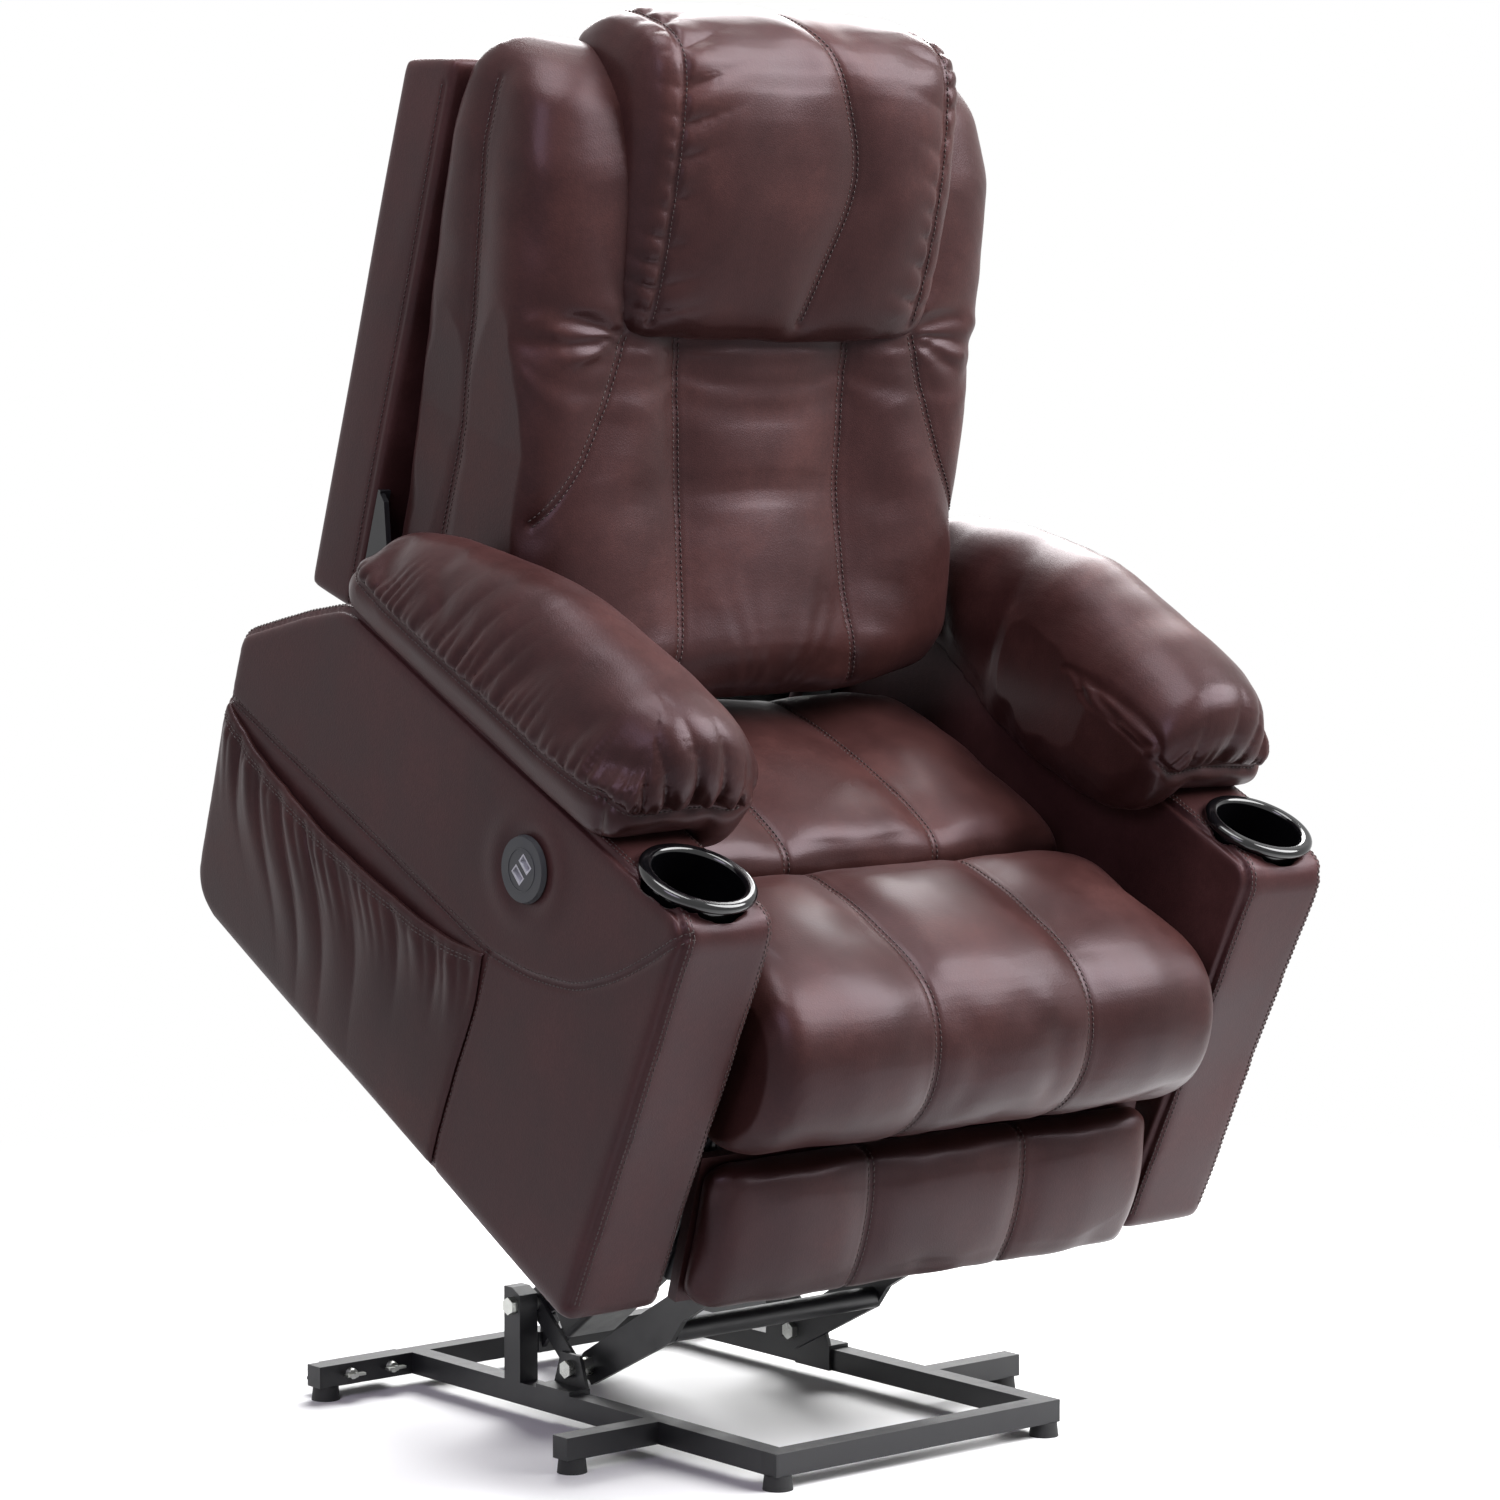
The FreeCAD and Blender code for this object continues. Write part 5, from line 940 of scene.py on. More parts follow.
@dataclass(frozen=True)
class Leather:
    """Bonded leather: a polyurethane skin, embossed with a fine pebble grain and wiped darker.

    The grain and the creases are sizes in millimetres.
    """

    name: str = "bonded_leather"
    deep: str = "#271412"
    middle: str = "#311b19"
    worn: str = "#3f2522"
    roughness: float = 0.38
    grain: float = 1.6
    crease: float = 26.0

    def make(self) -> bpy.types.Material:
        """Build the material."""
        material, tree, shader = blank_material(self.name)
        spot = add_node(tree, "ShaderNodeTexCoord").outputs["Object"]
        cloud = add_node(tree, "ShaderNodeTexNoise", Vector=spot, Scale=9.0, Detail=5.0, Roughness=0.6)
        fleck = add_node(tree, "ShaderNodeTexNoise", Vector=spot, Scale=220.0, Detail=3.0, Roughness=0.7)
        tone = add_node(
            tree, "ShaderNodeMath", {"operation": "MULTIPLY_ADD"}, n0=fleck.outputs["Fac"], n1=0.28, n2=-0.14
        )
        mixed = add_node(
            tree, "ShaderNodeMath", {"operation": "ADD"}, n0=cloud.outputs["Fac"], n1=tone.outputs[0]
        )
        ramp = add_node(tree, "ShaderNodeValToRGB", Fac=mixed.outputs[0])
        stops = ramp.color_ramp.elements
        stops[0].position, stops[0].color = 0.30, hex_linear(self.deep)
        stops[1].position, stops[1].color = 0.74, hex_linear(self.worn)
        middle = stops.new(0.52)
        middle.color = hex_linear(self.middle)
        tree.links.new(ramp.outputs["Color"], shader.inputs["Base Color"])
        # the pebble grain, drawn a little coarser than the real 0.8 mm so that it shows
        pebble = add_node(
            tree, "ShaderNodeTexVoronoi", {"feature": "SMOOTH_F1"},
            Vector=spot, Scale=1000.0 / self.grain, Smoothness=0.4,
        )
        crease = add_node(
            tree, "ShaderNodeTexNoise", {"noise_type": "RIDGED_MULTIFRACTAL"},
            Vector=spot, Scale=1000.0 / self.crease, Detail=4.0, Roughness=0.5,
        )
        bump = add_node(
            tree, "ShaderNodeBump", Strength=0.16, Distance=0.0006, Height=pebble.outputs["Distance"]
        )
        folded = add_node(
            tree, "ShaderNodeBump", {"invert": True},
            Strength=0.10, Distance=0.0012, Height=crease.outputs["Fac"], Normal=bump.outputs["Normal"],
        )
        tree.links.new(folded.outputs["Normal"], shader.inputs["Normal"])
        gloss = add_node(
            tree, "ShaderNodeMapRange", Value=cloud.outputs["Fac"],
            n1=0.3, n2=0.75, n3=self.roughness - 0.05, n4=self.roughness + 0.09,
        )
        tree.links.new(gloss.outputs[0], shader.inputs["Roughness"])
        shader.inputs["IOR"].default_value = 1.5
        shader.inputs["Specular IOR Level"].default_value = 0.2
        # the polyurethane top coat throws a mauve sheen over the brown
        shader.inputs["Specular Tint"].default_value = hex_linear("#f2d6e6")
        shader.inputs["Coat Weight"].default_value = 0.05
        shader.inputs["Coat Roughness"].default_value = 0.24
        shader.inputs["Coat Tint"].default_value = hex_linear("#fbeef5")
        shader.inputs["Sheen Weight"].default_value = 0.02
        shader.inputs["Sheen Tint"].default_value = hex_linear("#c9a3b4")
        return material


@dataclass(frozen=True)
class Plain:
    """A moulded, coated or plated surface with a fine texture, whose size is in millimetres."""

    name: str
    colour: str
    roughness: float
    metallic: float = 0.0
    texture: float = 0.6
    depth: float = 0.08
    spread: float = 0.08

    def make(self) -> bpy.types.Material:
        """Build the material."""
        material, tree, shader = blank_material(self.name)
        spot = add_node(tree, "ShaderNodeTexCoord").outputs["Object"]
        skin = add_node(tree, "ShaderNodeTexNoise", Vector=spot, Scale=1000.0 / self.texture, Detail=3.0)
        wear = add_node(tree, "ShaderNodeTexNoise", Vector=spot, Scale=26.0, Detail=6.0, Roughness=0.65)
        bump = add_node(
            tree, "ShaderNodeBump", Strength=self.depth, Distance=0.0004, Height=skin.outputs["Fac"]
        )
        tree.links.new(bump.outputs["Normal"], shader.inputs["Normal"])
        gloss = add_node(
            tree, "ShaderNodeMapRange", Value=wear.outputs["Fac"],
            n1=0.3, n2=0.7, n3=max(self.roughness - self.spread, 0.03), n4=self.roughness + self.spread,
        )
        tree.links.new(gloss.outputs[0], shader.inputs["Roughness"])
        light = hex_linear(self.colour)
        dark = tuple(v * 0.72 for v in light[:3]) + (1.0,)
        ramp = add_node(tree, "ShaderNodeValToRGB", Fac=wear.outputs["Fac"])
        ramp.color_ramp.elements[0].position, ramp.color_ramp.elements[0].color = 0.35, dark
        ramp.color_ramp.elements[1].position, ramp.color_ramp.elements[1].color = 0.65, light
        tree.links.new(ramp.outputs["Color"], shader.inputs["Base Color"])
        shader.inputs["Metallic"].default_value = self.metallic
        return material


class Finish(Enum):
    """The finishes of the chair."""

    # soft leather over stuffing: dark brown with a low mauve sheen and fine creases
    LEATHER = Leather()
    # the same leather stretched over board: a little paler and duller, its creases farther apart
    SIDE_LEATHER = Leather(
        "bonded_leather_side", "#2d1918", "#38201f", "#452a29", roughness=0.43, crease=40.0
    )
    # twisted thread dyed to the leather: a dull dotted line that its shadow makes visible
    THREAD = Plain("polyester_thread", "#2a1716", 0.55)
    # sprayed and baked black coating: satin, with a slight orange peel
    POWDER = Plain("powder_coated_steel", "#16161a", 0.42, texture=0.9, depth=0.22)
    # plated bolts and nuts: pale metal with soft, uneven lights
    ZINC = Plain("zinc_plated_steel", "#c9cbc6", 0.3, metallic=1.0)
    # moulded feet: deep black and matt, with hardly a highlight
    RUBBER = Plain("moulded_rubber", "#101012", 0.72, texture=1.4, depth=0.2)
    # moulded caps and housings: black with a fine grain and a broad, dull highlight
    PLASTIC = Plain("moulded_nylon", "#17171a", 0.5, texture=0.8, depth=0.2)
    # cup holders from a polished mould: near black, with sharp reflections
    GLOSS = Plain("polished_abs", "#08080a", 0.1, depth=0.0, spread=0.03)
    # the charging plate from an etched mould: dark grey and matt
    PLATE = Plain("textured_abs", "#2b2c31", 0.55, texture=0.7, depth=0.2)
    # the sockets' smooth moulded trim: pale grey with a soft highlight
    SOCKET = Plain("socket_trim", "#d8dade", 0.35, texture=2.0, depth=0.02)
    # the motors' drawn and anodised tubes: satin grey metal
    TUBE = Plain("anodised_aluminium", "#9a9ca0", 0.36, metallic=1.0)
    # the motors' ground rods: bright metal with a narrow highlight
    ROD = Plain("ground_steel", "#c4c5c8", 0.18, metallic=1.0)
    # sawn boards inside the arms and the seat: dry, matt and pale
    WOOD = Plain("sawn_pine", "#c09a6a", 0.7, texture=3.0, depth=0.3)
    # woven lining stapled across openings: black and fully matt, with a coarse tooth
    CLOTH = Plain("black_lining_cloth", "#141416", 0.9, texture=1.2, depth=0.5)


MATERIALS: dict[Finish, bpy.types.Material] = {}


def finish(piece: bpy.types.Object, kind: Finish) -> None:
    """Give a piece one finish in all its slots.

    Args:
        piece: the piece.
        kind: its finish, whose material is made at its first use.
    """
    if kind not in MATERIALS:
        MATERIALS[kind] = kind.value.make()
    material = MATERIALS[kind]
    if not piece.data.materials:
        piece.data.materials.append(material)
    for i in range(len(piece.data.materials)):
        piece.data.materials[i] = material


def dress_pair(
    piece: bpy.types.Object,
    thread: bpy.types.Object,
    frame: Place,
    body: str,
    kind: Finish,
) -> None:
    """Place a leather piece and its stitches, and give both their finish and body.

    Args:
        piece: the leather.
        thread: its stitches.
        frame: the frame that both were made in.
        body: the body that both ride on.
        kind: the leather's finish.
    """
    for item, look in ((piece, kind), (thread, Finish.THREAD)):
        place(item, frame)
        smooth_shade(item)
        finish(item, look)
        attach(item, body)
    LOG.info("%s: %d faces", piece.name, len(piece.data.polygons))


@dataclass(frozen=True)
class Room:
    """The room that a cushion may fill: its lowest and its highest x, y and z."""

    low: Point3
    high: Point3

    def keep(self, points: np.ndarray) -> np.ndarray:
        """Return the points, kept inside the room."""
        return np.clip(points, self.low, self.high)


@dataclass
class Cushion:
    """One stuffed piece: its form, its seams, how it is blown up and where it goes."""

    name: str
    frame: Place
    body: str
    node: str
    loft: Callable[[], Loft]
    seams: Callable[[], list[Seam]]
    held: Callable[[np.ndarray, np.ndarray], np.ndarray]
    puff: Puff = field(default_factory=Puff)
    folds: Callable[[np.ndarray, np.ndarray], np.ndarray] | None = None
    gathers: Sequence[Gathers] = ()
    limit: Callable[[np.ndarray], np.ndarray] | None = None
    cell: float = 6.0
    groove: float = 7.0
    groove_width: float = 13.0
    fine_depth: float = 2.6
    fine_width: float = 3.6
    fill: float = 0.7

    def build(self) -> None:
        """Make the cushion and its stitches in the part frame.

        The broad valley that the stuffing leaves along a seam comes first, and the air then swells
        the leather between the seams. The fine valley of the seam itself comes last.
        """
        piece = self.loft().build(self.name)
        remesh(piece, self.cell)
        lines = self.seams()
        paths = sink_seams(piece, lines, self.groove, self.groove_width)
        self.puff.run(piece, self._grip(piece, paths))
        if self.folds is not None:
            raise_by(piece, self.folds)
        apply_modifier(piece, "SUBSURF", levels=1, render_levels=1)
        surface = surface_of(piece)
        for gathers in self.gathers:
            raise_by(piece, lambda p, n: gathers.heights(p, surface))
        if self.limit is not None:
            write_points(piece, self.limit(read_points(piece)))
        sink_seams(piece, lines, self.fine_depth, self.fine_width)
        thread = sew(self.name + "_stitches", lines, surface_of(piece))
        dress_pair(piece, thread, self.frame, self.body, Finish.LEATHER)
        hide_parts(self.node)

    def _grip(self, piece: bpy.types.Object, paths: list[np.ndarray]) -> np.ndarray:
        """Return how firmly each point of the skin is held, by what it rests on or by a seam.

        Args:
            piece: the skin.
            paths: the seams' lines.

        Returns:
            A value from 0 to 1 for each point.
        """
        points = read_points(piece)
        held = np.clip(self.held(points, read_normals(piece)), 0.0, 1.0)
        for path in paths:
            if len(path):
                who, distance = near_path(points, path, self.cell * 1.6)
                sewn = np.clip(1.3 - distance / (self.cell * 1.3), 0.0, 1.0)
                held[who] = np.maximum(held[who], sewn)
        return held


def stations(rows: Sequence[tuple[float, float, float]]) -> list[tuple[float, float, float]]:
    """Return stations from the middle outwards as a full row from side to side."""
    return [(-x, rise, inset) for x, rise, inset in reversed(rows[1:])] + list(rows)


def channelled(
    rows: Sequence[tuple[float, float, float]],
    corners: Sequence[tuple[float, float, float, float]],
    bulges: Sequence[float],
    per_edge: int = 16,
    rounding: int = 4,
) -> list[tuple[float, np.ndarray]]:
    """Return a cushion's sections across x, the same on both sides.

    Args:
        rows: (x, rise, inset) from the middle outwards.
        corners: (y, z, share of the inset taken in y, share of the rise taken in z).
        bulges: how far each edge stands out.
        per_edge: points on each edge.
        rounding: how much the corners are rounded.

    Returns:
        The place and the outline of each section.
    """
    sections = []
    for x, rise, inset in stations(rows):
        points = [(y + inset * ky, z + rise * kz) for y, z, ky, kz in corners]
        sections.append((x, relaxed(outline(points, bulges, per_edge), rounding)))
    return sections


# the lengthwise seams of the seat, the roll, the footrest and the back lie this far from the middle
SEAM_X = 96.0


@dataclass
class Seat:
    """The seat cushion and the roll in front of it."""

    top: float = 324.0
    roll_top: float = 338.0
    seat_room: Room = Room((-276.5, 223.5, -math.inf), (276.5, 546.0, math.inf))
    roll_room: Room = Room((-277.0, -60.0, 160.5), (277.0, 223.0, math.inf))

    def seat_loft(self) -> Loft:
        """Return the seat cushion's form."""
        rows = (
            (0.0, 2.0, 0.0),
            (SEAM_X, -1.0, 1.0),
            (186.0, 0.0, 0.0),
            (258.0, -8.0, 3.0),
            (272.0, -30.0, 6.0),
            (275.0, -60.0, 14.0),
        )
        corners = (
            (225.0, 162.0, 0.0, 0.0),
            (545.0, 162.0, -1.0, 0.0),
            (545.0, self.top - 36.0, -1.0, 0.5),
            (512.0, self.top - 6.0, -1.0, 1.0),
            (234.0, self.top + 7.0, 1.0, 1.0),
        )
        return Loft(Along.X, channelled(rows, corners, (0.0, 0.0, 5.0, 10.0, 2.0)))

    def roll_loft(self) -> Loft:
        """Return the front roll's form."""
        rows = (
            (0.0, 1.0, -1.0),
            (SEAM_X, -1.0, 0.6),
            (186.0, 0.0, 0.0),
            (256.0, -6.0, 6.0),
            (271.0, -22.0, 20.0),
            (275.0, -44.0, 42.0),
        )
        corners = (
            (6.0, 163.0, 0.6, 0.0),
            (222.0, 163.0, 0.0, 0.0),
            (222.0, self.roll_top - 8.0, 0.0, 1.0),
            (60.0, self.roll_top + 2.0, 0.7, 1.0),
            (-38.0, self.roll_top - 84.0, 1.0, 0.4),
        )
        return Loft(Along.X, channelled(rows, corners, (0.0, 0.0, 4.0, 28.0, 12.0), rounding=6))

    def build(self) -> None:
        """Make both cushions."""
        Cushion(
            "seat_cushion_leather", CHAIR, "chair", "seat_cushion", self.seat_loft,
            seams=lambda: [
                seam_from([(x, 560.0, 320.0), (x * 0.98, 230.0, 330.0)], (0, 0, -1), 120.0)
                for x in (-SEAM_X, SEAM_X)
            ],
            held=lambda p, n: ((p[:, 2] < 250.0) | (p[:, 1] < 232.0) | (p[:, 1] > 540.0)).astype(float),
            puff=Puff(pressure=3.0, cap=10.0, slack=0.03),
            limit=self.seat_room.keep,
            groove=1.4,
            groove_width=16.0,
        ).build()
        Cushion(
            "front_roll_leather", CHAIR, "chair", "front_roll", self.roll_loft,
            seams=lambda: [seam_around(x, (90.0, 240.0), 36.0, 215.0) for x in (-SEAM_X, SEAM_X)],
            held=lambda p, n: ((p[:, 2] < 172.0) | (p[:, 1] > 214.0)).astype(float),
            puff=Puff(pressure=4.0, cap=14.0, slack=0.04),
            limit=self.roll_room.keep,
            groove=1.6,
            groove_width=18.0,
        ).build()


@dataclass
class Footrest:
    """The folding footrest's pad."""

    length: float = 144.0
    thick: float = 46.0
    base: float = -28.0
    room: Room = Room((-277.0, -math.inf, -math.inf), (277.0, math.inf, -27.4))

    def loft(self) -> Loft:
        """Return the pad's form in the frame of its board."""
        base = self.base
        rows = (
            (0.0, 0.0, 0.0),
            (SEAM_X, 1.0, 0.4),
            (186.0, 0.0, 0.0),
            (258.0, 5.0, 3.0),
            (271.0, 18.0, 9.0),
            (275.0, 30.0, 16.0),
        )
        corners = (
            (self.length - 12.0, base - self.thick + 10.0, -1.0, 0.9),
            (self.length + 1.0, base - self.thick * 0.4, -1.0, 0.2),
            (self.length - 1.0, base, -1.0, 0.0),
            (3.0, base, 1.0, 0.0),
            (1.0, base - self.thick * 0.4, 1.0, 0.2),
            (18.0, base - self.thick + 10.0, 1.0, 0.9),
        )
        return Loft(Along.X, channelled(rows, corners, (5.0, 2.0, 0.0, 2.0, 5.0, 7.0), 12, 4))

    def build(self) -> None:
        """Make the pad."""
        Cushion(
            "footrest_leather", REST, "rest_carrier", "footrest_pad", self.loft,
            seams=lambda: [seam_around(x, (72.0, -40.0), 178.0, 362.0) for x in (-SEAM_X, SEAM_X)],
            held=lambda p, n: (p[:, 2] > self.base - 4.0).astype(float),
            puff=Puff(pressure=3.0, cap=8.0, slack=0.03),
            limit=self.room.keep,
            groove=1.2,
            groove_width=16.0,
        ).build()


@dataclass
class BackRest:
    """The reclining back: boxed shell, cushion with wings, and headrest."""

    rows: tuple[tuple[float, float, float, float, float], ...] = (
        # height, middle front, wing front, half width, rear
        (2.0, -270.0, -214.0, 240.0, -16.0),
        (20.0, -292.0, -246.0, 268.0, -3.0),
        (60.0, -290.0, -268.0, 272.0, -2.0),
        (110.0, -262.0, -266.0, 273.0, -2.0),
        (200.0, -222.0, -254.0, 275.0, -2.0),
        (300.0, -190.0, -236.0, 282.0, -2.0),
        (400.0, -170.0, -208.0, 288.0, -2.0),
        (500.0, -156.0, -178.0, 291.0, -2.0),
        (560.0, -140.0, -140.0, 282.0, -4.0),
        (588.0, -118.0, -104.0, 264.0, -18.0),
        (598.0, -96.0, -78.0, 242.0, -34.0),
    )
    # x and height of the seams beside the middle, then back and height of the seam on the side
    inner_seam: tuple[Point2, ...] = ((108.0, 350.0), (100.0, 200.0), (104.0, 90.0), (118.0, 20.0))
    outer_seam: tuple[Point2, ...] = ((182.0, 350.0), (196.0, 300.0), (226.0, 230.0), (266.0, 168.0))
    box_seam: tuple[Point2, ...] = (
        (-92.0, 60.0),
        (-98.0, 200.0),
        (-94.0, 340.0),
        (-72.0, 480.0),
        (-58.0, 560.0),
    )
    shell_room: Room = Room((-291.5, -0.2, -1.0), (291.5, 88.0, 541.0))

    def cushion_loft(self) -> Loft:
        """Return the back cushion's form: sections across its height."""
        sections = []
        for height, middle, wing, half, rear in self.rows:
            seam = half * 0.74
            valley = (middle + wing) / 2.0 + 12.0
            share = min(1.0, -wing / 200.0)
            corners = (
                (-half, wing + 112.0 * share),
                (-seam, valley - 6.0),
                (-SEAM_X, middle + 5.0),
                (SEAM_X, middle + 5.0),
                (seam, valley - 6.0),
                (half, wing + 112.0 * share),
                (half, rear),
                (-half, rear),
            )
            bulges = (40.0 * share, 6.0, 5.0, 6.0, 40.0 * share, 3.0, 0.0, 3.0)
            sections.append((height, relaxed(outline(corners, bulges, 14), 5)))
        return Loft(Along.Z, sections)

    def cushion_seams(self) -> list[Seam]:
        """Return the sewn lines of the back cushion."""
        seams = []
        for side in (-1.0, 1.0):
            for line in (self.inner_seam, self.outer_seam):
                seams.append(seam_from([(side * x, -250.0, up) for x, up in line], (0, 1, 0), 250.0))
            curve = dense([(side * 400.0, back, up) for back, up in self.box_seam])
            inside = curve * np.array([0.0, 1.0, 1.0]) + np.array([side * 120.0, 0.0, 0.0])
            seams.append(Seam(curve, inside, depth=0.7))
        return seams

    def headrest_loft(self) -> Loft:
        """Return the headrest pillow's form."""
        rows = (
            (0.0, 0.0, 0.0),
            (94.0, -1.0, 0.0),
            (160.0, -4.0, 3.0),
            (184.0, -12.0, 10.0),
            (194.0, -26.0, 24.0),
            (198.0, -46.0, 44.0),
        )
        corners = (
            (-212.0, 352.0, 0.9, -0.9),
            (-162.0, 344.0, 0.0, -0.9),
            (-110.0, 560.0, 0.0, 0.0),
            (-40.0, 596.0, -0.3, 0.4),
            (-44.0, 622.0, -0.5, 0.8),
            (-116.0, 646.0, 0.0, 1.0),
            (-186.0, 622.0, 0.8, 0.9),
        )
        return Loft(Along.X, channelled(rows, corners, (6.0, 0.0, 2.0, 5.0, 10.0, 9.0, 12.0), 12, 5))

    def headrest_seams(self) -> list[Seam]:
        """Return the pillow's middle seam and its two end seams."""
        back, up = -120.0, 500.0
        far = 500.0
        turn = np.linspace(70.0, 236.0, SEAM_RAYS)
        down = np.clip((turn - 98.0) / 138.0, 0.0, 1.0)
        across = 2.0 + 42.0 * np.sin(math.pi * down) + 14.0 * down
        angle = np.radians(turn)
        outside = np.stack([across, back + far * np.cos(angle), up + far * np.sin(angle)], axis=1)
        inside = np.stack([across, np.full(SEAM_RAYS, back), np.full(SEAM_RAYS, up)], axis=1)
        seams = [Seam(outside, inside)]
        for side in (-1.0, 1.0):
            seams.append(seam_around(side * 165.0, (back, up), 60.0, 238.0, offsets=(3.6,), depth=0.8))
        return seams

    def cushion_folds(self, points: np.ndarray, normals: np.ndarray) -> np.ndarray:
        """Return the creases that run from the headrest's lower corners over the wings.

        Args:
            points: the cushion's points.
            normals: their normals.

        Returns:
            The creases' height at each point.
        """
        front = (0.0, -1.0, 0.0)
        total = np.zeros(len(points))
        for side in (-1.0, 1.0):
            corner = (side * 176.0, -200.0, 352.0)
            middle = 180.0 if side < 0 else 0.0
            span = (middle + side * 8.0, 66.0)
            total += fan(points, normals, corner, (0, 2), span, 5.5, (16.0, 92.0), 3.8, side, front)
            wing = (side * 285.0, -150.0, 330.0)
            total += fan(points, normals, wing, (1, 2), (180.0, 80.0), 6.0, (20.0, 90.0), 1.0, 2.0 + side)
        foot = (0.0, -250.0, -40.0)
        low = fan(points, normals, foot, (0, 2), (90.0, 70.0), 12.0, (60.0, 110.0), 1.6, 4.0, front)
        return total + low + 1.2 * noise(points, (90.0, 90.0, 140.0), 2.0)

    def headrest_folds(self, points: np.ndarray, normals: np.ndarray) -> np.ndarray:
        """Return the pillow's soft waves."""
        return 1.4 * noise(points, (90.0, 80.0, 110.0), 5.0)

    def headrest_gathers(self) -> list[Gathers]:
        """Return the pleats on both sides of the pillow's end seams."""
        gathers = []
        for seam, side in zip(self.headrest_seams()[1:], (-1.0, 1.0)):
            gathers.append(Gathers(seam, 34.0, 40.0, 3.4, (-side, 0.0, 0.0), 0.4 + side, 0.35, 8.0))
            gathers.append(Gathers(seam, 26.0, 22.0, 2.6, (side, 0.0, 0.0), 2.2 + side, 0.2))
        return gathers

    def build_shell(self) -> None:
        """Make the leather-covered box behind the cushion."""
        corners = [(-290.0, 0.0), (290.0, 0.0), (290.0, 85.0), (-290.0, 85.0)]
        sections = []
        for height, shrink in ((0.0, 5.0), (1.5, 2.0), (6.0, 0.0), (533.0, 0.0), (537.5, 2.0), (539.0, 5.0)):
            ring = [(x - math.copysign(shrink, x), y + (shrink if y < 1.0 else -shrink)) for x, y in corners]
            sections.append((height, relaxed(outline(ring, (0.0, 2.0, 3.0, 2.0), 60), 6)))
        shell = Loft(Along.Z, sections, step=3.0, blend=1).build("back_shell_leather")
        remesh(shell, 6.0)
        raise_by(shell, lambda p, n: 0.7 * noise(p, (120.0, 60.0, 160.0), 8.0))
        points = self.shell_room.keep(read_points(shell))
        # the box's top slopes up to the front, where it meets the cushion
        upper = np.clip((points[:, 2] - 380.0) / 160.0, 0.0, 1.0)
        points[:, 2] += 24.0 * (1.0 - points[:, 1] / 88.0) * upper
        write_points(shell, points)
        apply_modifier(shell, "SUBSURF", levels=1, render_levels=1)
        seams = []
        for side in (-1.0, 1.0):
            for x, back, towards in ((290.0, 12.0, (-side, 0, 0)), (278.0, 85.0, (0, -1, 0))):
                line = [(side * x, back, 6.0), (side * x, back, 534.0)]
                seams.append(seam_from(line, towards, 60.0, offsets=(4.0,)))
        sink_seams(shell, seams, 1.6, 3.0)
        thread = sew("back_shell_stitches", seams, surface_of(shell))
        dress_pair(shell, thread, BACK, "back", Finish.SIDE_LEATHER)
        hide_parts("back_cover")

    def build(self) -> None:
        """Make the shell, the cushion and the headrest."""
        self.build_shell()
        Cushion(
            "back_cushion_leather", BACK, "back", "back_cushion", self.cushion_loft,
            seams=self.cushion_seams,
            held=lambda p, n: ((p[:, 1] > -12.0) | (p[:, 2] < 6.0)).astype(float),
            puff=Puff(pressure=4.0, cap=16.0, slack=0.02),
            folds=self.cushion_folds,
            limit=self._clear_of_arms,
            cell=6.5,
            groove=3.4,
            groove_width=17.0,
        ).build()
        Cushion(
            "headrest_leather", BACK, "back", "headrest_pillow", self.headrest_loft,
            seams=self.headrest_seams,
            held=lambda p, n: (((p[:, 1] > -150.0) & (p[:, 2] < 560.0)) | (p[:, 1] > -50.0)).astype(float),
            puff=Puff(pressure=4.0, cap=14.0, slack=0.02),
            folds=self.headrest_folds,
            gathers=self.headrest_gathers(),
            groove=3.0,
            groove_width=15.0,
        ).build()

    def _clear_of_arms(self, points: np.ndarray) -> np.ndarray:
        """Return the points kept between the arms and in front of the shell."""
        half = np.interp(points[:, 2], [230.0, 420.0], [277.0, 300.0])
        x = np.clip(points[:, 0], -half, half)
        y = np.minimum(points[:, 1], -0.4)
        return np.stack([x, y, points[:, 2]], axis=1)


ARM_RING = rounded(
    ((0.0, 0.0), (697.0, 0.0), (747.0, 280.0), (664.0, 353.0), (604.0, 399.0), (26.0, 422.0)),
    (14.0, 45.0, 26.0, 80.0, 80.0, 30.0),
)
ARM_SLOPE = math.atan2(-23.0, 578.0)


def arm_top(back: np.ndarray | float) -> np.ndarray | float:
    """Return the height of the arm's top at a place along it."""
    return 422.0 + (back - 26.0) * math.tan(ARM_SLOPE)


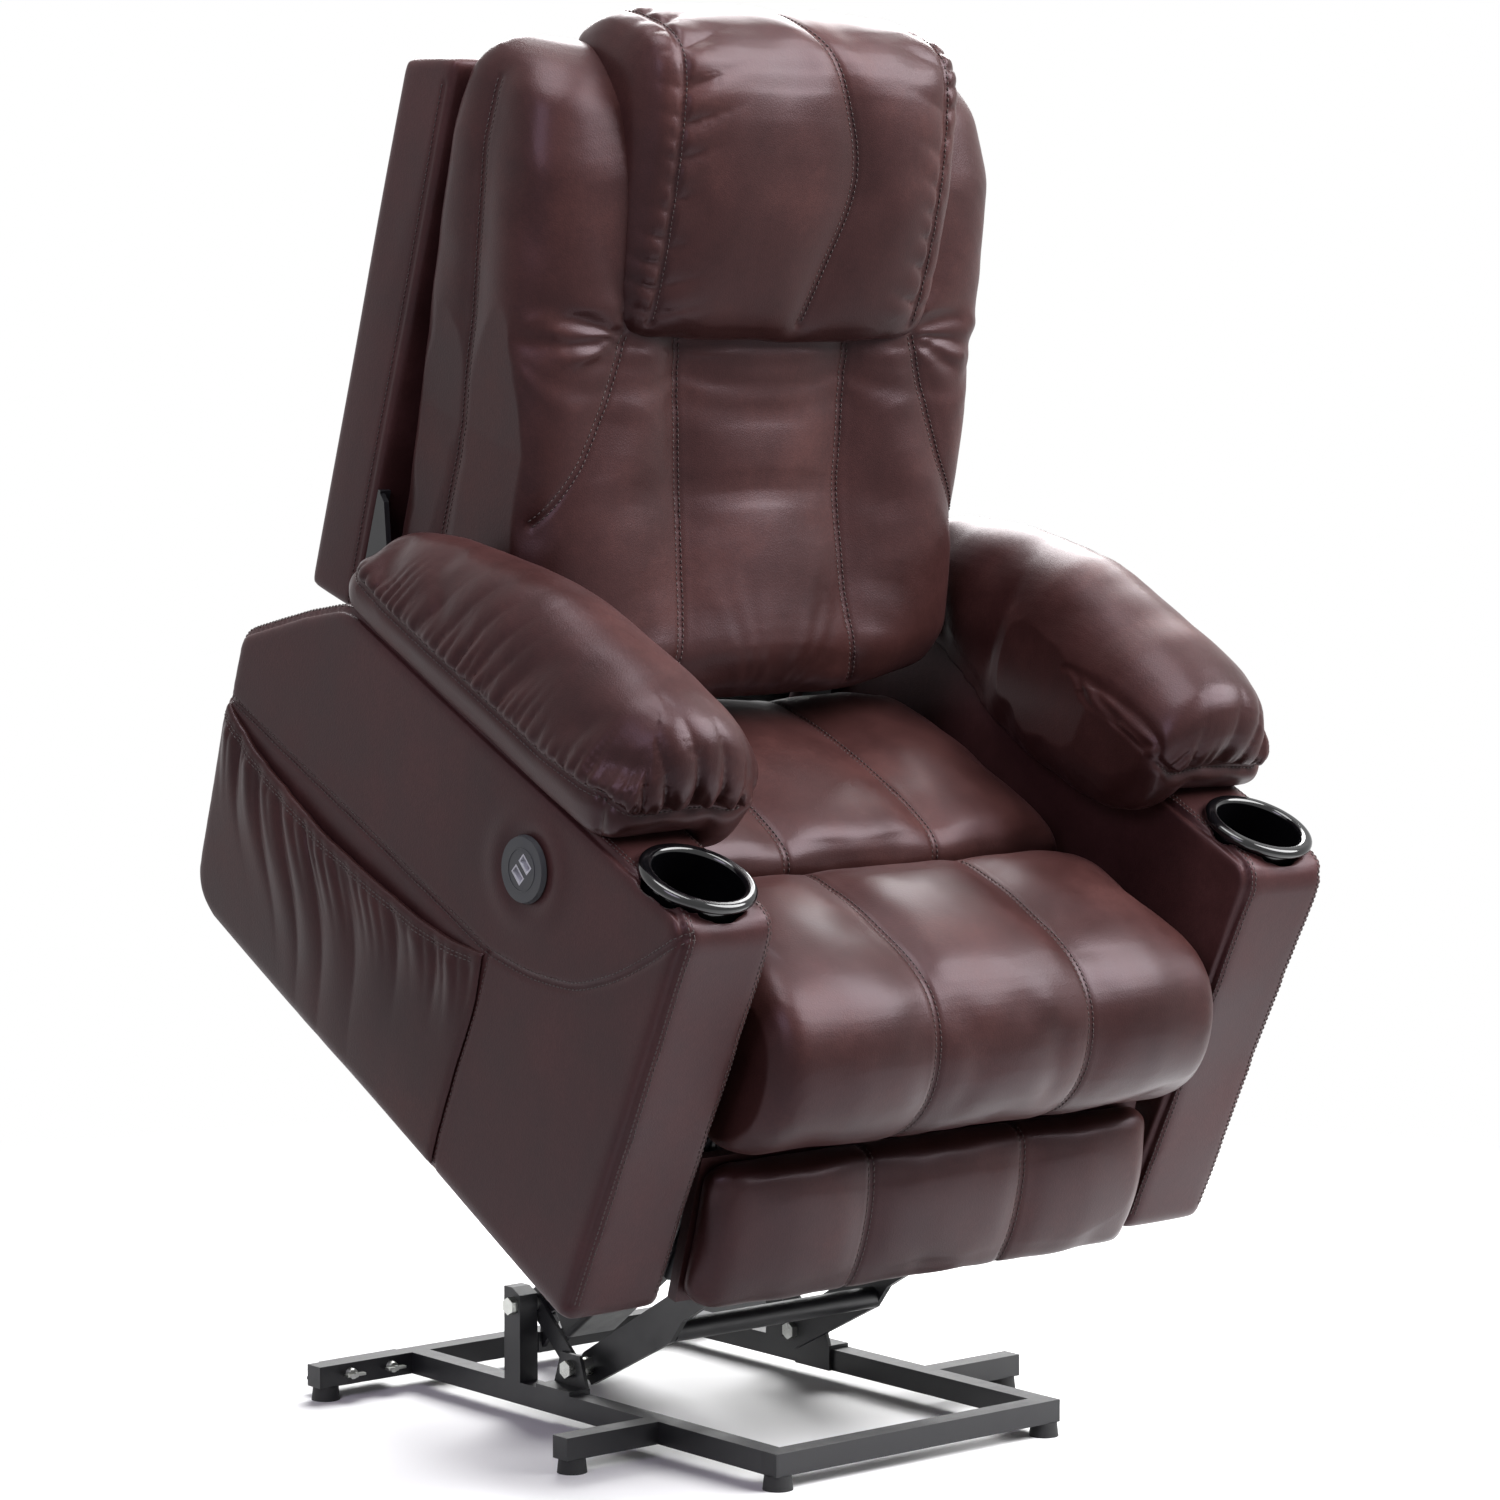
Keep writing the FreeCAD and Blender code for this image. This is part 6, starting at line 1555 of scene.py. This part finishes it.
@dataclass
class Arm:
    """One upholstered arm; side is -1 for the sitter's right, which carries the charging plate."""

    side: float
    inner: float = 293.0
    outer: float = 405.0
    edge: float = 11.0
    cup: Point2 = (352.0, 88.0)
    well: float = 47.0
    plate: Point2 = (245.0, 334.0)
    # back, foot, top, inner x, outer x, drape of the pad
    pad_rows: tuple[tuple[float, ...], ...] = (
        (147.0, 446.0, 488.0, 272.0, 388.0, 442.0),
        (151.0, 436.0, 512.0, 260.0, 401.0, 430.0),
        (160.0, 426.0, 530.0, 254.0, 410.0, 410.0),
        (176.0, 416.0, 543.0, 251.0, 417.0, 394.0),
        (205.0, 413.0, 551.0, 250.0, 421.0, 378.0),
        (250.0, 411.0, 554.0, 252.0, 422.0, 366.0),
        (330.0, 409.0, 553.0, 260.0, 422.0, 356.0),
        (400.0, 406.0, 548.0, 273.0, 422.0, 352.0),
        (440.0, 404.0, 538.0, 282.0, 421.0, 352.0),
        (540.0, 401.0, 506.0, 287.0, 418.0, 354.0),
        (596.0, 400.0, 480.0, 291.0, 410.0, 368.0),
        (616.0, 410.0, 458.0, 304.0, 396.0, 404.0),
    )
    # back and height of the pad's outer seam, then of the side panel's three seams
    pad_seam: tuple[Point2, ...] = (
        (147.0, 462.0),
        (176.0, 458.0),
        (202.0, 453.0),
        (268.0, 445.0),
        (387.0, 441.0),
        (543.0, 432.0),
        (620.0, 428.0),
    )
    front_curve: tuple[Point2, ...] = (
        (258.0, 234.0),
        (194.0, 251.0),
        (132.0, 280.0),
        (88.0, 322.0),
        (50.0, 373.0),
        (28.0, 409.0),
    )
    rear_line: tuple[Point2, ...] = (
        (738.0, 214.0),
        (611.0, 219.0),
        (491.0, 226.0),
        (375.0, 231.0),
        (258.0, 234.0),
    )
    upright: tuple[Point2, ...] = (
        (258.0, 230.0),
        (250.0, 178.0),
        (248.0, 112.0),
        (242.0, 43.0),
        (234.0, 3.0),
    )
    # back and height of the side pocket's edges on the arm
    pocket_mouth: tuple[Point2, ...] = (
        (261.0, 226.0),
        (302.0, 212.0),
        (346.0, 204.0),
        (410.0, 198.0),
        (517.0, 189.0),
        (656.0, 193.0),
        (733.0, 208.0),
    )
    pocket_foot: tuple[Point2, ...] = ((236.0, 9.0), (440.0, 8.0), (650.0, 8.0))
    pocket_front: tuple[Point2, ...] = (
        (236.0, 9.0),
        (242.0, 43.0),
        (248.0, 112.0),
        (250.0, 178.0),
        (261.0, 226.0),
    )
    pocket_rear: tuple[Point2, ...] = (
        (650.0, 8.0),
        (682.0, 18.0),
        (699.0, 44.0),
        (708.0, 90.0),
        (718.0, 140.0),
        (733.0, 208.0),
    )

    @property
    def label(self) -> str:
        """Return the arm's name on the sitter's own hand."""
        return "right" if self.side < 0 else "left"

    def box_loft(self) -> Loft:
        """Return the arm's box with its rounded long edges."""
        depths = (0.0, 1.0, 3.0, 6.0, self.edge)
        sections = []
        for depth in depths:
            amount = self.edge - math.sqrt(max(self.edge**2 - (self.edge - depth) ** 2, 0.0))
            ring = drawn_in(ARM_RING, amount)
            sections.append((self.side * (self.inner + depth), ring))
            sections.append((self.side * (self.outer - depth), ring))
        return Loft(Along.X, sorted(sections, key=lambda item: item[0]), step=3.0, blend=2)

    def bored(self, piece: bpy.types.Object) -> None:
        """Cut the well for the cup holder and the hole behind the charging plate.

        Args:
            piece: the arm's box.
        """
        x, back = self.cup
        top = arm_top(back)
        middle = (self.side * x, back + 25.0 * math.sin(ARM_SLOPE), top - 25.0 * math.cos(ARM_SLOPE))
        holes = [(middle, (ARM_SLOPE, 0.0, 0.0), self.well, 92.0)]
        if self.side < 0:
            holes.append(((-self.outer, *self.plate), (0.0, math.radians(90.0), 0.0), 19.0, 28.0))
        for centre, turn, radius, depth in holes:
            deselect()
            bpy.ops.mesh.primitive_cylinder_add(
                vertices=64, radius=radius, depth=depth, location=centre, rotation=turn
            )
            drill = bpy.context.active_object
            apply_modifier(piece, "BOOLEAN", operation="DIFFERENCE", solver="EXACT", object=drill)
            bpy.data.objects.remove(drill)

    def box_seams(self) -> list[Seam]:
        """Return the edge seams and the seams of the side panel."""
        side = self.side
        rim = drawn_in(ARM_RING, 5.0)
        first = int(np.argmax(rim[:, 0] > 690.0))
        rim = rim[first:]
        rim = rim[(rim[:, 1] > 9.0)]
        along_rim = {"offsets": (3.4, 7.6), "depth": 1.5, "lean": (0.0, -1.0, 1.0)}
        seams = []
        for x, facing, reach in ((self.outer, -side, 60.0), (self.inner, side, 40.0)):
            curve = np.concatenate([np.full((len(rim), 1), side * x), rim], axis=1)
            seams.append(seam_along(curve, (facing, 0.0, 0.0), reach, **along_rim))
        twin = (-2.6, 5.2)
        panel = ((self.front_curve, twin, 1.1), (self.rear_line, twin, 1.1), (self.upright, (3.4,), 0.8))
        for line, offsets, depth in panel:
            path = [(side * self.outer, back, up) for back, up in line]
            look = {"offsets": offsets, "depth": depth, "lean": (0.0, 0.0, 1.0)}
            seams.append(seam_from(path, (-side, 0.0, 0.0), 60.0, **look))
        return seams

    def build_box(self) -> bpy.types.Object:
        """Make the arm's leather box and its stitches."""
        name = f"arm_leather_{self.label}"
        piece = self.box_loft().build(name)
        self.bored(piece)
        remesh(piece, 6.0)
        raise_by(piece, self.slackness)
        apply_modifier(piece, "SUBSURF", levels=1, render_levels=1)
        seams = self.box_seams()
        sink_seams(piece, seams, 2.4, 3.2)
        thread = sew(f"arm_stitches_{self.label}", seams, surface_of(piece))
        dress_pair(piece, thread, CHAIR, "chair", Finish.SIDE_LEATHER)
        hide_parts(f"arm_cover_{self.label}")
        return piece

    def slackness(self, points: np.ndarray, normals: np.ndarray) -> np.ndarray:
        """Return the leather's slight waves, and its dip round the cup holder and the plate.

        Args:
            points: the box's points.
            normals: their normals.

        Returns:
            The height at each point.
        """
        waves = 1.1 * noise(points, (90.0, 170.0, 150.0), 3.0 + self.side)
        x, back = self.cup
        cup = np.linalg.norm(points - np.array([self.side * x, back, arm_top(back)]), axis=1)
        dip = 1.8 * np.exp(-(((cup - 54.0) / 9.0) ** 2)) * np.clip(normals[:, 2], 0.0, 1.0)
        if self.side < 0:
            plate = np.linalg.norm(points - np.array([-self.outer, *self.plate]), axis=1)
            drawn = 2.0 * np.exp(-(((plate - 30.0) / 7.0) ** 2))
            dip += drawn - 1.6 * np.exp(-(((plate - 48.0) / 12.0) ** 2))
        return waves - dip

    def pad_loft(self) -> Loft:
        """Return the arm pad's form: sections along the arm."""
        sections = []
        for back, foot, top, inner, outer, drape in self.pad_rows:
            seam = self.pad_seam_height(back)
            share = min(1.0, (top - seam) / 95.0)
            corners = (
                (min(outer, self.outer - 1.0), foot - 4.0),
                (outer, seam),
                (outer - 16.0, seam + 40.0 * share),
                ((inner + outer) / 2.0, top - 6.0),
                (inner, (seam + top) / 2.0 - 26.0 * share),
                (inner + 10.0, drape),
                (self.inner - 1.5, drape),
                (self.inner - 1.5 if back > 170.0 else self.inner + 8.0, foot),
            )
            bulges = (1.0, 3.0, 15.0 * share, 20.0 * share, 6.0, 2.0, 0.0, 0.0)
            ring = relaxed(outline(corners, bulges, 12), 3)
            sections.append((back, ring * np.array([self.side, 1.0])))
        return Loft(Along.Y, sections, step=4.0)

    def pad_seam_height(self, back: float) -> float:
        """Return the height of the pad's outer seam."""
        return float(np.interp(back, [a for a, _ in self.pad_seam], [b for _, b in self.pad_seam]))

    def pad_seams(self) -> list[Seam]:
        """Return the pad's outer seam, its front seam and the corner between them."""
        side = self.side
        backs = np.linspace(176.0, 612.0, 100)
        heights = np.array([self.pad_seam_height(b) for b in backs])
        along = np.stack([np.full(100, side * self.outer), backs, heights], axis=1)
        across = (
            (412.0, 458.0),
            (392.0, 451.0),
            (340.0, 456.0),
            (300.0, 456.0),
            (276.0, 449.0),
            (256.0, 462.0),
        )
        front = [(side * x, 150.0, up) for x, up in across]
        down = ((178.0, 456.0), (175.0, 436.0), (172.0, 420.0))
        corner = [(side * self.outer, back, up) for back, up in down]
        return [
            seam_along(along, (-side, 0.0, 0.0), 70.0),
            seam_from(front, (0.0, 1.0, 0.0), 90.0, offsets=(2.6,), depth=1.3, lean=(0.0, 0.0, -1.0)),
            seam_from(corner, (-side * 0.8, 0.6, 0.0), 70.0, offsets=(), depth=0.9),
        ]

    def pad_gathers(self) -> list[Gathers]:
        """Return the folds that the pad's seams throw."""
        outer, front, _ = self.pad_seams()
        up = (0.0, 0.0, 1.0)
        return [
            Gathers(outer, 14.0, 34.0, 2.8, up, 1.3 + self.side, 0.15),
            Gathers(outer, 31.0, 62.0, 2.2, up, 2.6, 0.3, 10.0),
            Gathers(front, 26.0, 58.0, 5.4, up, 0.7 + self.side, 0.2),
            Gathers(front, 11.0, 28.0, 2.2, up, 4.1, 0.1),
        ]

    def pad_folds(self, points: np.ndarray, normals: np.ndarray) -> np.ndarray:
        """Return the long soft folds over the pad and the pucker at its inner front corner.

        Args:
            points: the pad's points.
            normals: their normals.

        Returns:
            The folds' height at each point.
        """
        tip = (self.side * 258.0, 152.0, 458.0)
        toward = 180.0 if self.side < 0 else 0.0
        span = (180.0 - toward + self.side * -50.0, 60.0)
        rays = fan(points, normals, tip, (0, 2), span, 6.5, (10.0, 60.0), 2.6, 1.0)
        knot = 6.0 * np.exp(-((np.linalg.norm(points - np.array(tip), axis=1) / 10.0) ** 2))
        arcs = 1.5 * noise(points, (120.0, 46.0, 90.0), 6.0 + self.side)
        return rays + knot + arcs * np.clip(normals[:, 2] + 0.4, 0.0, 1.0)

    def pad_held(self, points: np.ndarray, normals: np.ndarray) -> np.ndarray:
        """Return which points of the pad rest on the arm or are sewn down."""
        x = np.abs(points[:, 0])
        resting = (x > self.inner - 3.0) & (points[:, 2] < arm_top(points[:, 1]) + 7.0)
        draped = (x > self.inner - 5.0) & (x < self.inner + 1.0) & (points[:, 2] < 400.0)
        gusset = (x > self.outer - 8.0) & (points[:, 2] < 440.0)
        return (resting | draped | gusset).astype(float)

    def pad_limit(self, points: np.ndarray) -> np.ndarray:
        """Return the pad's points kept off the back cushion and the seat."""
        x = np.abs(points[:, 0])
        least = np.interp(points[:, 1], [260.0, 440.0], [246.0, 279.5])
        x = np.clip(x, least, 430.0)
        return np.stack([np.sign(points[:, 0]) * x, np.clip(points[:, 1], 140.0, 623.0), points[:, 2]], axis=1)

    def build_pad(self) -> None:
        """Make the arm pad."""
        Cushion(
            f"arm_pad_leather_{self.label}", CHAIR, "chair", f"arm_pad_{self.label}", self.pad_loft,
            seams=self.pad_seams,
            held=self.pad_held,
            puff=Puff(pressure=3.5, cap=9.0, slack=0.03, ease=7),
            folds=self.pad_folds,
            gathers=self.pad_gathers(),
            limit=self.pad_limit,
            cell=5.0,
            groove=3.4,
            groove_width=8.0,
        ).build()

    def pocket_grid(self, surface: BVHTree, across: int = 150, up: int = 62) -> np.ndarray:
        """Return the side pocket's points from its foot to its mouth, in rows.

        Args:
            surface: the arm's box, on which the pocket lies.
            across: the number of points in a row.
            up: the number of rows.

        Returns:
            The points, as for an arm on the positive side.
        """
        mouth = dense(self.pocket_mouth, across)
        foot = dense(self.pocket_foot, across)
        front = dense(self.pocket_front, up)
        rear = dense(self.pocket_rear, up)
        u = np.linspace(0.0, 1.0, across)[None, :, None]
        v = np.linspace(0.0, 1.0, up)[:, None, None]
        # a surface spanned between the four edges, less what its corners count twice
        flat = (1 - v) * foot[None] + v * mouth[None] + (1 - u) * front[:, None] + u * rear[:, None]
        flat = flat - (
            (1 - u) * (1 - v) * foot[0] + u * (1 - v) * foot[-1] + (1 - u) * v * mouth[0] + u * v * mouth[-1]
        )
        points = np.empty((up, across, 3))
        points[:, :, 1:] = flat
        for i in range(up):
            for j in range(across):
                start = Vector((self.side * 480.0, flat[i, j, 0], flat[i, j, 1]))
                hit, _, _, _ = surface.ray_cast(start, Vector((-self.side, 0.0, 0.0)), 110.0)
                points[i, j, 0] = abs(hit[0]) if hit is not None else self.outer - self.edge
        share = u[0, :, 0]
        rise = v[:, 0, 0][:, None]
        below = (1.0 - rise) * 200.0
        swell = np.sin(math.pi * share)[None, :] ** 0.6
        stand = 0.8 + swell * (10.0 * rise**2.2 + 5.0 * np.sin(math.pi * rise))
        slide = flat[:, :, 0] - 0.552 * flat[:, :, 1]
        slide = slide + 15.0 * np.sin(flat[:, :, 1] / 47.0 + flat[:, :, 0] / 83.0)
        grow = np.clip(below / 14.0, 0.15, 1.0)
        ends = np.clip(share / 0.06, 0.0, 1.0) * np.clip((1.0 - share) / 0.06, 0.0, 1.0)
        reach = 84.0 + 40.0 * np.sin(slide / 58.0 + 0.6)
        large = 6.8 * crests(slide, 58.0, 1.1) * np.exp(-((below / reach) ** 2))
        fine = 2.6 * crests(slide, 19.0, 2.3) * np.exp(-((below / 38.0) ** 2))
        points[:, :, 0] += stand + np.maximum((large + fine) * grow * ends[None, :], -stand + 0.6)
        return points

    def build_pocket(self, surface: BVHTree) -> None:
        """Make the gathered side pocket with its rolled mouth.

        Args:
            surface: the arm's box, on which the pocket lies.
        """
        grid = self.pocket_grid(surface)
        rows = list(grid)
        last = grid[-1]
        roll_radius = 2.8
        for turn in np.linspace(0.0, math.pi, 7)[1:]:
            roll = last.copy()
            roll[:, 0] -= roll_radius * (1.0 - math.cos(turn))
            roll[:, 2] += roll_radius * math.sin(turn)
            rows.append(roll)
        for drop in (4.0, 8.0, 12.0):
            inside = last.copy()
            inside[:, 0] -= 2.0 * roll_radius
            inside[:, 2] -= drop
            rows.append(inside)
        points = np.array(rows)
        points[:, :, 0] *= self.side
        count, across = points.shape[:2]
        faces = []
        for i in range(count - 1):
            for j in range(across - 1):
                a = i * across + j
                faces.append((a, a + 1, a + across + 1, a + across))
        name = f"side_pocket_leather_{self.label}"
        piece = mesh_piece(name, points.reshape(-1, 3), faces)
        if self.side > 0:
            piece.data.flip_normals()
        apply_modifier(piece, "SOLIDIFY", thickness=1.8, offset=-1.0)
        apply_modifier(piece, "SUBSURF", levels=1, render_levels=1)
        curve = last * np.array([self.side, 1.0, 1.0])
        hem = seam_along(
            curve[3:-3] - np.array([0.0, 0.0, 7.0]), (-self.side, 0.0, 0.0), 60.0,
            offsets=(0.0, 3.6), lean=(0.0, 0.0, 1.0),
        )
        thread = sew(f"side_pocket_stitches_{self.label}", [hem], surface_of(piece))
        dress_pair(piece, thread, CHAIR, "chair", Finish.LEATHER)
        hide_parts(f"side_pocket_{self.label}")

    def build(self) -> None:
        """Make the arm's box, pad and pocket."""
        box = self.build_box()
        back = CHAIR.matrix().inverted()
        surface = BVHTree.FromPolygons(
            [tuple(back @ v.co) for v in box.data.vertices], [tuple(p.vertices) for p in box.data.polygons]
        )
        self.build_pocket(surface)
        self.build_pad()


SLOT_FINISHES = {
    "powder_coat": Finish.POWDER,
    "zinc": Finish.ZINC,
    "rubber": Finish.RUBBER,
    "black_plastic": Finish.PLASTIC,
    "actuator_tube": Finish.TUBE,
    "actuator_rod": Finish.ROD,
    "leather": Finish.SIDE_LEATHER,
    "upholstery": Finish.LEATHER,
    "wood": Finish.WOOD,
    "black_cloth": Finish.CLOTH,
    "cup_gloss": Finish.GLOSS,
    "socket": Finish.SOCKET,
}


@dataclass
class Fittings:
    """The finishes of the steel, plastic and wooden parts, the plate's ring and the rear cloth."""

    plate: Point3 = (-410.0, 245.0, 334.0)
    ring: float = 20.0
    cloth_half: float = 291.0
    cloth_back: float = 691.5
    cloth_span: Point2 = (13.0, 224.0)

    def finish_nodes(self, nodes: dict[str, bpy.types.Object], record: dict[str, object]) -> None:
        """Give every node of the frame the finish of its slot."""
        for part in record["subparts"]:
            finish(nodes[part["node"]], SLOT_FINISHES[part["material_slot"]])
        finish(nodes["usb_plate"], Finish.PLATE)
        finish(nodes["footrest_board"], Finish.SIDE_LEATHER)

    def plate_ring(self) -> None:
        """Model the raised ring on the charging plate: a disc, inset, raised and bevelled."""
        deselect()
        bpy.ops.mesh.primitive_circle_add(
            vertices=96, radius=self.ring, fill_type="NGON",
            location=self.plate, rotation=(0.0, math.radians(-90.0), 0.0),
        )
        piece = bpy.context.active_object
        piece.name = "charging_plate_ring"
        bpy.ops.object.transform_apply(location=True, rotation=True, scale=True)
        bpy.ops.object.mode_set(mode="EDIT")
        bpy.ops.mesh.select_all(action="SELECT")
        bpy.ops.mesh.inset(thickness=1.1)
        bpy.ops.mesh.delete(type="FACE")
        bpy.ops.mesh.select_all(action="SELECT")
        bpy.ops.mesh.extrude_region_move(TRANSFORM_OT_translate={"value": (-0.5, 0.0, 0.0)})
        bpy.ops.mesh.select_all(action="SELECT")
        bpy.ops.mesh.normals_make_consistent(inside=False)
        bpy.ops.object.mode_set(mode="OBJECT")
        apply_modifier(piece, "BEVEL", width=0.2, segments=2)
        place(piece, CHAIR)
        smooth_shade(piece, 40.0)
        finish(piece, Finish.PLATE)
        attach(piece, "chair")

    def rear_cloth(self) -> None:
        """Make the dust cloth that is stapled across the back below the reclining back."""
        across, up = 60, 24
        x = np.linspace(-self.cloth_half, self.cloth_half, across)[None, :]
        z = np.linspace(*self.cloth_span, up)[:, None]
        sag = np.cos(x / self.cloth_half * math.pi / 2.0) * np.sin((z - z[0]) / (z[-1] - z[0]) * math.pi)
        points = np.empty((up, across, 3))
        points[:, :, 0] = x
        points[:, :, 1] = self.cloth_back - 2.5 * sag
        points[:, :, 2] = z
        waves = 0.8 * noise(points.reshape(-1, 3), (60.0, 60.0, 140.0), 2.0).reshape(up, across)
        points[:, :, 1] += waves * sag
        faces = [
            (i * across + j, (i + 1) * across + j, (i + 1) * across + j + 1, i * across + j + 1)
            for i in range(up - 1)
            for j in range(across - 1)
        ]
        piece = mesh_piece("rear_dust_cloth", points.reshape(-1, 3), faces)
        apply_modifier(piece, "SOLIDIFY", thickness=1.2, offset=0.0)
        apply_modifier(piece, "SUBSURF", levels=1, render_levels=1)
        place(piece, CHAIR)
        smooth_shade(piece)
        finish(piece, Finish.CLOTH)
        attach(piece, "chair")
        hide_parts("rear_cover")


VIEW_FROM = (-2.91345, -3.49901, 1.05427)
VIEW_DOWN = 4.864
VIEW_TURN = -39.706


def camera() -> None:
    """Set the camera at the photograph's viewpoint."""
    data = bpy.data.cameras.new("view")
    data.sensor_width = 36.0
    data.lens = 111.658
    data.clip_end = 30.0
    item = bpy.data.objects.new("view", data)
    item.location = VIEW_FROM
    item.rotation_euler = (math.radians(90.0 - VIEW_DOWN), 0.0, math.radians(VIEW_TURN))
    bpy.context.scene.collection.objects.link(item)
    bpy.context.scene.camera = item


def area_light(
    name: str, at: Point3, target: Point3, size: float, power: float, colour: str = "#ffffff"
) -> None:
    """Add one soft box that points at a target.

    Args:
        name: the lamp's name.
        at: where it hangs, in metres.
        target: what it points at.
        size: its diameter.
        power: its power in watts.
        colour: its colour as an sRGB hex value.
    """
    data = bpy.data.lights.new(name, "AREA")
    data.shape = "DISK"
    data.size = size
    data.energy = power
    data.color = hex_linear(colour)[:3]
    item = bpy.data.objects.new(name, data)
    item.location = at
    direction = Vector(target) - Vector(at)
    item.rotation_euler = direction.to_track_quat("-Z", "Y").to_euler()
    bpy.context.scene.collection.objects.link(item)


def studio() -> None:
    """Set the floor, the world and the soft lights."""
    scene = bpy.context.scene
    scene.view_settings.view_transform = "Standard"
    world = bpy.data.worlds.new("studio")
    scene.world = world
    world.use_nodes = True
    tree = world.node_tree
    background = tree.nodes["Background"]
    background.inputs["Color"].default_value = (1.0, 1.0, 1.0, 1.0)
    path = add_node(tree, "ShaderNodeLightPath")
    seen = add_node(
        tree, "ShaderNodeMath", {"operation": "MAXIMUM"},
        n0=path.outputs["Is Camera Ray"], n1=path.outputs["Is Transmission Ray"],
    )
    mirrored = add_node(
        tree, "ShaderNodeMath", {"operation": "MAXIMUM"}, n0=seen.outputs[0], n1=path.outputs["Is Glossy Ray"]
    )
    # white where it is seen, mirrored or seen through, and a weak fill light on everything else
    strength = add_node(
        tree, "ShaderNodeMapRange", Value=mirrored.outputs[0], n1=0.0, n2=1.0, n3=0.10, n4=1.0
    )
    tree.links.new(strength.outputs[0], background.inputs["Strength"])
    deselect()
    bpy.ops.mesh.primitive_plane_add(size=14.0, location=(0.0, 0.0, 0.0))
    floor = bpy.context.active_object
    floor.name = "studio_floor"
    self_lit_floor(floor)
    area_light("key", (1.9, -2.2, 3.1), (0.0, -0.1, 0.9), 3.0, 340.0)
    area_light("top", (-0.5, -0.6, 3.9), (0.0, -0.1, 0.8), 2.0, 110.0)
    area_light("left", (-3.2, -1.6, 2.6), (0.0, 0.0, 0.7), 1.8, 55.0, "#ded4ee")
    area_light("back", (1.7, 1.9, 2.9), (0.0, 0.0, 0.9), 2.6, 210.0)


def self_lit_floor(floor: bpy.types.Object) -> None:
    """Give the floor a matt white that keeps the shadow near the chair and is plain white farther off.

    Args:
        floor: the floor's plane.
    """
    material, tree, shader = blank_material("pale_floor")
    spot = add_node(tree, "ShaderNodeTexCoord").outputs["Object"]
    speck = add_node(tree, "ShaderNodeTexNoise", Vector=spot, Scale=2.0)
    ramp = add_node(tree, "ShaderNodeValToRGB", Fac=speck.outputs["Fac"])
    ramp.color_ramp.elements[0].color = hex_linear("#f4f4f5")
    ramp.color_ramp.elements[1].color = hex_linear("#fafafa")
    path = add_node(tree, "ShaderNodeLightPath")
    tinted = add_node(
        tree, "ShaderNodeMix", {"data_type": "RGBA"}, n0=path.outputs["Is Diffuse Ray"],
        n6=ramp.outputs["Color"], n7=hex_linear("#454243"),
    )
    tree.links.new(tinted.outputs[2], shader.inputs["Base Color"])
    shader.inputs["Roughness"].default_value = 0.7
    far = add_node(tree, "ShaderNodeVectorMath", {"operation": "LENGTH"}, n0=spot)
    # the shadow lies within about a metre of the chair's middle
    share = add_node(
        tree, "ShaderNodeMapRange", {"interpolation_type": "SMOOTHSTEP"},
        Value=far.outputs["Value"], n1=0.7, n2=1.9,
    )
    glow = add_node(tree, "ShaderNodeEmission", Color=(1.0, 1.0, 1.0, 1.0), Strength=1.0)
    mixed = add_node(
        tree, "ShaderNodeMixShader", n0=share.outputs[0], n1=shader.outputs[0], n2=glow.outputs[0]
    )
    dim = add_node(
        tree, "ShaderNodeMixShader",
        n0=path.outputs["Is Diffuse Ray"], n1=mixed.outputs[0], n2=shader.outputs[0],
    )
    tree.links.new(dim.outputs[0], tree.nodes["Material Output"].inputs["Surface"])
    floor.data.materials.append(material)


def main() -> None:
    """Build every piece in order and report it."""
    logging.basicConfig(level=logging.INFO, format="%(message)s")
    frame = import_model()
    fittings = Fittings()
    fittings.finish_nodes(frame["nodes"], frame["record"])
    fittings.plate_ring()
    fittings.rear_cloth()
    Seat().build()
    Footrest().build()
    BackRest().build()
    Arm(-1.0).build()
    Arm(1.0).build()
    camera()
    studio()


if __name__ == "__main__":
    main()
